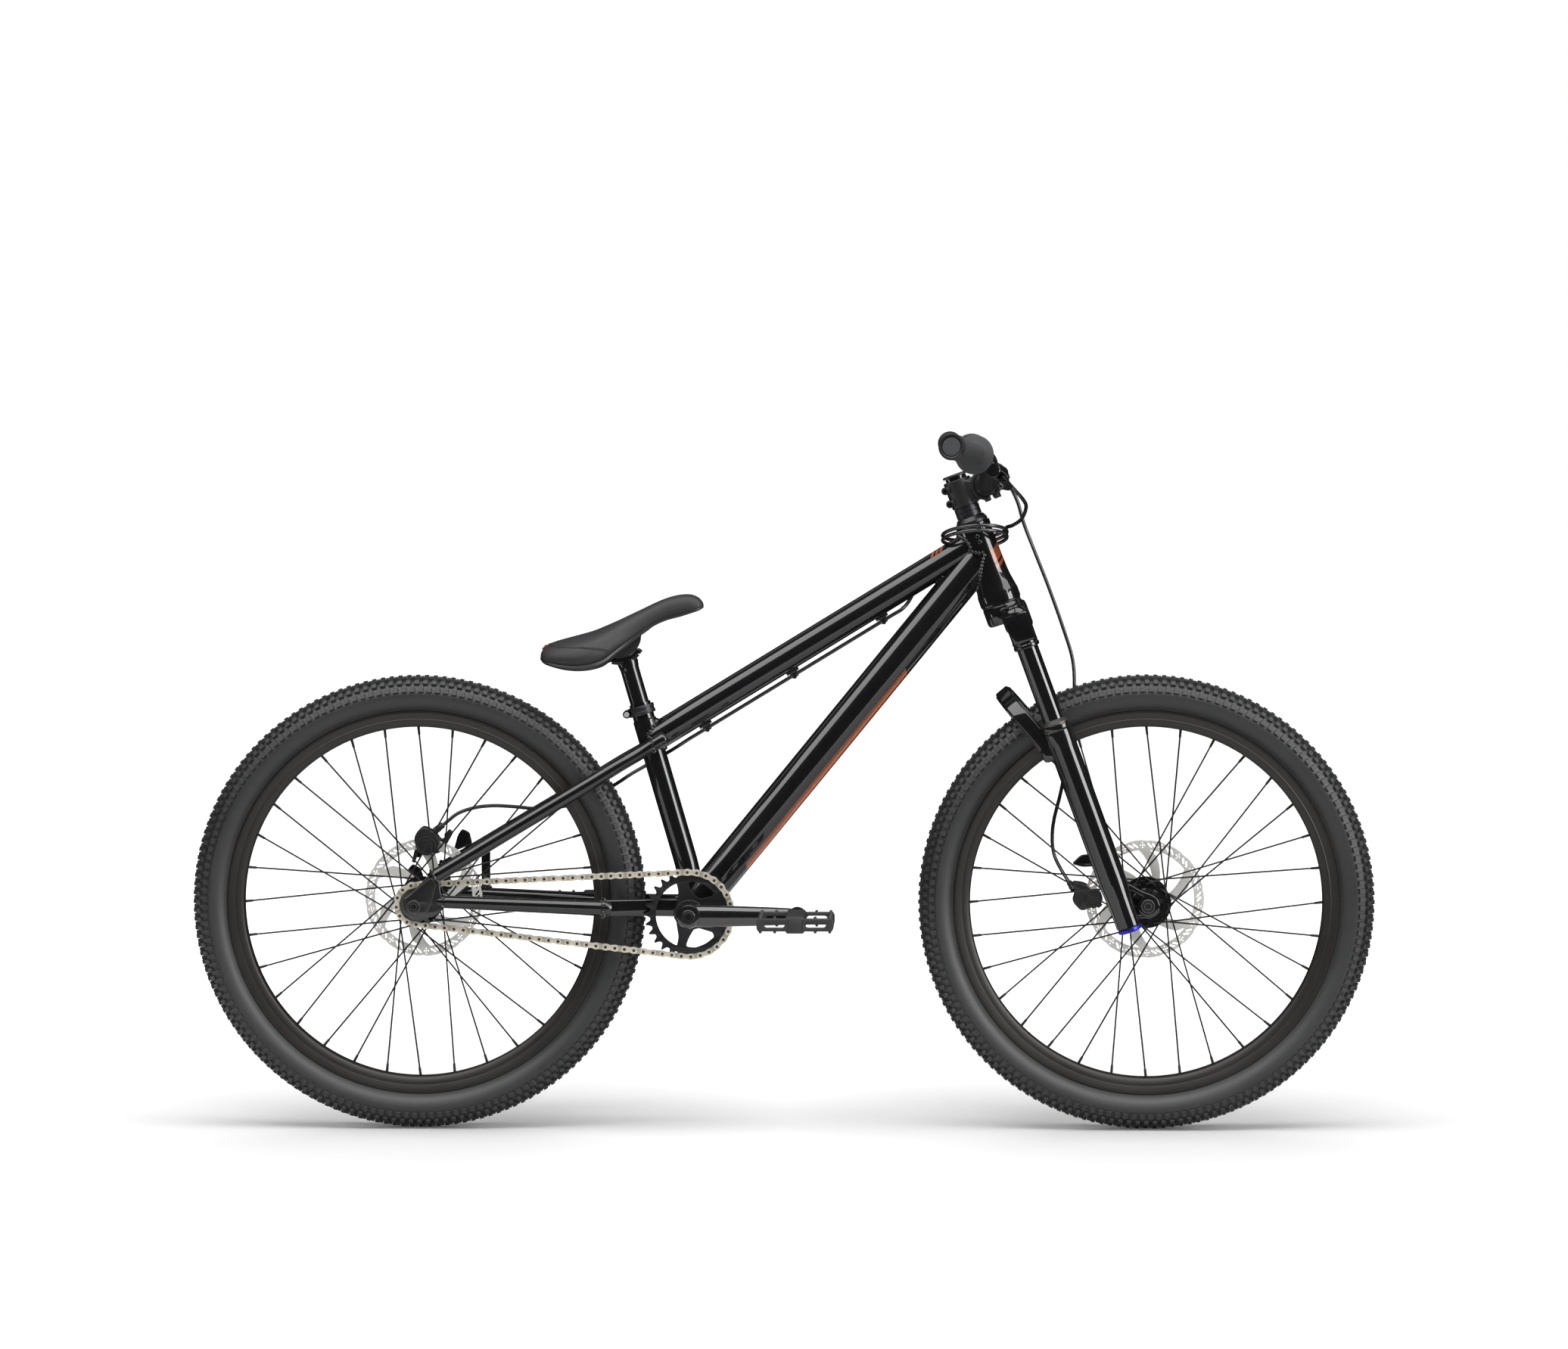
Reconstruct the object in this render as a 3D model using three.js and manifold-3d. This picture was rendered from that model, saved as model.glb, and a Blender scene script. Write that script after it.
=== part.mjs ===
// A 24 inch dirt jump bicycle with a welded tube frame, a telescopic fork and one chain speed.
// Millimetres. +X is forward, +Y is the rider's left, +Z is up, and the ground is at Z zero.
// The origin lies on the ground, midway between the two wheels.
import * as THREE from 'three';
import { mergeVertices } from 'three/addons/utils/BufferGeometryUtils.js';
import Module from 'manifold-3d';

const wasm = await Module();
wasm.setup();

// Driving dimensions of the whole bicycle
const wheelRadius = 306;
const wheelbase = 978;
const tyreToBracket = 60.4;
const bottomBracketDrop = 13;
const headLean = THREE.MathUtils.degToRad(20);
const seatLean = THREE.MathUtils.degToRad(16.1);
const forkRake = 45;
const legOffset = 12;
const seatTubeAhead = 12.8;
const crownRoom = 97;
const headTubeRise = 105;
const topTubeRearRise = 230.6;
const topTubeFrontDrop = 22;
const downTubeFrontRise = 65;
const seatTubeAbove = 49.4;
const rearSpacing = 135;
const frontSpacing = 100;
const chainline = 45;
const crankLength = 145;
const chainPitch = 12.7;
const ringTeeth = 28;
const cogTeeth = 13;
const clearance = 0.3;
const overrun = 5;
const weldTolerance = 1e-4;

// Lengths that follow from them: the bottom bracket's place, both ends of the head tube, where the
// two main tubes meet its axis, and the top tube's and seat tube's ends
const chainstayRun = wheelRadius + tyreToBracket;
const bracketHeight = wheelRadius - bottomBracketDrop;
const headTubeFootHeight = wheelRadius * 2 + crownRoom;
const headTubeHeadHeight = headTubeFootHeight + headTubeRise;
const topTubeRearHeight = bracketHeight + topTubeRearRise;
const seatTubeTopHeight = topTubeRearHeight + seatTubeAbove;
const topTubeFrontHeight = headTubeHeadHeight - topTubeFrontDrop;
const downTubeFrontHeight = headTubeFootHeight + downTubeFrontRise;

// Sides of round sections
const fineSides = 14;
const tubeSides = 12;
const smallSides = 8;
const pinSides = 6;
const wheelSegments = 32;

const forward = new THREE.Vector3(1, 0, 0);
const left = new THREE.Vector3(0, 1, 0);
const upward = new THREE.Vector3(0, 0, 1);
const steerUp = new THREE.Vector3(-Math.sin(headLean), 0, Math.cos(headLean));
const steerAhead = new THREE.Vector3(Math.cos(headLean), 0, Math.sin(headLean));
const seatUp = new THREE.Vector3(-Math.sin(seatLean), 0, Math.cos(seatLean));
const seatAhead = new THREE.Vector3(Math.cos(seatLean), 0, Math.sin(seatLean));
const sides = [{ name: 'left', sign: 1 }, { name: 'right', sign: -1 }];

const rearAxleAt = new THREE.Vector3(-wheelbase / 2, 0, wheelRadius);
const frontAxleAt = new THREE.Vector3(wheelbase / 2, 0, wheelRadius);
const bracketAt = new THREE.Vector3(rearAxleAt.x + chainstayRun, 0, bracketHeight);

// Points on the steering axis and on the seat tube axis at a given height
function steerAt(height) {
  const x = frontAxleAt.x - forkRake / Math.cos(headLean) - (height - wheelRadius) * Math.tan(headLean);
  return new THREE.Vector3(x, 0, height);
}

function seatAt(height) {
  const x = bracketAt.x + seatTubeAhead - (height - bracketAt.z) * Math.tan(seatLean);
  return new THREE.Vector3(x, 0, height);
}

// Points from shares of a length and of a height
function fromShares(shares, length, height) {
  return shares.map(([along, up]) => [along * length, up * height]);
}

// Outline beside a wheel, from points about its axle
function besideAxle(axle, points) {
  return points.map(([x, z]) => [axle.x + x, axle.z + z]);
}

// Point at shares of two directions from a start
function offset(start, ...moves) {
  const point = start.clone();
  for (const [direction, length] of moves) {
    point.addScaledVector(direction, length);
  }
  return point;
}

// Closed meshes, solids and their placing
function cleanTriangles(geometry) {
  const bare = geometry.index ? geometry.toNonIndexed() : geometry.clone();
  bare.deleteAttribute('normal');
  bare.deleteAttribute('uv');
  const merged = mergeVertices(bare, weldTolerance);
  const place = merged.attributes.position;
  const index = merged.index.array;
  const kept = [];
  const a = new THREE.Vector3();
  const b = new THREE.Vector3();
  const c = new THREE.Vector3();
  let sixVolumes = 0;
  for (let i = 0; i < index.length; i += 3) {
    if (index[i] === index[i + 1] || index[i + 1] === index[i + 2] || index[i] === index[i + 2]) {
      continue;
    }
    kept.push(index[i], index[i + 1], index[i + 2]);
    a.fromBufferAttribute(place, index[i]);
    b.fromBufferAttribute(place, index[i + 1]);
    c.fromBufferAttribute(place, index[i + 2]);
    sixVolumes += a.dot(b.cross(c));
  }
  if (sixVolumes < 0) {
    kept.reverse();
  }
  return { positions: new Float32Array(place.array), triangles: new Uint32Array(kept) };
}

function solid(geometry) {
  const { positions, triangles } = cleanTriangles(geometry);
  const mesh = new wasm.Mesh({ numProp: 3, vertProperties: positions, triVerts: triangles });
  return new wasm.Manifold(mesh);
}

function joined(...solids) {
  return solids.reduce((sum, next) => sum.add(next));
}

function cut(body, ...tools) {
  return tools.reduce((rest, tool) => rest.subtract(tool), body);
}

function geometryOf(body) {
  const mesh = body.getMesh();
  const geometry = new THREE.BufferGeometry();
  const count = mesh.vertProperties.length / mesh.numProp;
  const positions = new Float32Array(count * 3);
  for (let i = 0; i < count; i += 1) {
    for (let k = 0; k < 3; k += 1) {
      positions[i * 3 + k] = mesh.vertProperties[i * mesh.numProp + k];
    }
  }
  geometry.setAttribute('position', new THREE.BufferAttribute(positions, 3));
  geometry.setIndex(new THREE.BufferAttribute(new Uint32Array(mesh.triVerts), 1));
  return geometry;
}

// The largest body of a cut piece
function largest(body) {
  return body.decompose().sort((a, b) => b.volume() - a.volume())[0];
}

// Matrix that stands a shape's Y axis along a direction from a point
function stand(origin, direction) {
  const turn = new THREE.Quaternion().setFromUnitVectors(left, direction.clone().normalize());
  return new THREE.Matrix4().compose(origin, turn, new THREE.Vector3(1, 1, 1));
}

// Matrix from a flat drawing's axes to the bicycle's
function drawn(origin, across, along) {
  const out = new THREE.Vector3().crossVectors(across, along);
  return new THREE.Matrix4().makeBasis(across, along, out).setPosition(origin);
}

// Straight round bar, plain or tapered
function bar(from, to, radius, sideCount = tubeSides, endRadius = radius) {
  const run = to.clone().sub(from);
  const geometry = new THREE.CylinderGeometry(endRadius, radius, run.length(), sideCount);
  const middle = from.clone().add(to).multiplyScalar(1 / 2);
  return solid(geometry.applyMatrix4(stand(middle, run)));
}

// Round bar along the bicycle's width
function crossbar(centre, yFrom, yTo, radius, sideCount = tubeSides) {
  const from = new THREE.Vector3(centre.x, yFrom, centre.z);
  const to = new THREE.Vector3(centre.x, yTo, centre.z);
  return bar(from, to, radius, sideCount);
}

// Corner radius of a bore whose flats clear a shaft of a given radius
function boreRound(radius, sideCount = tubeSides) {
  return (radius + clearance) / Math.cos(Math.PI / sideCount);
}

// Turned piece: a profile of [radius, height] pairs round an axis
function turned(profile, origin, axis, segments = fineSides) {
  const points = profile.map(([radius, height]) => new THREE.Vector2(radius, height));
  const geometry = new THREE.LatheGeometry(points, segments);
  return solid(geometry.applyMatrix4(stand(origin, axis)));
}

// Turned ring: its profile closes on itself
function turnedRing(profile, origin, axis, segments = fineSides) {
  return turned([...profile, profile[0]], origin, axis, segments);
}

function roundOutline(radius, sideCount) {
  const points = [];
  for (let i = 0; i < sideCount; i += 1) {
    const angle = (i / sideCount) * Math.PI * 2;
    points.push([radius * Math.cos(angle), radius * Math.sin(angle)]);
  }
  return points;
}

function ringHole(radius, sideCount) {
  return new THREE.Path(roundOutline(radius, sideCount).map(([x, y]) => new THREE.Vector2(x, y)));
}

function shapeOf(points) {
  return new THREE.Shape(points.map(([x, y]) => new THREE.Vector2(x, y)));
}

// Flat plate cut to an outline in side view, between two places across the width
function sidePlate(outline, yFrom, yTo, grow = 0, holes = []) {
  const shape = outline instanceof THREE.Shape ? outline : shapeOf(outline);
  shape.holes = holes;
  const near = Math.min(yFrom, yTo);
  const depth = Math.abs(yTo - yFrom);
  const bevel = { bevelEnabled: grow > 0, bevelThickness: grow, bevelSize: grow, bevelSegments: 1 };
  const geometry = new THREE.ExtrudeGeometry(shape, { depth, curveSegments: smallSides, ...bevel });
  const origin = new THREE.Vector3(0, near + depth, 0);
  return solid(geometry.applyMatrix4(drawn(origin, forward, upward)));
}

// Block with its middle at a point and its edges along three directions
function block(middle, lengths, directions = [forward, left, upward]) {
  const geometry = new THREE.BoxGeometry(...lengths);
  const matrix = new THREE.Matrix4().makeBasis(...directions).setPosition(middle);
  return solid(geometry.applyMatrix4(matrix));
}

// Closed skin over a row of rings with the same number of points
function loft(rings) {
  const count = rings[0].length;
  const positions = rings.flat().flatMap((point) => [point.x, point.y, point.z]);
  const triangles = [];
  for (let r = 0; r < rings.length - 1; r += 1) {
    for (let i = 0; i < count; i += 1) {
      const a = r * count + i;
      const b = r * count + ((i + 1) % count);
      triangles.push(a, b, b + count, a, b + count, a + count);
    }
  }
  for (const [ring, flip] of [[0, true], [rings.length - 1, false]]) {
    for (let i = 1; i < count - 1; i += 1) {
      const fan = [ring * count, ring * count + i, ring * count + i + 1];
      triangles.push(...(flip ? fan.reverse() : fan));
    }
  }
  const geometry = new THREE.BufferGeometry();
  geometry.setAttribute('position', new THREE.Float32BufferAttribute(positions, 3));
  geometry.setIndex(triangles);
  return solid(geometry);
}

// Rings of a round tube at a row of points, turned with the least twist
function tubeRings(points, radii, sideCount) {
  const rings = [];
  const normal = new THREE.Vector3();
  points.forEach((point, i) => {
    const before = points[Math.max(i - 1, 0)];
    const after = points[Math.min(i + 1, points.length - 1)];
    const tangent = after.clone().sub(before).normalize();
    if (i === 0) {
      normal.crossVectors(tangent, Math.abs(tangent.y) > Math.abs(tangent.z) ? upward : left);
    }
    normal.addScaledVector(tangent, -normal.dot(tangent)).normalize();
    const across = new THREE.Vector3().crossVectors(tangent, normal);
    const ring = [];
    for (let k = 0; k < sideCount; k += 1) {
      const angle = (k / sideCount) * Math.PI * 2;
      const [wide, high] = [radii[i] * Math.cos(angle), radii[i] * Math.sin(angle)];
      ring.push(offset(point, [normal, wide], [across, high]));
    }
    rings.push(ring);
  });
  return rings;
}

function tubeThrough(points, radius, sideCount) {
  const radii = Array.isArray(radius) ? radius : points.map(() => radius);
  return loft(tubeRings(points, radii, sideCount));
}

// Closed skin over four rings that bound an endless band
function closedLoft(rings) {
  const count = rings[0].length;
  const positions = rings.flat().flatMap((point) => [point.x, point.y, point.z]);
  const triangles = [];
  for (let r = 0; r < rings.length; r += 1) {
    const next = (r + 1) % rings.length;
    for (let i = 0; i < count; i += 1) {
      const k = (i + 1) % count;
      triangles.push(r * count + i, r * count + k, next * count + k);
      triangles.push(r * count + i, next * count + k, next * count + i);
    }
  }
  const geometry = new THREE.BufferGeometry();
  geometry.setAttribute('position', new THREE.Float32BufferAttribute(positions, 3));
  geometry.setIndex(triangles);
  return solid(geometry);
}

// Finishes
const finishes = {
  paint: { color: 0x0b0b0d, roughness: 0.18, metalness: 0.1 },
  anodised: { color: 0x17181b, roughness: 0.45, metalness: 0.8 },
  stanchion: { color: 0x101114, roughness: 0.15, metalness: 0.7 },
  nylon: { color: 0x1b1c1f, roughness: 0.6, metalness: 0 },
  rubber: { color: 0x26272a, roughness: 0.85, metalness: 0 },
  tyre: { color: 0x232427, roughness: 0.9, metalness: 0 },
  rim: { color: 0x1d1a19, roughness: 0.5, metalness: 0.6 },
  spoke: { color: 0x121212, roughness: 0.4, metalness: 0.8 },
  steel: { color: 0xb9b6ac, roughness: 0.3, metalness: 1 },
  chain: { color: 0xcfc6ad, roughness: 0.3, metalness: 1 },
  blackSteel: { color: 0x151517, roughness: 0.35, metalness: 0.8 },
  violet: { color: 0x2f2a8c, roughness: 0.35, metalness: 0.8 },
  cover: { color: 0x222327, roughness: 0.75, metalness: 0 },
};

const bicycle = new THREE.Group();

function add(name, body, finish) {
  const mesh = new THREE.Mesh(geometryOf(body), new THREE.MeshStandardMaterial(finishes[finish]));
  mesh.name = name;
  bicycle.add(mesh);
}

// Head tube: tapered, with a seat for a bearing at each end
const headTube = {
  length: (headTubeHeadHeight - headTubeFootHeight) / Math.cos(headLean),
  footRadius: 28,
  footHeight: 14,
  waistHeight: 40,
  waistRadius: 23.7,
  topRadius: 22.7,
  collarRadius: 23.4,
  collarHeight: 6,
  boreRadius: 17.5,
  footSeatRadius: 25,
  footSeatDepth: 9,
  topSeatRadius: 19.8,
  topSeatDepth: 8,
};
const headFoot = steerAt(headTubeFootHeight);

function headTubeBody(grow) {
  const { length, footRadius, footHeight, waistHeight, waistRadius } = headTube;
  const { topRadius, collarRadius, collarHeight } = headTube;
  const profile = [
    [0, -grow],
    [footRadius + grow, -grow],
    [footRadius + grow, footHeight],
    [waistRadius + grow, waistHeight],
    [topRadius + grow, length - collarHeight],
    [collarRadius + grow, length - collarHeight],
    [collarRadius + grow, length + grow],
    [0, length + grow],
  ];
  return turned(profile, headFoot, steerUp);
}

function makeHeadTube() {
  const { length, boreRadius, footSeatRadius, footSeatDepth, topSeatRadius, topSeatDepth } = headTube;
  const bore = [
    [0, -overrun],
    [footSeatRadius, -overrun],
    [footSeatRadius, footSeatDepth],
    [boreRadius, footSeatDepth],
    [boreRadius, length - topSeatDepth],
    [topSeatRadius, length - topSeatDepth],
    [topSeatRadius, length + overrun],
    [0, length + overrun],
  ];
  add('head_tube', cut(headTubeBody(0), turned(bore, headFoot, steerUp)), 'paint');
}

// Headset: a bearing cup pressed into each end of the head tube, and the top cover
const headset = {
  boreRadius: 14.9,
  cupLip: 2.6,
  lowerLipRadius: 27,
  coverRadius: 21.6,
  coverHeight: 10,
  coverShoulder: 5,
  coverTopRadius: 18,
};
const steererRadius = 14.3;
const lowerBoreRadius = 20;

function makeHeadset() {
  const { boreRadius, cupLip, lowerLipRadius, coverRadius, coverHeight, coverShoulder } = headset;
  const { length, footSeatRadius, footSeatDepth, topSeatRadius, topSeatDepth } = headTube;
  const lower = [
    [lowerBoreRadius, -cupLip],
    [lowerLipRadius, -cupLip],
    [lowerLipRadius, -clearance],
    [footSeatRadius - clearance, -clearance],
    [footSeatRadius - clearance, footSeatDepth - clearance],
    [lowerBoreRadius, footSeatDepth - clearance],
  ];
  add('headset_lower', turnedRing(lower, headFoot, steerUp), 'blackSteel');
  const upper = [
    [boreRadius, length - topSeatDepth + clearance],
    [topSeatRadius - clearance, length - topSeatDepth + clearance],
    [topSeatRadius - clearance, length + clearance],
    [coverRadius, length + clearance],
    [coverRadius, length + coverShoulder],
    [headset.coverTopRadius, length + coverHeight],
    [boreRadius, length + coverHeight],
  ];
  add('headset_upper', turnedRing(upper, headFoot, steerUp), 'anodised');
}

// Bottom bracket: shell, and an outboard cup at each side
const bracket = {
  shellHalfWidth: 34,
  shellRadius: 20.5,
  boreRadius: 17.3,
  cupFlangeRadius: 21,
  cupFlangeWidth: 7.5,
  cupDepth: 14,
  spindleRadius: 9.5,
};
const cupOuter = bracket.shellHalfWidth + clearance + bracket.cupFlangeWidth;

function shellBody(grow) {
  const half = bracket.shellHalfWidth + grow;
  return crossbar(bracketAt, -half, half, bracket.shellRadius + grow, fineSides);
}

function makeBracket() {
  const { shellHalfWidth, boreRadius, cupFlangeRadius, cupDepth, spindleRadius } = bracket;
  const past = shellHalfWidth + overrun;
  const bore = crossbar(bracketAt, -past, past, boreRadius, fineSides);
  add('bottom_bracket_shell', cut(shellBody(0), bore), 'paint');
  const spindleBore = boreRound(spindleRadius);
  const threadRadius = boreRadius * Math.cos(Math.PI / fineSides) - clearance;
  for (const { name, sign } of sides) {
    const cup = [
      [spindleBore, shellHalfWidth - cupDepth],
      [threadRadius, shellHalfWidth - cupDepth],
      [threadRadius, shellHalfWidth + clearance],
      [cupFlangeRadius, shellHalfWidth + clearance],
      [cupFlangeRadius, cupOuter],
      [spindleBore, cupOuter],
    ];
    const axis = left.clone().multiplyScalar(sign);
    add(`bb_cup_${name}`, turnedRing(cup, bracketAt, axis, tubeSides), 'anodised');
  }
}

// Main frame tubes, mitred to each other with a thin weld gap
const downTubeRadius = 24.4;
const downTubeWall = 2;
const topTubeRadius = 18.7;
const topTubeWall = 1.8;
const downTubeHeadSetback = 12;
const downTubeFootSetback = 8;
const topTubeSeatSetback = 8;
const headPointDown = steerAt(downTubeFrontHeight);
const headPointTop = steerAt(topTubeFrontHeight);
const seatPointTop = seatAt(topTubeRearHeight);
const downAlong = headPointDown.clone().sub(bracketAt).normalize();
const topAlong = headPointTop.clone().sub(seatPointTop).normalize();
const topBelow = new THREE.Vector3(topAlong.z, 0, -topAlong.x);

function downTubeBody(grow) {
  const from = offset(bracketAt, [downAlong, downTubeFootSetback - grow]);
  const to = offset(headPointDown, [downAlong, grow - downTubeHeadSetback]);
  return bar(from, to, downTubeRadius + grow, fineSides);
}

function topTubeBody(grow) {
  const from = offset(seatPointTop, [topAlong, topTubeSeatSetback - grow]);
  return bar(from, headPointTop, topTubeRadius + grow, fineSides);
}

// Seat tube: a sleeve for the post on top, and a bend into the bottom bracket
const seatTube = {
  radius: 15.9,
  sleeveRadius: 14.6,
  sleeveLength: 21,
  boreRadius: 13.3,
  bendStart: 75,
  bendEnd: 12,
  bendSteps: 4,
};
const postRadius = 12.7;

function seatTubeBody(grow) {
  const bendTop = seatAt(bracketAt.z + seatTube.bendStart);
  const bendFoot = offset(bracketAt, [upward, seatTube.bendEnd]);
  const corner = seatAt(bracketAt.z + seatTube.bendStart / 2);
  const bend = new THREE.QuadraticBezierCurve3(bendFoot, corner, bendTop).getPoints(seatTube.bendSteps);
  const sleeveFoot = offset(seatAt(seatTubeTopHeight - seatTube.sleeveLength), [seatUp, grow]);
  const sleeveTop = offset(seatAt(seatTubeTopHeight), [seatUp, grow]);
  const shoulder = offset(sleeveFoot, [seatUp, seatTube.radius - seatTube.sleeveRadius]);
  const points = [...bend, sleeveFoot, shoulder, sleeveTop];
  const isSleeve = (i) => i >= points.length - 2;
  const radii = points.map((_, i) => (isSleeve(i) ? seatTube.sleeveRadius : seatTube.radius) + grow);
  return tubeThrough(points, radii, tubeSides);
}

const guide = {
  shares: [0.682, 0.41, 0.144],
  length: 14,
  width: 9,
  below: 1.5,
};
const hoseRadius = 2.5;
const hoseBelowTopTube = 25.5;

function topTubeGuides() {
  const run = headPointTop.clone().sub(seatPointTop).length();
  return guide.shares.map((share) => {
    const depth = hoseBelowTopTube + hoseRadius + guide.below - topTubeRadius + topTubeWall;
    const middle = topTubeRadius - topTubeWall / 2 + depth / 2;
    const place = offset(seatPointTop, [topAlong, run * share], [topBelow, middle]);
    return block(place, [guide.length, guide.width, depth], [topAlong, left, topBelow.clone().negate()]);
  });
}

function makeMainTubes() {
  const head = headTubeBody(clearance);
  const shell = shellBody(clearance);
  const downBore = bar(bracketAt, headPointDown, downTubeRadius - downTubeWall);
  add('down_tube', cut(downTubeBody(0), head, shell, downBore), 'paint');

  const from = offset(seatPointTop, [topBelow, hoseBelowTopTube]);
  const to = offset(headPointTop, [topBelow, hoseBelowTopTube]);
  const hoseWay = bar(from, to, hoseRadius + clearance, smallSides);
  const topBore = bar(seatPointTop, headPointTop, topTubeRadius - topTubeWall);
  const hollow = cut(topTubeBody(0), topBore);
  const tube = cut(joined(hollow, ...topTubeGuides()), hoseWay, head, downTubeBody(clearance));
  add('top_tube', cut(tube, seatTubeBody(clearance)), 'paint');

  const bore = bar(
    seatAt(bracketAt.z + seatTube.bendStart),
    offset(seatAt(seatTubeTopHeight), [seatUp, overrun]),
    seatTube.boreRadius,
  );
  const seat = cut(seatTubeBody(0), bore, downTubeBody(clearance), shell);
  add('seat_tube', largest(seat), 'paint');
}

// Dropout plates, in side view from the rear axle
const dropout = {
  thickness: 6,
  inner: rearSpacing / 2 + clearance,
  reach: 37,
  rise: 43,
  outlineShares: [
    [-0.4054, 0.2558], [-0.4189, -0.093], [-0.2432, -0.3023], [0.1351, -0.3953], [0.7027, -0.3256],
    [0.973, -0.1395], [1, 0.2326], [0.9189, 0.5581], [0.8919, 0.8837], [0.7027, 1], [0.4865, 0.9302],
    [-0.1622, 0.3488],
  ],
};
const rearAxle = { radius: 5, headRadius: 9.5, headWidth: 4 };

function dropoutBody(sign, grow) {
  const { outlineShares, reach, rise } = dropout;
  const outline = besideAxle(rearAxleAt, fromShares(outlineShares, reach, rise));
  const outer = dropout.inner + dropout.thickness;
  return sidePlate(outline, sign * dropout.inner, sign * outer, grow);
}

// Chainstays: a tapered tube from each dropout to a flat yoke at the bottom bracket
const chainstay = {
  rearX: 35,
  rearHeight: 6,
  rearY: 67,
  rearRadius: 8.5,
  frontBehind: 113.4,
  frontHeight: 8.5,
  frontY: 46,
  frontRadius: 11,
  yokeHeight: 23,
  yokeLap: 7,
  yokeLength: 116,
  yokeHalfWidth: 54,
  yokeShares: [
    [0, 1], [0, 0.6852], [0.4914, 0.5833], [0.7241, 0.3704], [0.8621, 0.1667], [1, 0.1667], [1, 0.6204],
    [0.7241, 0.6204], [0.4655, 0.7407],
  ],
};
const brace = { x: 84, width: 13, thickness: 6, y: 62 };
const calliperLug = { thickness: 7, inner: 57 };

function chainstayBody(sign) {
  const { rearX, rearHeight, rearY, frontBehind, frontHeight, frontY } = chainstay;
  const from = offset(rearAxleAt, [forward, rearX], [left, sign * rearY], [upward, rearHeight]);
  const to = offset(bracketAt, [forward, -frontBehind], [left, sign * frontY], [upward, frontHeight]);
  const tube = bar(from, to, chainstay.rearRadius, tubeSides, chainstay.frontRadius);
  const { yokeShares, yokeLap, yokeLength, yokeHalfWidth } = chainstay;
  const rearEnd = to.x - yokeLap;
  const side = fromShares(yokeShares, yokeLength, sign * yokeHalfWidth);
  const outline = side.map(([x, y]) => [rearEnd + x, y]);
  const options = { depth: chainstay.yokeHeight, bevelEnabled: false };
  const plate = new THREE.ExtrudeGeometry(shapeOf(outline), options);
  plate.translate(0, 0, to.z - chainstay.yokeHeight / 2);
  return joined(tube, solid(plate), dropoutBody(sign, 0));
}

// Seat stays: from beside the seat tube, out round the tyre and down to the dropouts
const seatstay = {
  radius: 9.5,
  steps: 8,
  headRise: 3.4,
  headAhead: 19.34,
  spread: 66.5,
  routeShares: [
    [1, 0.2632, 1], [0.9215, 0.3158, 0.9299], [0.8278, 0.4962, 0.8484], [0.7221, 0.6165, 0.7511],
    [0.4502, 0.797, 0.5086], [0.1813, 0.9549, 0.267], [0.0846, 1, 0.181],
  ],
};

// Corners of a seat stay's axis, from its head to its foot
function seatstayCorners(sign) {
  const { spread, routeShares } = seatstay;
  const head = offset(seatAt(topTubeRearHeight + seatstay.headRise), [forward, seatstay.headAhead]);
  const reach = head.x - rearAxleAt.x;
  const rise = head.z - rearAxleAt.z;
  return routeShares.map(([along, aside, up]) =>
    offset(rearAxleAt, [forward, along * reach], [left, sign * aside * spread], [upward, up * rise]));
}

function seatstayBody(sign, grow) {
  const curve = new THREE.CatmullRomCurve3(seatstayCorners(sign), false, 'centripetal');
  return tubeThrough(curve.getPoints(seatstay.steps), seatstay.radius + grow, smallSides);
}

// Brackets on the left stays that carry the rear calliper, in side view from the axle
const upperLugSize = { reach: 66, rise: 93 };
const lowerLugSize = { reach: 24, rise: 44 };
const upperLugShares = [
  [0.6061, 0.6667], [1, 0.7742], [0.9394, 0.9462], [0.7879, 1], [0.697, 0.9032],
];
const lowerLugShares = [
  [-0.5833, 0.2273], [-0.0833, 0.5909], [-0.25, 0.8636], [-0.7083, 1], [-1, 0.8182], [-0.7917, 0.5455],
];
const upperLug = fromShares(upperLugShares, upperLugSize.reach, upperLugSize.rise);
const lowerLug = fromShares(lowerLugShares, lowerLugSize.reach, lowerLugSize.rise);

function makeStays() {
  const shell = shellBody(clearance);
  const seat = seatTubeBody(clearance);
  const top = topTubeBody(clearance);
  const down = downTubeBody(clearance);
  for (const { name, sign } of sides) {
    const axleHole = crossbar(
      rearAxleAt,
      sign * (dropout.inner - overrun),
      sign * (dropout.inner + dropout.thickness + overrun),
      rearAxle.radius + clearance,
      smallSides,
    );
    let lower = chainstayBody(sign);
    let upper = seatstayBody(sign, 0);
    const inner = calliperLug.inner;
    if (sign > 0) {
      const stayEnd = offset(rearAxleAt, [upward, chainstay.rearHeight]);
      const height = seatstayCorners(sign)[0].z - stayEnd.z;
      const middle = offset(stayEnd, [forward, brace.x], [left, brace.y], [upward, height / 2]);
      const post = block(middle, [brace.width, brace.thickness, height]);
      lower = joined(lower, cut(post, offsetPlateAbove(sign)));
      const lug = besideAxle(rearAxleAt, upperLug);
      upper = joined(upper, sidePlate(lug, inner, inner + calliperLug.thickness));
      const foot = besideAxle(rearAxleAt, lowerLug);
      lower = joined(lower, sidePlate(foot, dropout.inner, dropout.inner + dropout.thickness));
    }
    const lowerStay = cut(lower, axleHole, shell, seat, down, seatstayBody(sign, clearance));
    add(`chainstay_${name}`, largest(lowerStay), 'paint');
    add(`seatstay_${name}`, largest(cut(upper, dropoutBody(sign, clearance), seat, top)), 'paint');
  }
}

// Everything above the seat stay's axis, to end the brace below it
function offsetPlateAbove(sign) {
  const points = seatstayCorners(sign).map(({ x, z }) => [x, z]);
  const outline = [...points, [points[points.length - 1][0], points[0][1]]];
  return sidePlate(outline, 0, sign * rearSpacing);
}

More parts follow.
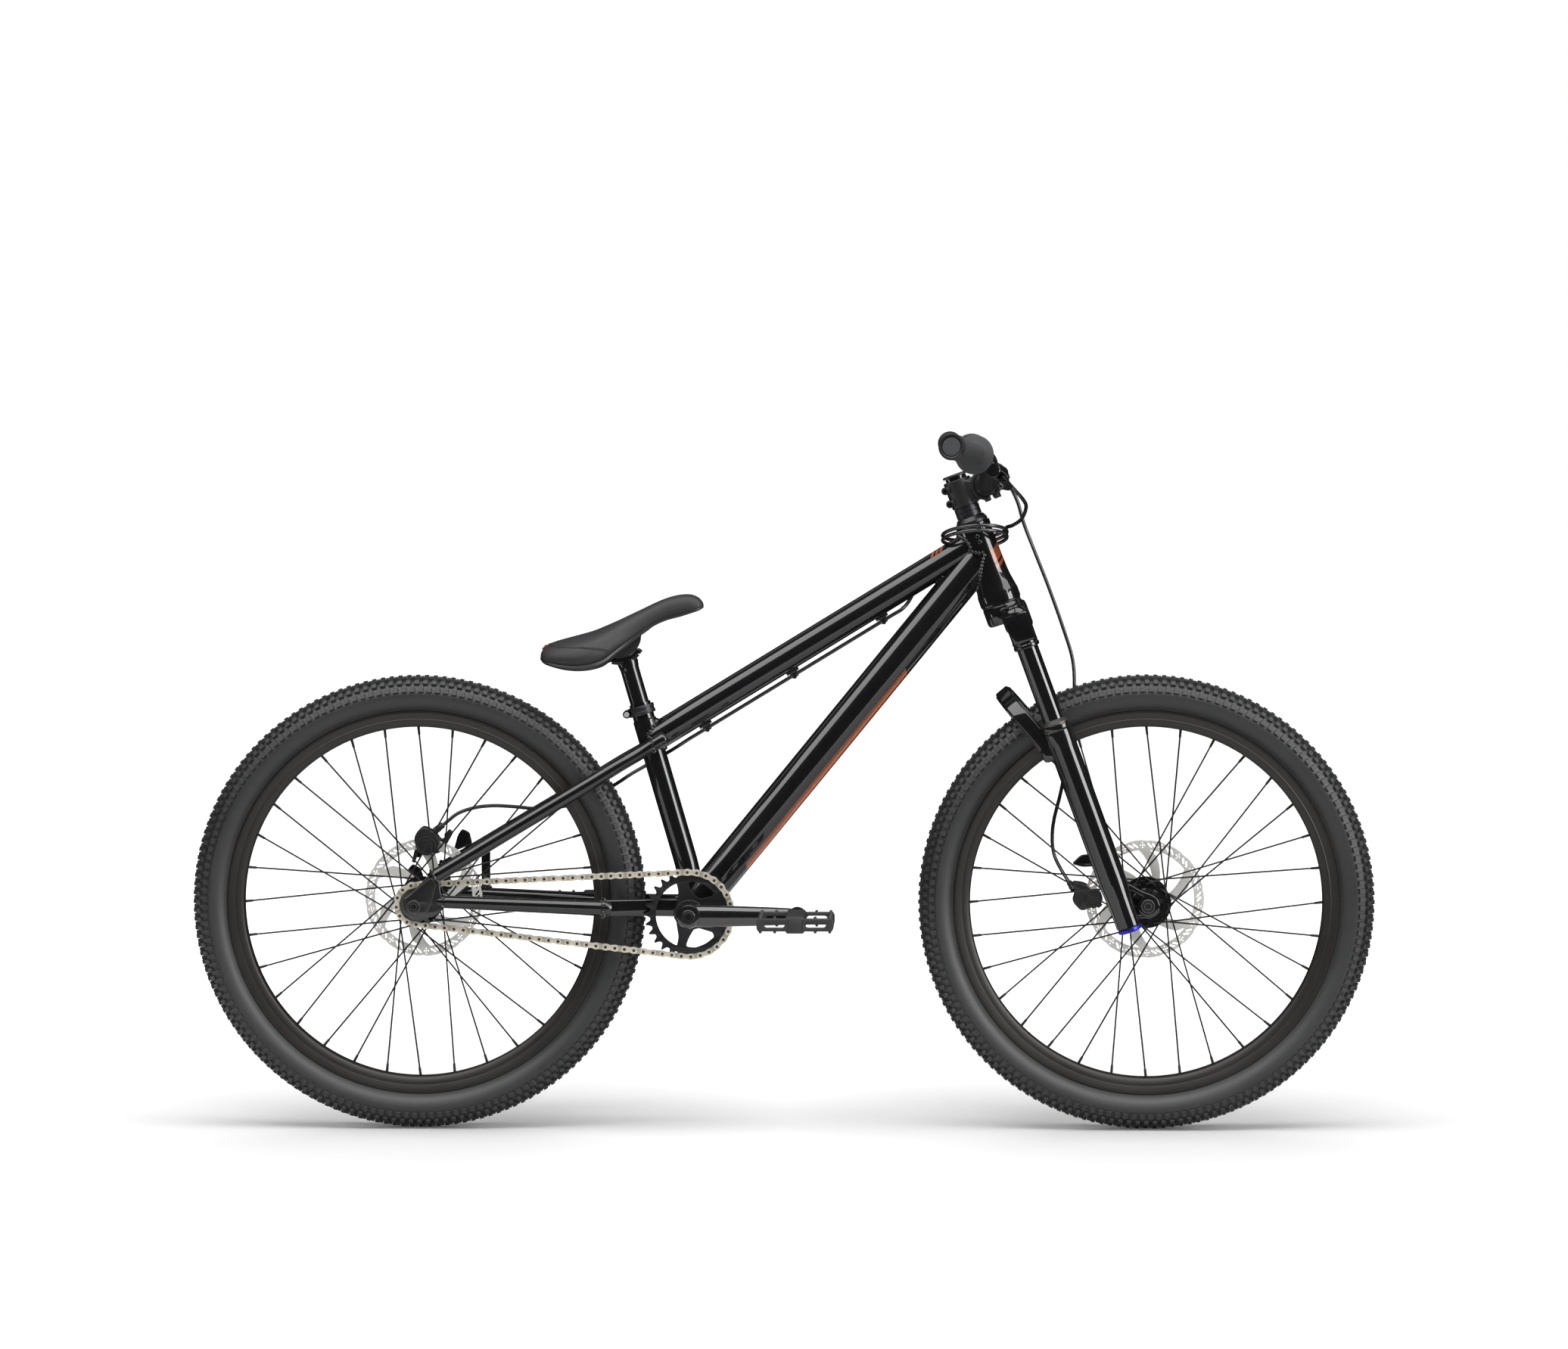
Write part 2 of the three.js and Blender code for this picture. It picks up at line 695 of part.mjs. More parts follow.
// Rear axle: a bolt-up axle with a flanged head at each end
function makeRearAxle() {
  const outer = dropout.inner + dropout.thickness + clearance;
  const head = outer + rearAxle.headWidth;
  const profile = [
    [0, -head],
    [rearAxle.headRadius, -head],
    [rearAxle.headRadius, -outer],
    [rearAxle.radius, -outer],
    [rearAxle.radius, outer],
    [rearAxle.headRadius, outer],
    [rearAxle.headRadius, head],
    [0, head],
  ];
  add('rear_axle', turned(profile, rearAxleAt, left, smallSides), 'blackSteel');
}

// Seat collar: a split band with a bolt eye behind the seat tube
const collar = {
  height: 12,
  wall: 2.6,
  drop: 3,
  eyeRadius: 5.5,
  eyeHalfWidth: 8,
  eyeBehind: 20.5,
  slot: 2,
};

function makeCollar() {
  const bottom = offset(seatAt(seatTubeTopHeight), [seatUp, -collar.height - collar.drop]);
  const top = offset(bottom, [seatUp, collar.height]);
  const inner = boreRound(seatTube.sleeveRadius);
  const band = bar(bottom, top, inner + collar.wall);
  const middle = offset(bottom, [seatUp, collar.height / 2]);
  const eye = offset(middle, [seatAhead, -collar.eyeBehind]);
  const lug = crossbar(eye, -collar.eyeHalfWidth, collar.eyeHalfWidth, collar.eyeRadius, smallSides);
  const neck = offset(middle, [seatAhead, -collar.eyeBehind + collar.eyeRadius / 2]);
  const neckBlock = block(
    neck,
    [collar.eyeRadius + collar.wall, collar.eyeHalfWidth * 2, collar.eyeRadius * 2],
    [seatAhead, left, seatUp],
  );
  const hole = bar(offset(bottom, [seatUp, -overrun]), offset(top, [seatUp, overrun]), inner);
  const slot = block(eye, [collar.eyeBehind, collar.slot, collar.height * 2], [seatAhead, left, seatUp]);
  add('seat_collar', cut(joined(band, lug, neckBlock), hole, slot), 'anodised');
}

// Seat post with a toothed cradle on top, and the saddle that tilts in it
const post = {
  tiltRise: 91,
  tiltBehind: 2.12,
  pivotRadius: 30,
  insertion: 150,
  boreRadius: 10.4,
  boreDepth: 168,
  cradleLength: 40,
  cradleWidth: 26,
  cradleHeight: 24,
  cradleNeck: 15,
};
const tiltAt = offset(seatAt(seatTubeTopHeight + post.tiltRise), [forward, -post.tiltBehind]);

function makeSeatpost() {
  const axisTop = seatAt(tiltAt.z - post.pivotRadius);
  const foot = offset(seatAt(seatTubeTopHeight), [seatUp, -post.insertion]);
  const neck = offset(axisTop, [seatUp, -post.cradleNeck]);
  const shaft = bar(foot, offset(axisTop, [seatUp, post.cradleNeck]), postRadius);
  const down = axisTop.clone().sub(tiltAt).normalize();
  const across = new THREE.Vector3(-down.z, 0, down.x);
  const cradlePlace = offset(tiltAt, [down, post.pivotRadius]);
  const cradle = block(
    cradlePlace,
    [post.cradleLength, post.cradleWidth, post.cradleHeight / 2],
    [across, left, down.clone().negate()],
  );
  const flareTop = offset(axisTop, [seatUp, clearance]);
  const flare = bar(neck, flareTop, postRadius, tubeSides, post.cradleWidth / 2);
  const half = post.cradleWidth;
  const seatRadius = boreRound(post.pivotRadius, wheelSegments);
  const seat = crossbar(tiltAt, -half, half, seatRadius, wheelSegments);
  const boreTop = offset(foot, [seatUp, post.boreDepth]);
  const bore = bar(offset(foot, [seatUp, -overrun]), boreTop, post.boreRadius);
  const whole = cut(joined(shaft, flare, cradle), seat, bore);
  add('seatpost', largest(whole), 'paint');
}

// Saddle stations as shares: [ahead of the tilt axis, top, underside, half width], with both
// heights from the tilt axis
const saddle = { reach: 114.5, rise: 55.8, halfWidth: 63 };
const saddleStationShares = [
  [-0.8996, -0.3763, -0.5376, 0.5397], [-0.7773, -0.1523, -0.6989, 0.8254],
  [-0.6201, -0.0538, -0.7796, 0.9524], [-0.4454, 0.0412, -0.81, 1], [-0.2882, 0.1344, -0.7796, 0.9524],
  [-0.1485, 0.2509, -0.69, 0.8254], [-0.0262, 0.3584, -0.4839, 0.6667],
  [0.1223, 0.5018, -0.233, 0.4921], [0.2707, 0.6452, 0.0179, 0.381], [0.4279, 0.7993, 0.2509, 0.3175],
  [0.5764, 0.9229, 0.3853, 0.2857], [0.7249, 0.9982, 0.4659, 0.2778], [0.8646, 1, 0.5556, 0.254],
  [0.952, 0.914, 0.6183, 0.1905], [1, 0.7885, 0.681, 0.0952],
];
const crownShares = [
  [0, 1], [0.45, 0.97], [0.8, 0.82], [0.97, 0.55], [1, 0.36], [0.93, 0.14], [0.72, 0], [0, 0.02],
];
const saddlePocket = { radius: 46, halfWidth: 15.5, ceiling: 2 };
const saddleBase = { halfWidth: 12.5 };

function makeSaddle() {
  const rings = saddleStationShares.map(([along, topShare, bottomShare, halfShare]) => {
    const x = along * saddle.reach;
    const bottom = bottomShare * saddle.rise;
    const height = topShare * saddle.rise - bottom;
    const half = halfShare * saddle.halfWidth;
    const near = crownShares.map(([wide, high]) => [half * wide, bottom + height * high]);
    const far = near.slice(1, -1).reverse().map(([y, z]) => [-y, z]);
    return [...near, ...far].map(([y, z]) => offset(tiltAt, [forward, x], [left, y], [upward, z]));
  });
  const { radius, halfWidth, ceiling } = saddlePocket;
  const below = block(
    offset(tiltAt, [upward, ceiling - radius]),
    [radius * 3, radius * 2, radius * 2],
  );
  const pocket = crossbar(tiltAt, -halfWidth, halfWidth, radius, fineSides).intersect(below);
  add('saddle_cover', largest(cut(loft(rings), pocket)), 'cover');
  const half = saddleBase.halfWidth;
  const lid = block(
    offset(tiltAt, [upward, ceiling - clearance - radius]),
    [radius * 3, radius * 2, radius * 2],
  );
  const disc = crossbar(tiltAt, -half, half, post.pivotRadius, wheelSegments).intersect(lid);
  add('saddle_base', disc, 'nylon');
}

// Fork: steerer and crown in one, two stanchions, and the sliding lower legs with their arch
const fork = {
  legSpread: 65,
  stanchionRadius: 14.5,
  stanchionWall: 2.2,
  stanchionLap: 150,
  stanchionShown: 101.3,
  socketDrop: 5,
  socketHeight: 53,
  socketRadius: 17.6,
  crownDrop: 3.2,
  crownDepth: 38,
  crownHalfWidth: 30,
  crownShoulder: 9,
  crownThickness: 27,
  bossRadius: 27,
  bossDepth: 25,
  steererAbove: 4,
  lowerLegRadius: 19,
  collarRadius: 20.2,
  collarHeight: 8,
  footRadius: 16.6,
  footDrop: 27,
  taperTopRise: 56,
  taperFootRise: 21,
  boreFloorRise: 21,
};
const socketTopHeight = headTubeFootHeight - fork.socketDrop;
const socketFootHeight = socketTopHeight - fork.socketHeight;
const sealHeight = socketFootHeight - fork.stanchionShown;
const legFootHeight = wheelRadius - fork.footDrop;

function legAt(height, sign) {
  const start = offset(steerAt(height), [forward, legOffset / Math.cos(headLean)]);
  return offset(start, [left, sign * fork.legSpread]);
}

function makeCrown() {
  const top = -headset.cupLip - clearance;
  const centre = offset(headFoot, [steerUp, top]);
  const run = (stemTopHeight + fork.steererAbove - centre.z) / Math.cos(headLean);
  const inside = offset(centre, [steerUp, -fork.bossDepth / 2]);
  const steerer = bar(inside, offset(centre, [steerUp, run]), steererRadius, tubeSides);
  const race = bar(
    inside,
    offset(centre, [steerUp, headset.cupLip + headTube.footSeatDepth / 2]),
    lowerBoreRadius * Math.cos(Math.PI / fineSides) - clearance,
  );
  const boss = bar(offset(centre, [steerUp, -fork.bossDepth]), centre, fork.bossRadius);
  const { legSpread, crownHalfWidth, crownShoulder, crownThickness } = fork;
  const outline = [
    [-crownHalfWidth, 0], [crownHalfWidth, 0],
    [legSpread, -crownShoulder], [legSpread, -crownShoulder - crownThickness],
    [crownHalfWidth, -crownThickness], [-crownHalfWidth, -crownThickness],
    [-legSpread, -crownShoulder - crownThickness], [-legSpread, -crownShoulder],
  ];
  const options = { depth: fork.crownDepth, bevelEnabled: false };
  const yoke = new THREE.ExtrudeGeometry(shapeOf(outline), options);
  const ahead = legOffset - fork.crownDepth / 2;
  const yokePlace = offset(centre, [steerAhead, ahead], [steerUp, -fork.crownDrop]);
  yoke.applyMatrix4(drawn(yokePlace, left, steerUp));
  const sockets = [];
  const bores = [];
  for (const { sign } of sides) {
    const socketTop = legAt(socketTopHeight, sign);
    const socketFoot = legAt(socketFootHeight, sign);
    sockets.push(bar(socketFoot, socketTop, fork.socketRadius));
    const boreTop = offset(socketTop, [steerUp, -crownShoulder]);
    bores.push(bar(offset(socketFoot, [steerUp, -overrun]), boreTop, fork.stanchionRadius + clearance));
  }
  const bore = bar(
    offset(centre, [steerUp, -fork.bossDepth - overrun]),
    offset(centre, [steerUp, run + overrun]),
    steererRadius - fork.stanchionWall,
    smallSides,
  );
  const crown = cut(joined(steerer, race, boss, solid(yoke), ...sockets), bore, ...bores);
  add('fork_crown', largest(crown), 'paint');
  for (const { name, sign } of sides) {
    const from = offset(legAt(sealHeight, sign), [steerUp, -fork.stanchionLap]);
    const to = offset(legAt(socketTopHeight, sign), [steerUp, -crownShoulder - clearance]);
    const tube = bar(from, to, fork.stanchionRadius);
    const inner = bar(
      offset(from, [steerUp, -overrun]),
      offset(to, [steerUp, overrun]),
      fork.stanchionRadius - fork.stanchionWall,
      smallSides,
    );
    add(`stanchion_${name}`, cut(tube, inner), 'stanchion');
  }
}

const frontDropout = {
  thickness: 12,
  radius: 17,
  rearReach: 30,
  lugRise: 26,
  lugDrop: 6,
};
const frontAxle = { radius: 7.5, headRadius: 9.5, headWidth: 1.5 };
const arch = {
  behind: 21,
  startDrop: 21.7,
  reach: 92,
  depth: 20,
  band: 11,
  lean: THREE.MathUtils.degToRad(40.2),
  cornerShare: 0.62,
  cornerSegments: 4,
};
const frontLugs = {
  inner: 50,
  thickness: 11,
  upperReach: 98,
  upperRise: 62,
  lowerReach: 62,
  lowerDrop: 31,
};
const upperFrontLugShares = [
  [-1, 0.7419], [-0.8776, 0.9355], [-0.5102, 1], [-0.4694, 0.7097], [-0.8571, 0.6774],
];
const lowerFrontLugShares = [
  [-1, -0.8387], [-0.8065, -1], [-0.5806, -0.7742], [-0.6452, -0.2581], [-0.871, -0.3871],
];
const frontLugOutlines = [
  fromShares(upperFrontLugShares, frontLugs.upperReach, frontLugs.upperRise),
  fromShares(lowerFrontLugShares, frontLugs.lowerReach, frontLugs.lowerDrop),
];

function archBody() {
  const leg = legAt(sealHeight - arch.startDrop, 0);
  const start = offset(leg, [steerAhead, -arch.behind]);
  const rise = new THREE.Vector3(-Math.sin(arch.lean), 0, Math.cos(arch.lean));
  const half = fork.legSpread;
  const outer = archOutline(half + arch.band / 2, arch.reach);
  const inner = archOutline(half - arch.band / 2, arch.reach - arch.band);
  const outline = [...outer, ...inner.reverse()];
  const geometry = new THREE.ExtrudeGeometry(shapeOf(outline), { depth: arch.depth, bevelEnabled: false });
  const matrix = drawn(start, left, rise);
  const depthWay = new THREE.Vector3().crossVectors(left, rise);
  geometry.applyMatrix4(matrix);
  geometry.applyMatrix4(new THREE.Matrix4().makeTranslation(depthWay.multiplyScalar(-arch.depth / 2)));
  return solid(geometry);
}

// Half hoop outline: straight sides, then an elliptic top
function archOutline(half, reach) {
  const straight = reach * (1 - arch.cornerShare);
  const points = [[half, 0]];
  const count = arch.cornerSegments * 2;
  for (let i = 0; i <= count; i += 1) {
    const angle = (i / count) * Math.PI;
    points.push([half * Math.cos(angle), straight + reach * arch.cornerShare * Math.sin(angle)]);
  }
  points.push([-half, 0]);
  return points;
}

function makeLowers() {
  const pieces = [archBody()];
  const tools = [];
  for (const { sign } of sides) {
    const foot = legAt(legFootHeight, sign);
    const seal = legAt(sealHeight, sign);
    const length = seal.clone().sub(foot).length();
    const taper = (rise) => rise / Math.cos(headLean);
    const profile = [
      [0, 0],
      [fork.footRadius, 0],
      [fork.footRadius, taper(fork.taperFootRise)],
      [fork.lowerLegRadius, taper(fork.taperTopRise)],
      [fork.lowerLegRadius, length - fork.collarHeight],
      [fork.collarRadius, length - fork.collarHeight],
      [fork.collarRadius, length],
      [0, length],
    ];
    pieces.push(turned(profile, foot, steerUp, tubeSides));
    const inner = sign * (frontSpacing / 2);
    const outer = sign * (frontSpacing / 2 + frontDropout.thickness);
    pieces.push(crossbar(frontAxleAt, inner, outer, frontDropout.radius));
    const { rearReach, lugRise, lugDrop, radius } = frontDropout;
    const web = [
      [0, radius], [-rearReach, lugRise + radius / 2], [-rearReach, -lugDrop - radius], [0, -radius],
    ].map(([x, z]) => [frontAxleAt.x + x, frontAxleAt.z + z]);
    pieces.push(sidePlate(web, inner, outer));
    tools.push(bar(
      legAt(legFootHeight + fork.boreFloorRise, sign),
      offset(seal, [steerUp, overrun]),
      fork.stanchionRadius + clearance,
    ));
  }
  const { inner, thickness } = frontLugs;
  for (const lug of frontLugOutlines) {
    pieces.push(sidePlate(besideAxle(frontAxleAt, lug), inner, inner + thickness));
  }
  const past = frontSpacing / 2 + frontDropout.thickness + overrun;
  tools.push(crossbar(frontAxleAt, -past, past, frontAxle.radius + clearance));
  add('fork_lowers', cut(joined(...pieces), ...tools), 'paint');
}

function makeFrontAxle() {
  const outer = frontSpacing / 2 + frontDropout.thickness + clearance;
  const head = outer + frontAxle.headWidth;
  const profile = [
    [0, -head],
    [frontAxle.headRadius, -head],
    [frontAxle.headRadius, -outer],
    [frontAxle.radius, -outer],
    [frontAxle.radius, outer],
    [frontAxle.headRadius, outer],
    [frontAxle.headRadius, head],
    [0, head],
  ];
  add('front_axle', turned(profile, frontAxleAt, left, tubeSides), 'blackSteel');
}

// Rebound knob under the right leg
const knob = { radius: 15.8, height: 6.5 };

function makeKnob() {
  const top = offset(legAt(legFootHeight, -1), [steerUp, -clearance]);
  add('rebound_knob', bar(offset(top, [steerUp, -knob.height]), top, knob.radius), 'violet');
}

// Wheels: tyre, rim, hub, a set of spokes at each side and a brake disc
const tyreHeight = 48;
const rimDepth = 22;
const rimBedDepth = 9;
const beadRise = 1.5;
const tyreWidestRise = 25;
const rimFlangeRadius = wheelRadius - tyreHeight;
const rimBedRadius = rimFlangeRadius - rimBedDepth;
const rimSection = {
  innerRadius: rimFlangeRadius - rimDepth,
  innerHalf: 10,
  flangeRadius: rimFlangeRadius,
  flangeHalf: 15,
  wall: 2.4,
  bedRadius: rimBedRadius,
};
const tyreSection = {
  beadRadius: rimBedRadius + beadRise,
  beadHalf: 12.3,
  beadWall: 3,
  halfWidth: 26.5,
  widestRadius: rimFlangeRadius + tyreWidestRise,
  wall: 3,
  shoulderShares: [0.68, 0.8],
  crownShare: 0.36,
};
const spoke = {
  count: 16,
  radius: 1.25,
  hubRadius: 27.5,
  standOff: 0.9,
  crossing: THREE.MathUtils.degToRad(67.5),
  rimHalf: 1.6,
};
const hubs = {
  rear: {
    at: rearAxleAt,
    bore: boreRound(rearAxle.radius),
    rightEnd: -34,
    leftEnd: rearSpacing / 2 - clearance,
    flanges: [-25, 32],
    flangeRadius: 31,
    discSeat: 51,
    endRadius: 9,
  },
  front: {
    at: frontAxleAt,
    bore: boreRound(frontAxle.radius, fineSides),
    rightEnd: clearance - frontSpacing / 2,
    leftEnd: frontSpacing / 2 - clearance,
    flanges: [-28, 22],
    flangeRadius: 32.5,
    discSeat: 38.3,
    endRadius: 11,
  },
};
const hubShape = { barrelRadius: 14, neckRadius: 19, flangeThickness: 3, spigotRadius: 17, spigot: 3.5 };
const disc = { radius: 80, thickness: 1.8, trackInner: 66, carrierRadius: 27 };
const discArms = {
  count: 6,
  widthShare: 0.26,
  sweepShare: 0.55,
  footStartShare: 0.15,
  footSpanShare: 0.7,
};
const discWindowSteps = 2;

function makeTyre(name, at) {
  const { beadRadius, beadHalf, beadWall, halfWidth, widestRadius, wall } = tyreSection;
  const { shoulderShares, crownShare } = tyreSection;
  const { flangeRadius } = rimSection;
  const rise = wheelRadius - widestRadius;
  const half = [
    [beadRadius, beadHalf],
    [flangeRadius + clearance, beadHalf],
    [widestRadius, halfWidth],
    [widestRadius + rise * shoulderShares[0], halfWidth * shoulderShares[1]],
    [wheelRadius, halfWidth * crownShare],
  ];
  const inner = [
    [wheelRadius - wall * 2, 0],
    [widestRadius, halfWidth - wall],
    [beadRadius, beadHalf - beadWall],
  ];
  const mirrored = (points) => points.map(([r, y]) => [r, -y]);
  const profile = [...half, ...mirrored(half).reverse(), ...mirrored(inner).reverse(), ...inner.slice(1)];
  add(name, turnedRing(profile, at, left, wheelSegments), 'tyre');
}

function makeRim(name, at) {
  const { innerRadius, innerHalf, flangeRadius, flangeHalf, wall, bedRadius } = rimSection;
  const half = [
    [innerRadius, innerHalf],
    [flangeRadius, flangeHalf],
    [flangeRadius, flangeHalf - wall],
    [bedRadius, flangeHalf - wall],
  ];
  const profile = [...half, ...half.map(([r, y]) => [r, -y]).reverse()];
  add(name, turnedRing(profile, at, left, wheelSegments), 'rim');
}

function makeHub(name, hub) {
  const { barrelRadius, neckRadius, flangeThickness, spigotRadius, spigot } = hubShape;
  const { bore, rightEnd, leftEnd, flanges, flangeRadius, discSeat, endRadius } = hub;
  const [right, far] = flanges;
  const web = flangeThickness / 2;
  const profile = [
    [bore, rightEnd],
    [hub === hubs.rear ? neckRadius : endRadius, rightEnd],
    [neckRadius, right - web],
    [flangeRadius, right - web],
    [flangeRadius, right + web],
    [barrelRadius, right + web * 3],
    [barrelRadius, far - web * 3],
    [flangeRadius, far - web],
    [flangeRadius, far + web],
    [neckRadius, far + web],
    [neckRadius + web, discSeat],
    [spigotRadius, discSeat],
    [spigotRadius, discSeat + spigot],
    [endRadius, discSeat + spigot],
    [endRadius, leftEnd],
    [bore, leftEnd],
  ];
  add(name, turnedRing(profile, hub.at, left, fineSides), 'anodised');
}

// Spokes of one side, laced three cross and fused where they touch: laid flat, then raised to a cone
function makeSpokes(name, hub, flange, holeTurn) {
  const sign = Math.sign(flange);
  const lean = ((hub.flangeRadius - spoke.hubRadius) * Math.abs(flange)) / rimSection.innerRadius;
  const hubY = flange + sign * (hubShape.flangeThickness / 2 + spoke.standOff + spoke.radius + lean);
  const rimY = sign * spoke.rimHalf;
  const rimReach = rimSection.innerRadius - clearance * 2;
  const bars = [];
  for (let i = 0; i < spoke.count; i += 1) {
    const rimAngle = ((i + holeTurn) / spoke.count) * Math.PI * 2;
    const hubAngle = rimAngle + (i % 2 === 0 ? spoke.crossing : -spoke.crossing);
    const outward = new THREE.Vector3(Math.sin(hubAngle), 0, Math.cos(hubAngle));
    const from = outward.multiplyScalar(spoke.hubRadius);
    const to = new THREE.Vector3(Math.sin(rimAngle), 0, Math.cos(rimAngle)).multiplyScalar(rimReach);
    const along = to.clone().sub(from);
    const length = along.length();
    along.normalize();
    const across = new THREE.Vector3().crossVectors(left, along);
    const lengths = [spoke.radius * 2, spoke.radius * 2, length];
    bars.push(block(from.add(to).multiplyScalar(1 / 2), lengths, [across, left, along]));
  }
  const geometry = geometryOf(joined(...bars));
  const place = geometry.attributes.position;
  for (let i = 0; i < place.count; i += 1) {
    const radius = Math.hypot(place.getX(i), place.getZ(i));
    const share = (radius - spoke.hubRadius) / (rimReach - spoke.hubRadius);
    const y = place.getY(i) + THREE.MathUtils.lerp(hubY, rimY, share);
    place.setXYZ(i, place.getX(i) + hub.at.x, y, place.getZ(i) + hub.at.z);
  }
  add(name, solid(geometry), 'spoke');
}

function makeDisc(name, hub) {
  const outline = shapeOf(roundOutline(disc.radius, wheelSegments));
  const holes = [ringHole(boreRound(hubShape.spigotRadius, fineSides), fineSides)];
  const { count, widthShare, sweepShare, footStartShare, footSpanShare } = discArms;
  const step = (Math.PI * 2) / count;
  const reach = step * (1 - widthShare);
  for (let i = 0; i < count; i += 1) {
    const start = i * step;
    const window = [];
    for (let k = 0; k <= discWindowSteps; k += 1) {
      const angle = start + step * sweepShare + (reach * k) / discWindowSteps;
      window.push([disc.trackInner * Math.cos(angle), disc.trackInner * Math.sin(angle)]);
    }
    for (let k = discWindowSteps; k >= 0; k -= 1) {
      const angle = start + reach * footStartShare + (reach * footSpanShare * k) / discWindowSteps;
      window.push([disc.carrierRadius * Math.cos(angle), disc.carrierRadius * Math.sin(angle)]);
    }
    holes.push(new THREE.Path(window.map(([x, y]) => new THREE.Vector2(x, y))));
  }
  outline.holes = holes;
  const geometry = new THREE.ExtrudeGeometry(outline, { depth: disc.thickness, bevelEnabled: false });
  const seatY = hub.discSeat + clearance + disc.thickness;
  geometry.applyMatrix4(drawn(offset(hub.at, [left, seatY]), forward, upward));
  add(name, solid(geometry), 'steel');
}

function makeWheels() {
  for (const [name, hub] of Object.entries(hubs)) {
    makeTyre(`${name}_tyre`, hub.at);
    makeRim(`${name}_rim`, hub.at);
    makeHub(`${name}_hub`, hub);
    const [right, far] = hub.flanges;
    makeSpokes(`${name}_spokes_right`, hub, right, 0);
    makeSpokes(`${name}_spokes_left`, hub, far, 1 / 2);
    makeDisc(`${name}_brake_disc`, hub);
  }
}

// Drive: chainring, sprocket with its freewheel body, and the chain round both
const pitchRadius = (teeth) => chainPitch / (2 * Math.sin(Math.PI / teeth));
const tooth = { root: 3.9, tip: 3.4, thickness: 2.2, tipShare: 0.12 };
const freewheel = { bodyRadius: 17 };
const chainringWindows = { inner: 21, outer: 45, spanShare: 0.62, count: 3 };
const chain = {
  plateThickness: 2.1,
  plateHalfHeight: 4.2,
  pinRadius: 2.2,
  toothRoom: 28,
  pinStepCount: 4,
  pinSides: 4,
};

function toothedOutline(teeth) {
  const radius = pitchRadius(teeth);
  const points = [];
  for (let i = 0; i < teeth; i += 1) {
    const step = (Math.PI * 2) / teeth;
    const middle = i * step;
    const places = [
      [-1 / 2, radius - tooth.root], [-tooth.tipShare, radius + tooth.tip],
      [tooth.tipShare, radius + tooth.tip],
    ];
    for (const [share, r] of places) {
      points.push([r * Math.cos(middle + share * step), r * Math.sin(middle + share * step)]);
    }
  }
  return points;
}

function makeChainring() {
  const shape = shapeOf(toothedOutline(ringTeeth));
  shape.holes = [ringHole(boreRound(crank.bossRadius), tubeSides)];
  const { inner, outer, spanShare, count } = chainringWindows;
  const corners = 4;
  for (let i = 0; i < count; i += 1) {
    const middle = Math.PI + (i / count) * Math.PI * 2;
    const half = (Math.PI / count) * spanShare;
    const window = [];
    for (let k = 0; k <= corners; k += 1) {
      const angle = middle - half + (2 * half * k) / corners;
      window.push([outer * Math.cos(angle), outer * Math.sin(angle)]);
    }
    for (const corner of [middle + half * spanShare, middle - half * spanShare])
      window.push([inner * Math.cos(corner), inner * Math.sin(corner)]);
    shape.holes.push(new THREE.Path(window.map(([x, y]) => new THREE.Vector2(x, y))));
  }
  const options = { depth: tooth.thickness, bevelEnabled: false, curveSegments: smallSides };
  const geometry = new THREE.ExtrudeGeometry(shape, options);
  const place = offset(bracketAt, [left, tooth.thickness / 2 - chainline]);
  geometry.applyMatrix4(drawn(place, forward, upward));
  add('chainring', solid(geometry), 'anodised');
}

function makeSprocket() {
  const shape = shapeOf(toothedOutline(cogTeeth));
  shape.holes = [ringHole(freewheel.bodyRadius - tooth.thickness, smallSides)];
  const options = { depth: tooth.thickness, bevelEnabled: false, curveSegments: pinSides };
  const geometry = new THREE.ExtrudeGeometry(shape, options);
  const middle = offset(rearAxleAt, [left, tooth.thickness / 2 - chainline]);
  geometry.applyMatrix4(drawn(middle, forward, upward));
  const inner = hubs.rear.rightEnd - clearance;
  const outer = clearance - rearSpacing / 2;
  const body = [
    [hubs.rear.bore, outer],
    [freewheel.bodyRadius, outer],
    [freewheel.bodyRadius, inner],
    [hubs.rear.bore, inner],
  ];
  const collar = turnedRing(body, rearAxleAt, left, tubeSides);
  add('rear_sprocket', joined(collar, solid(geometry)), 'blackSteel');
}

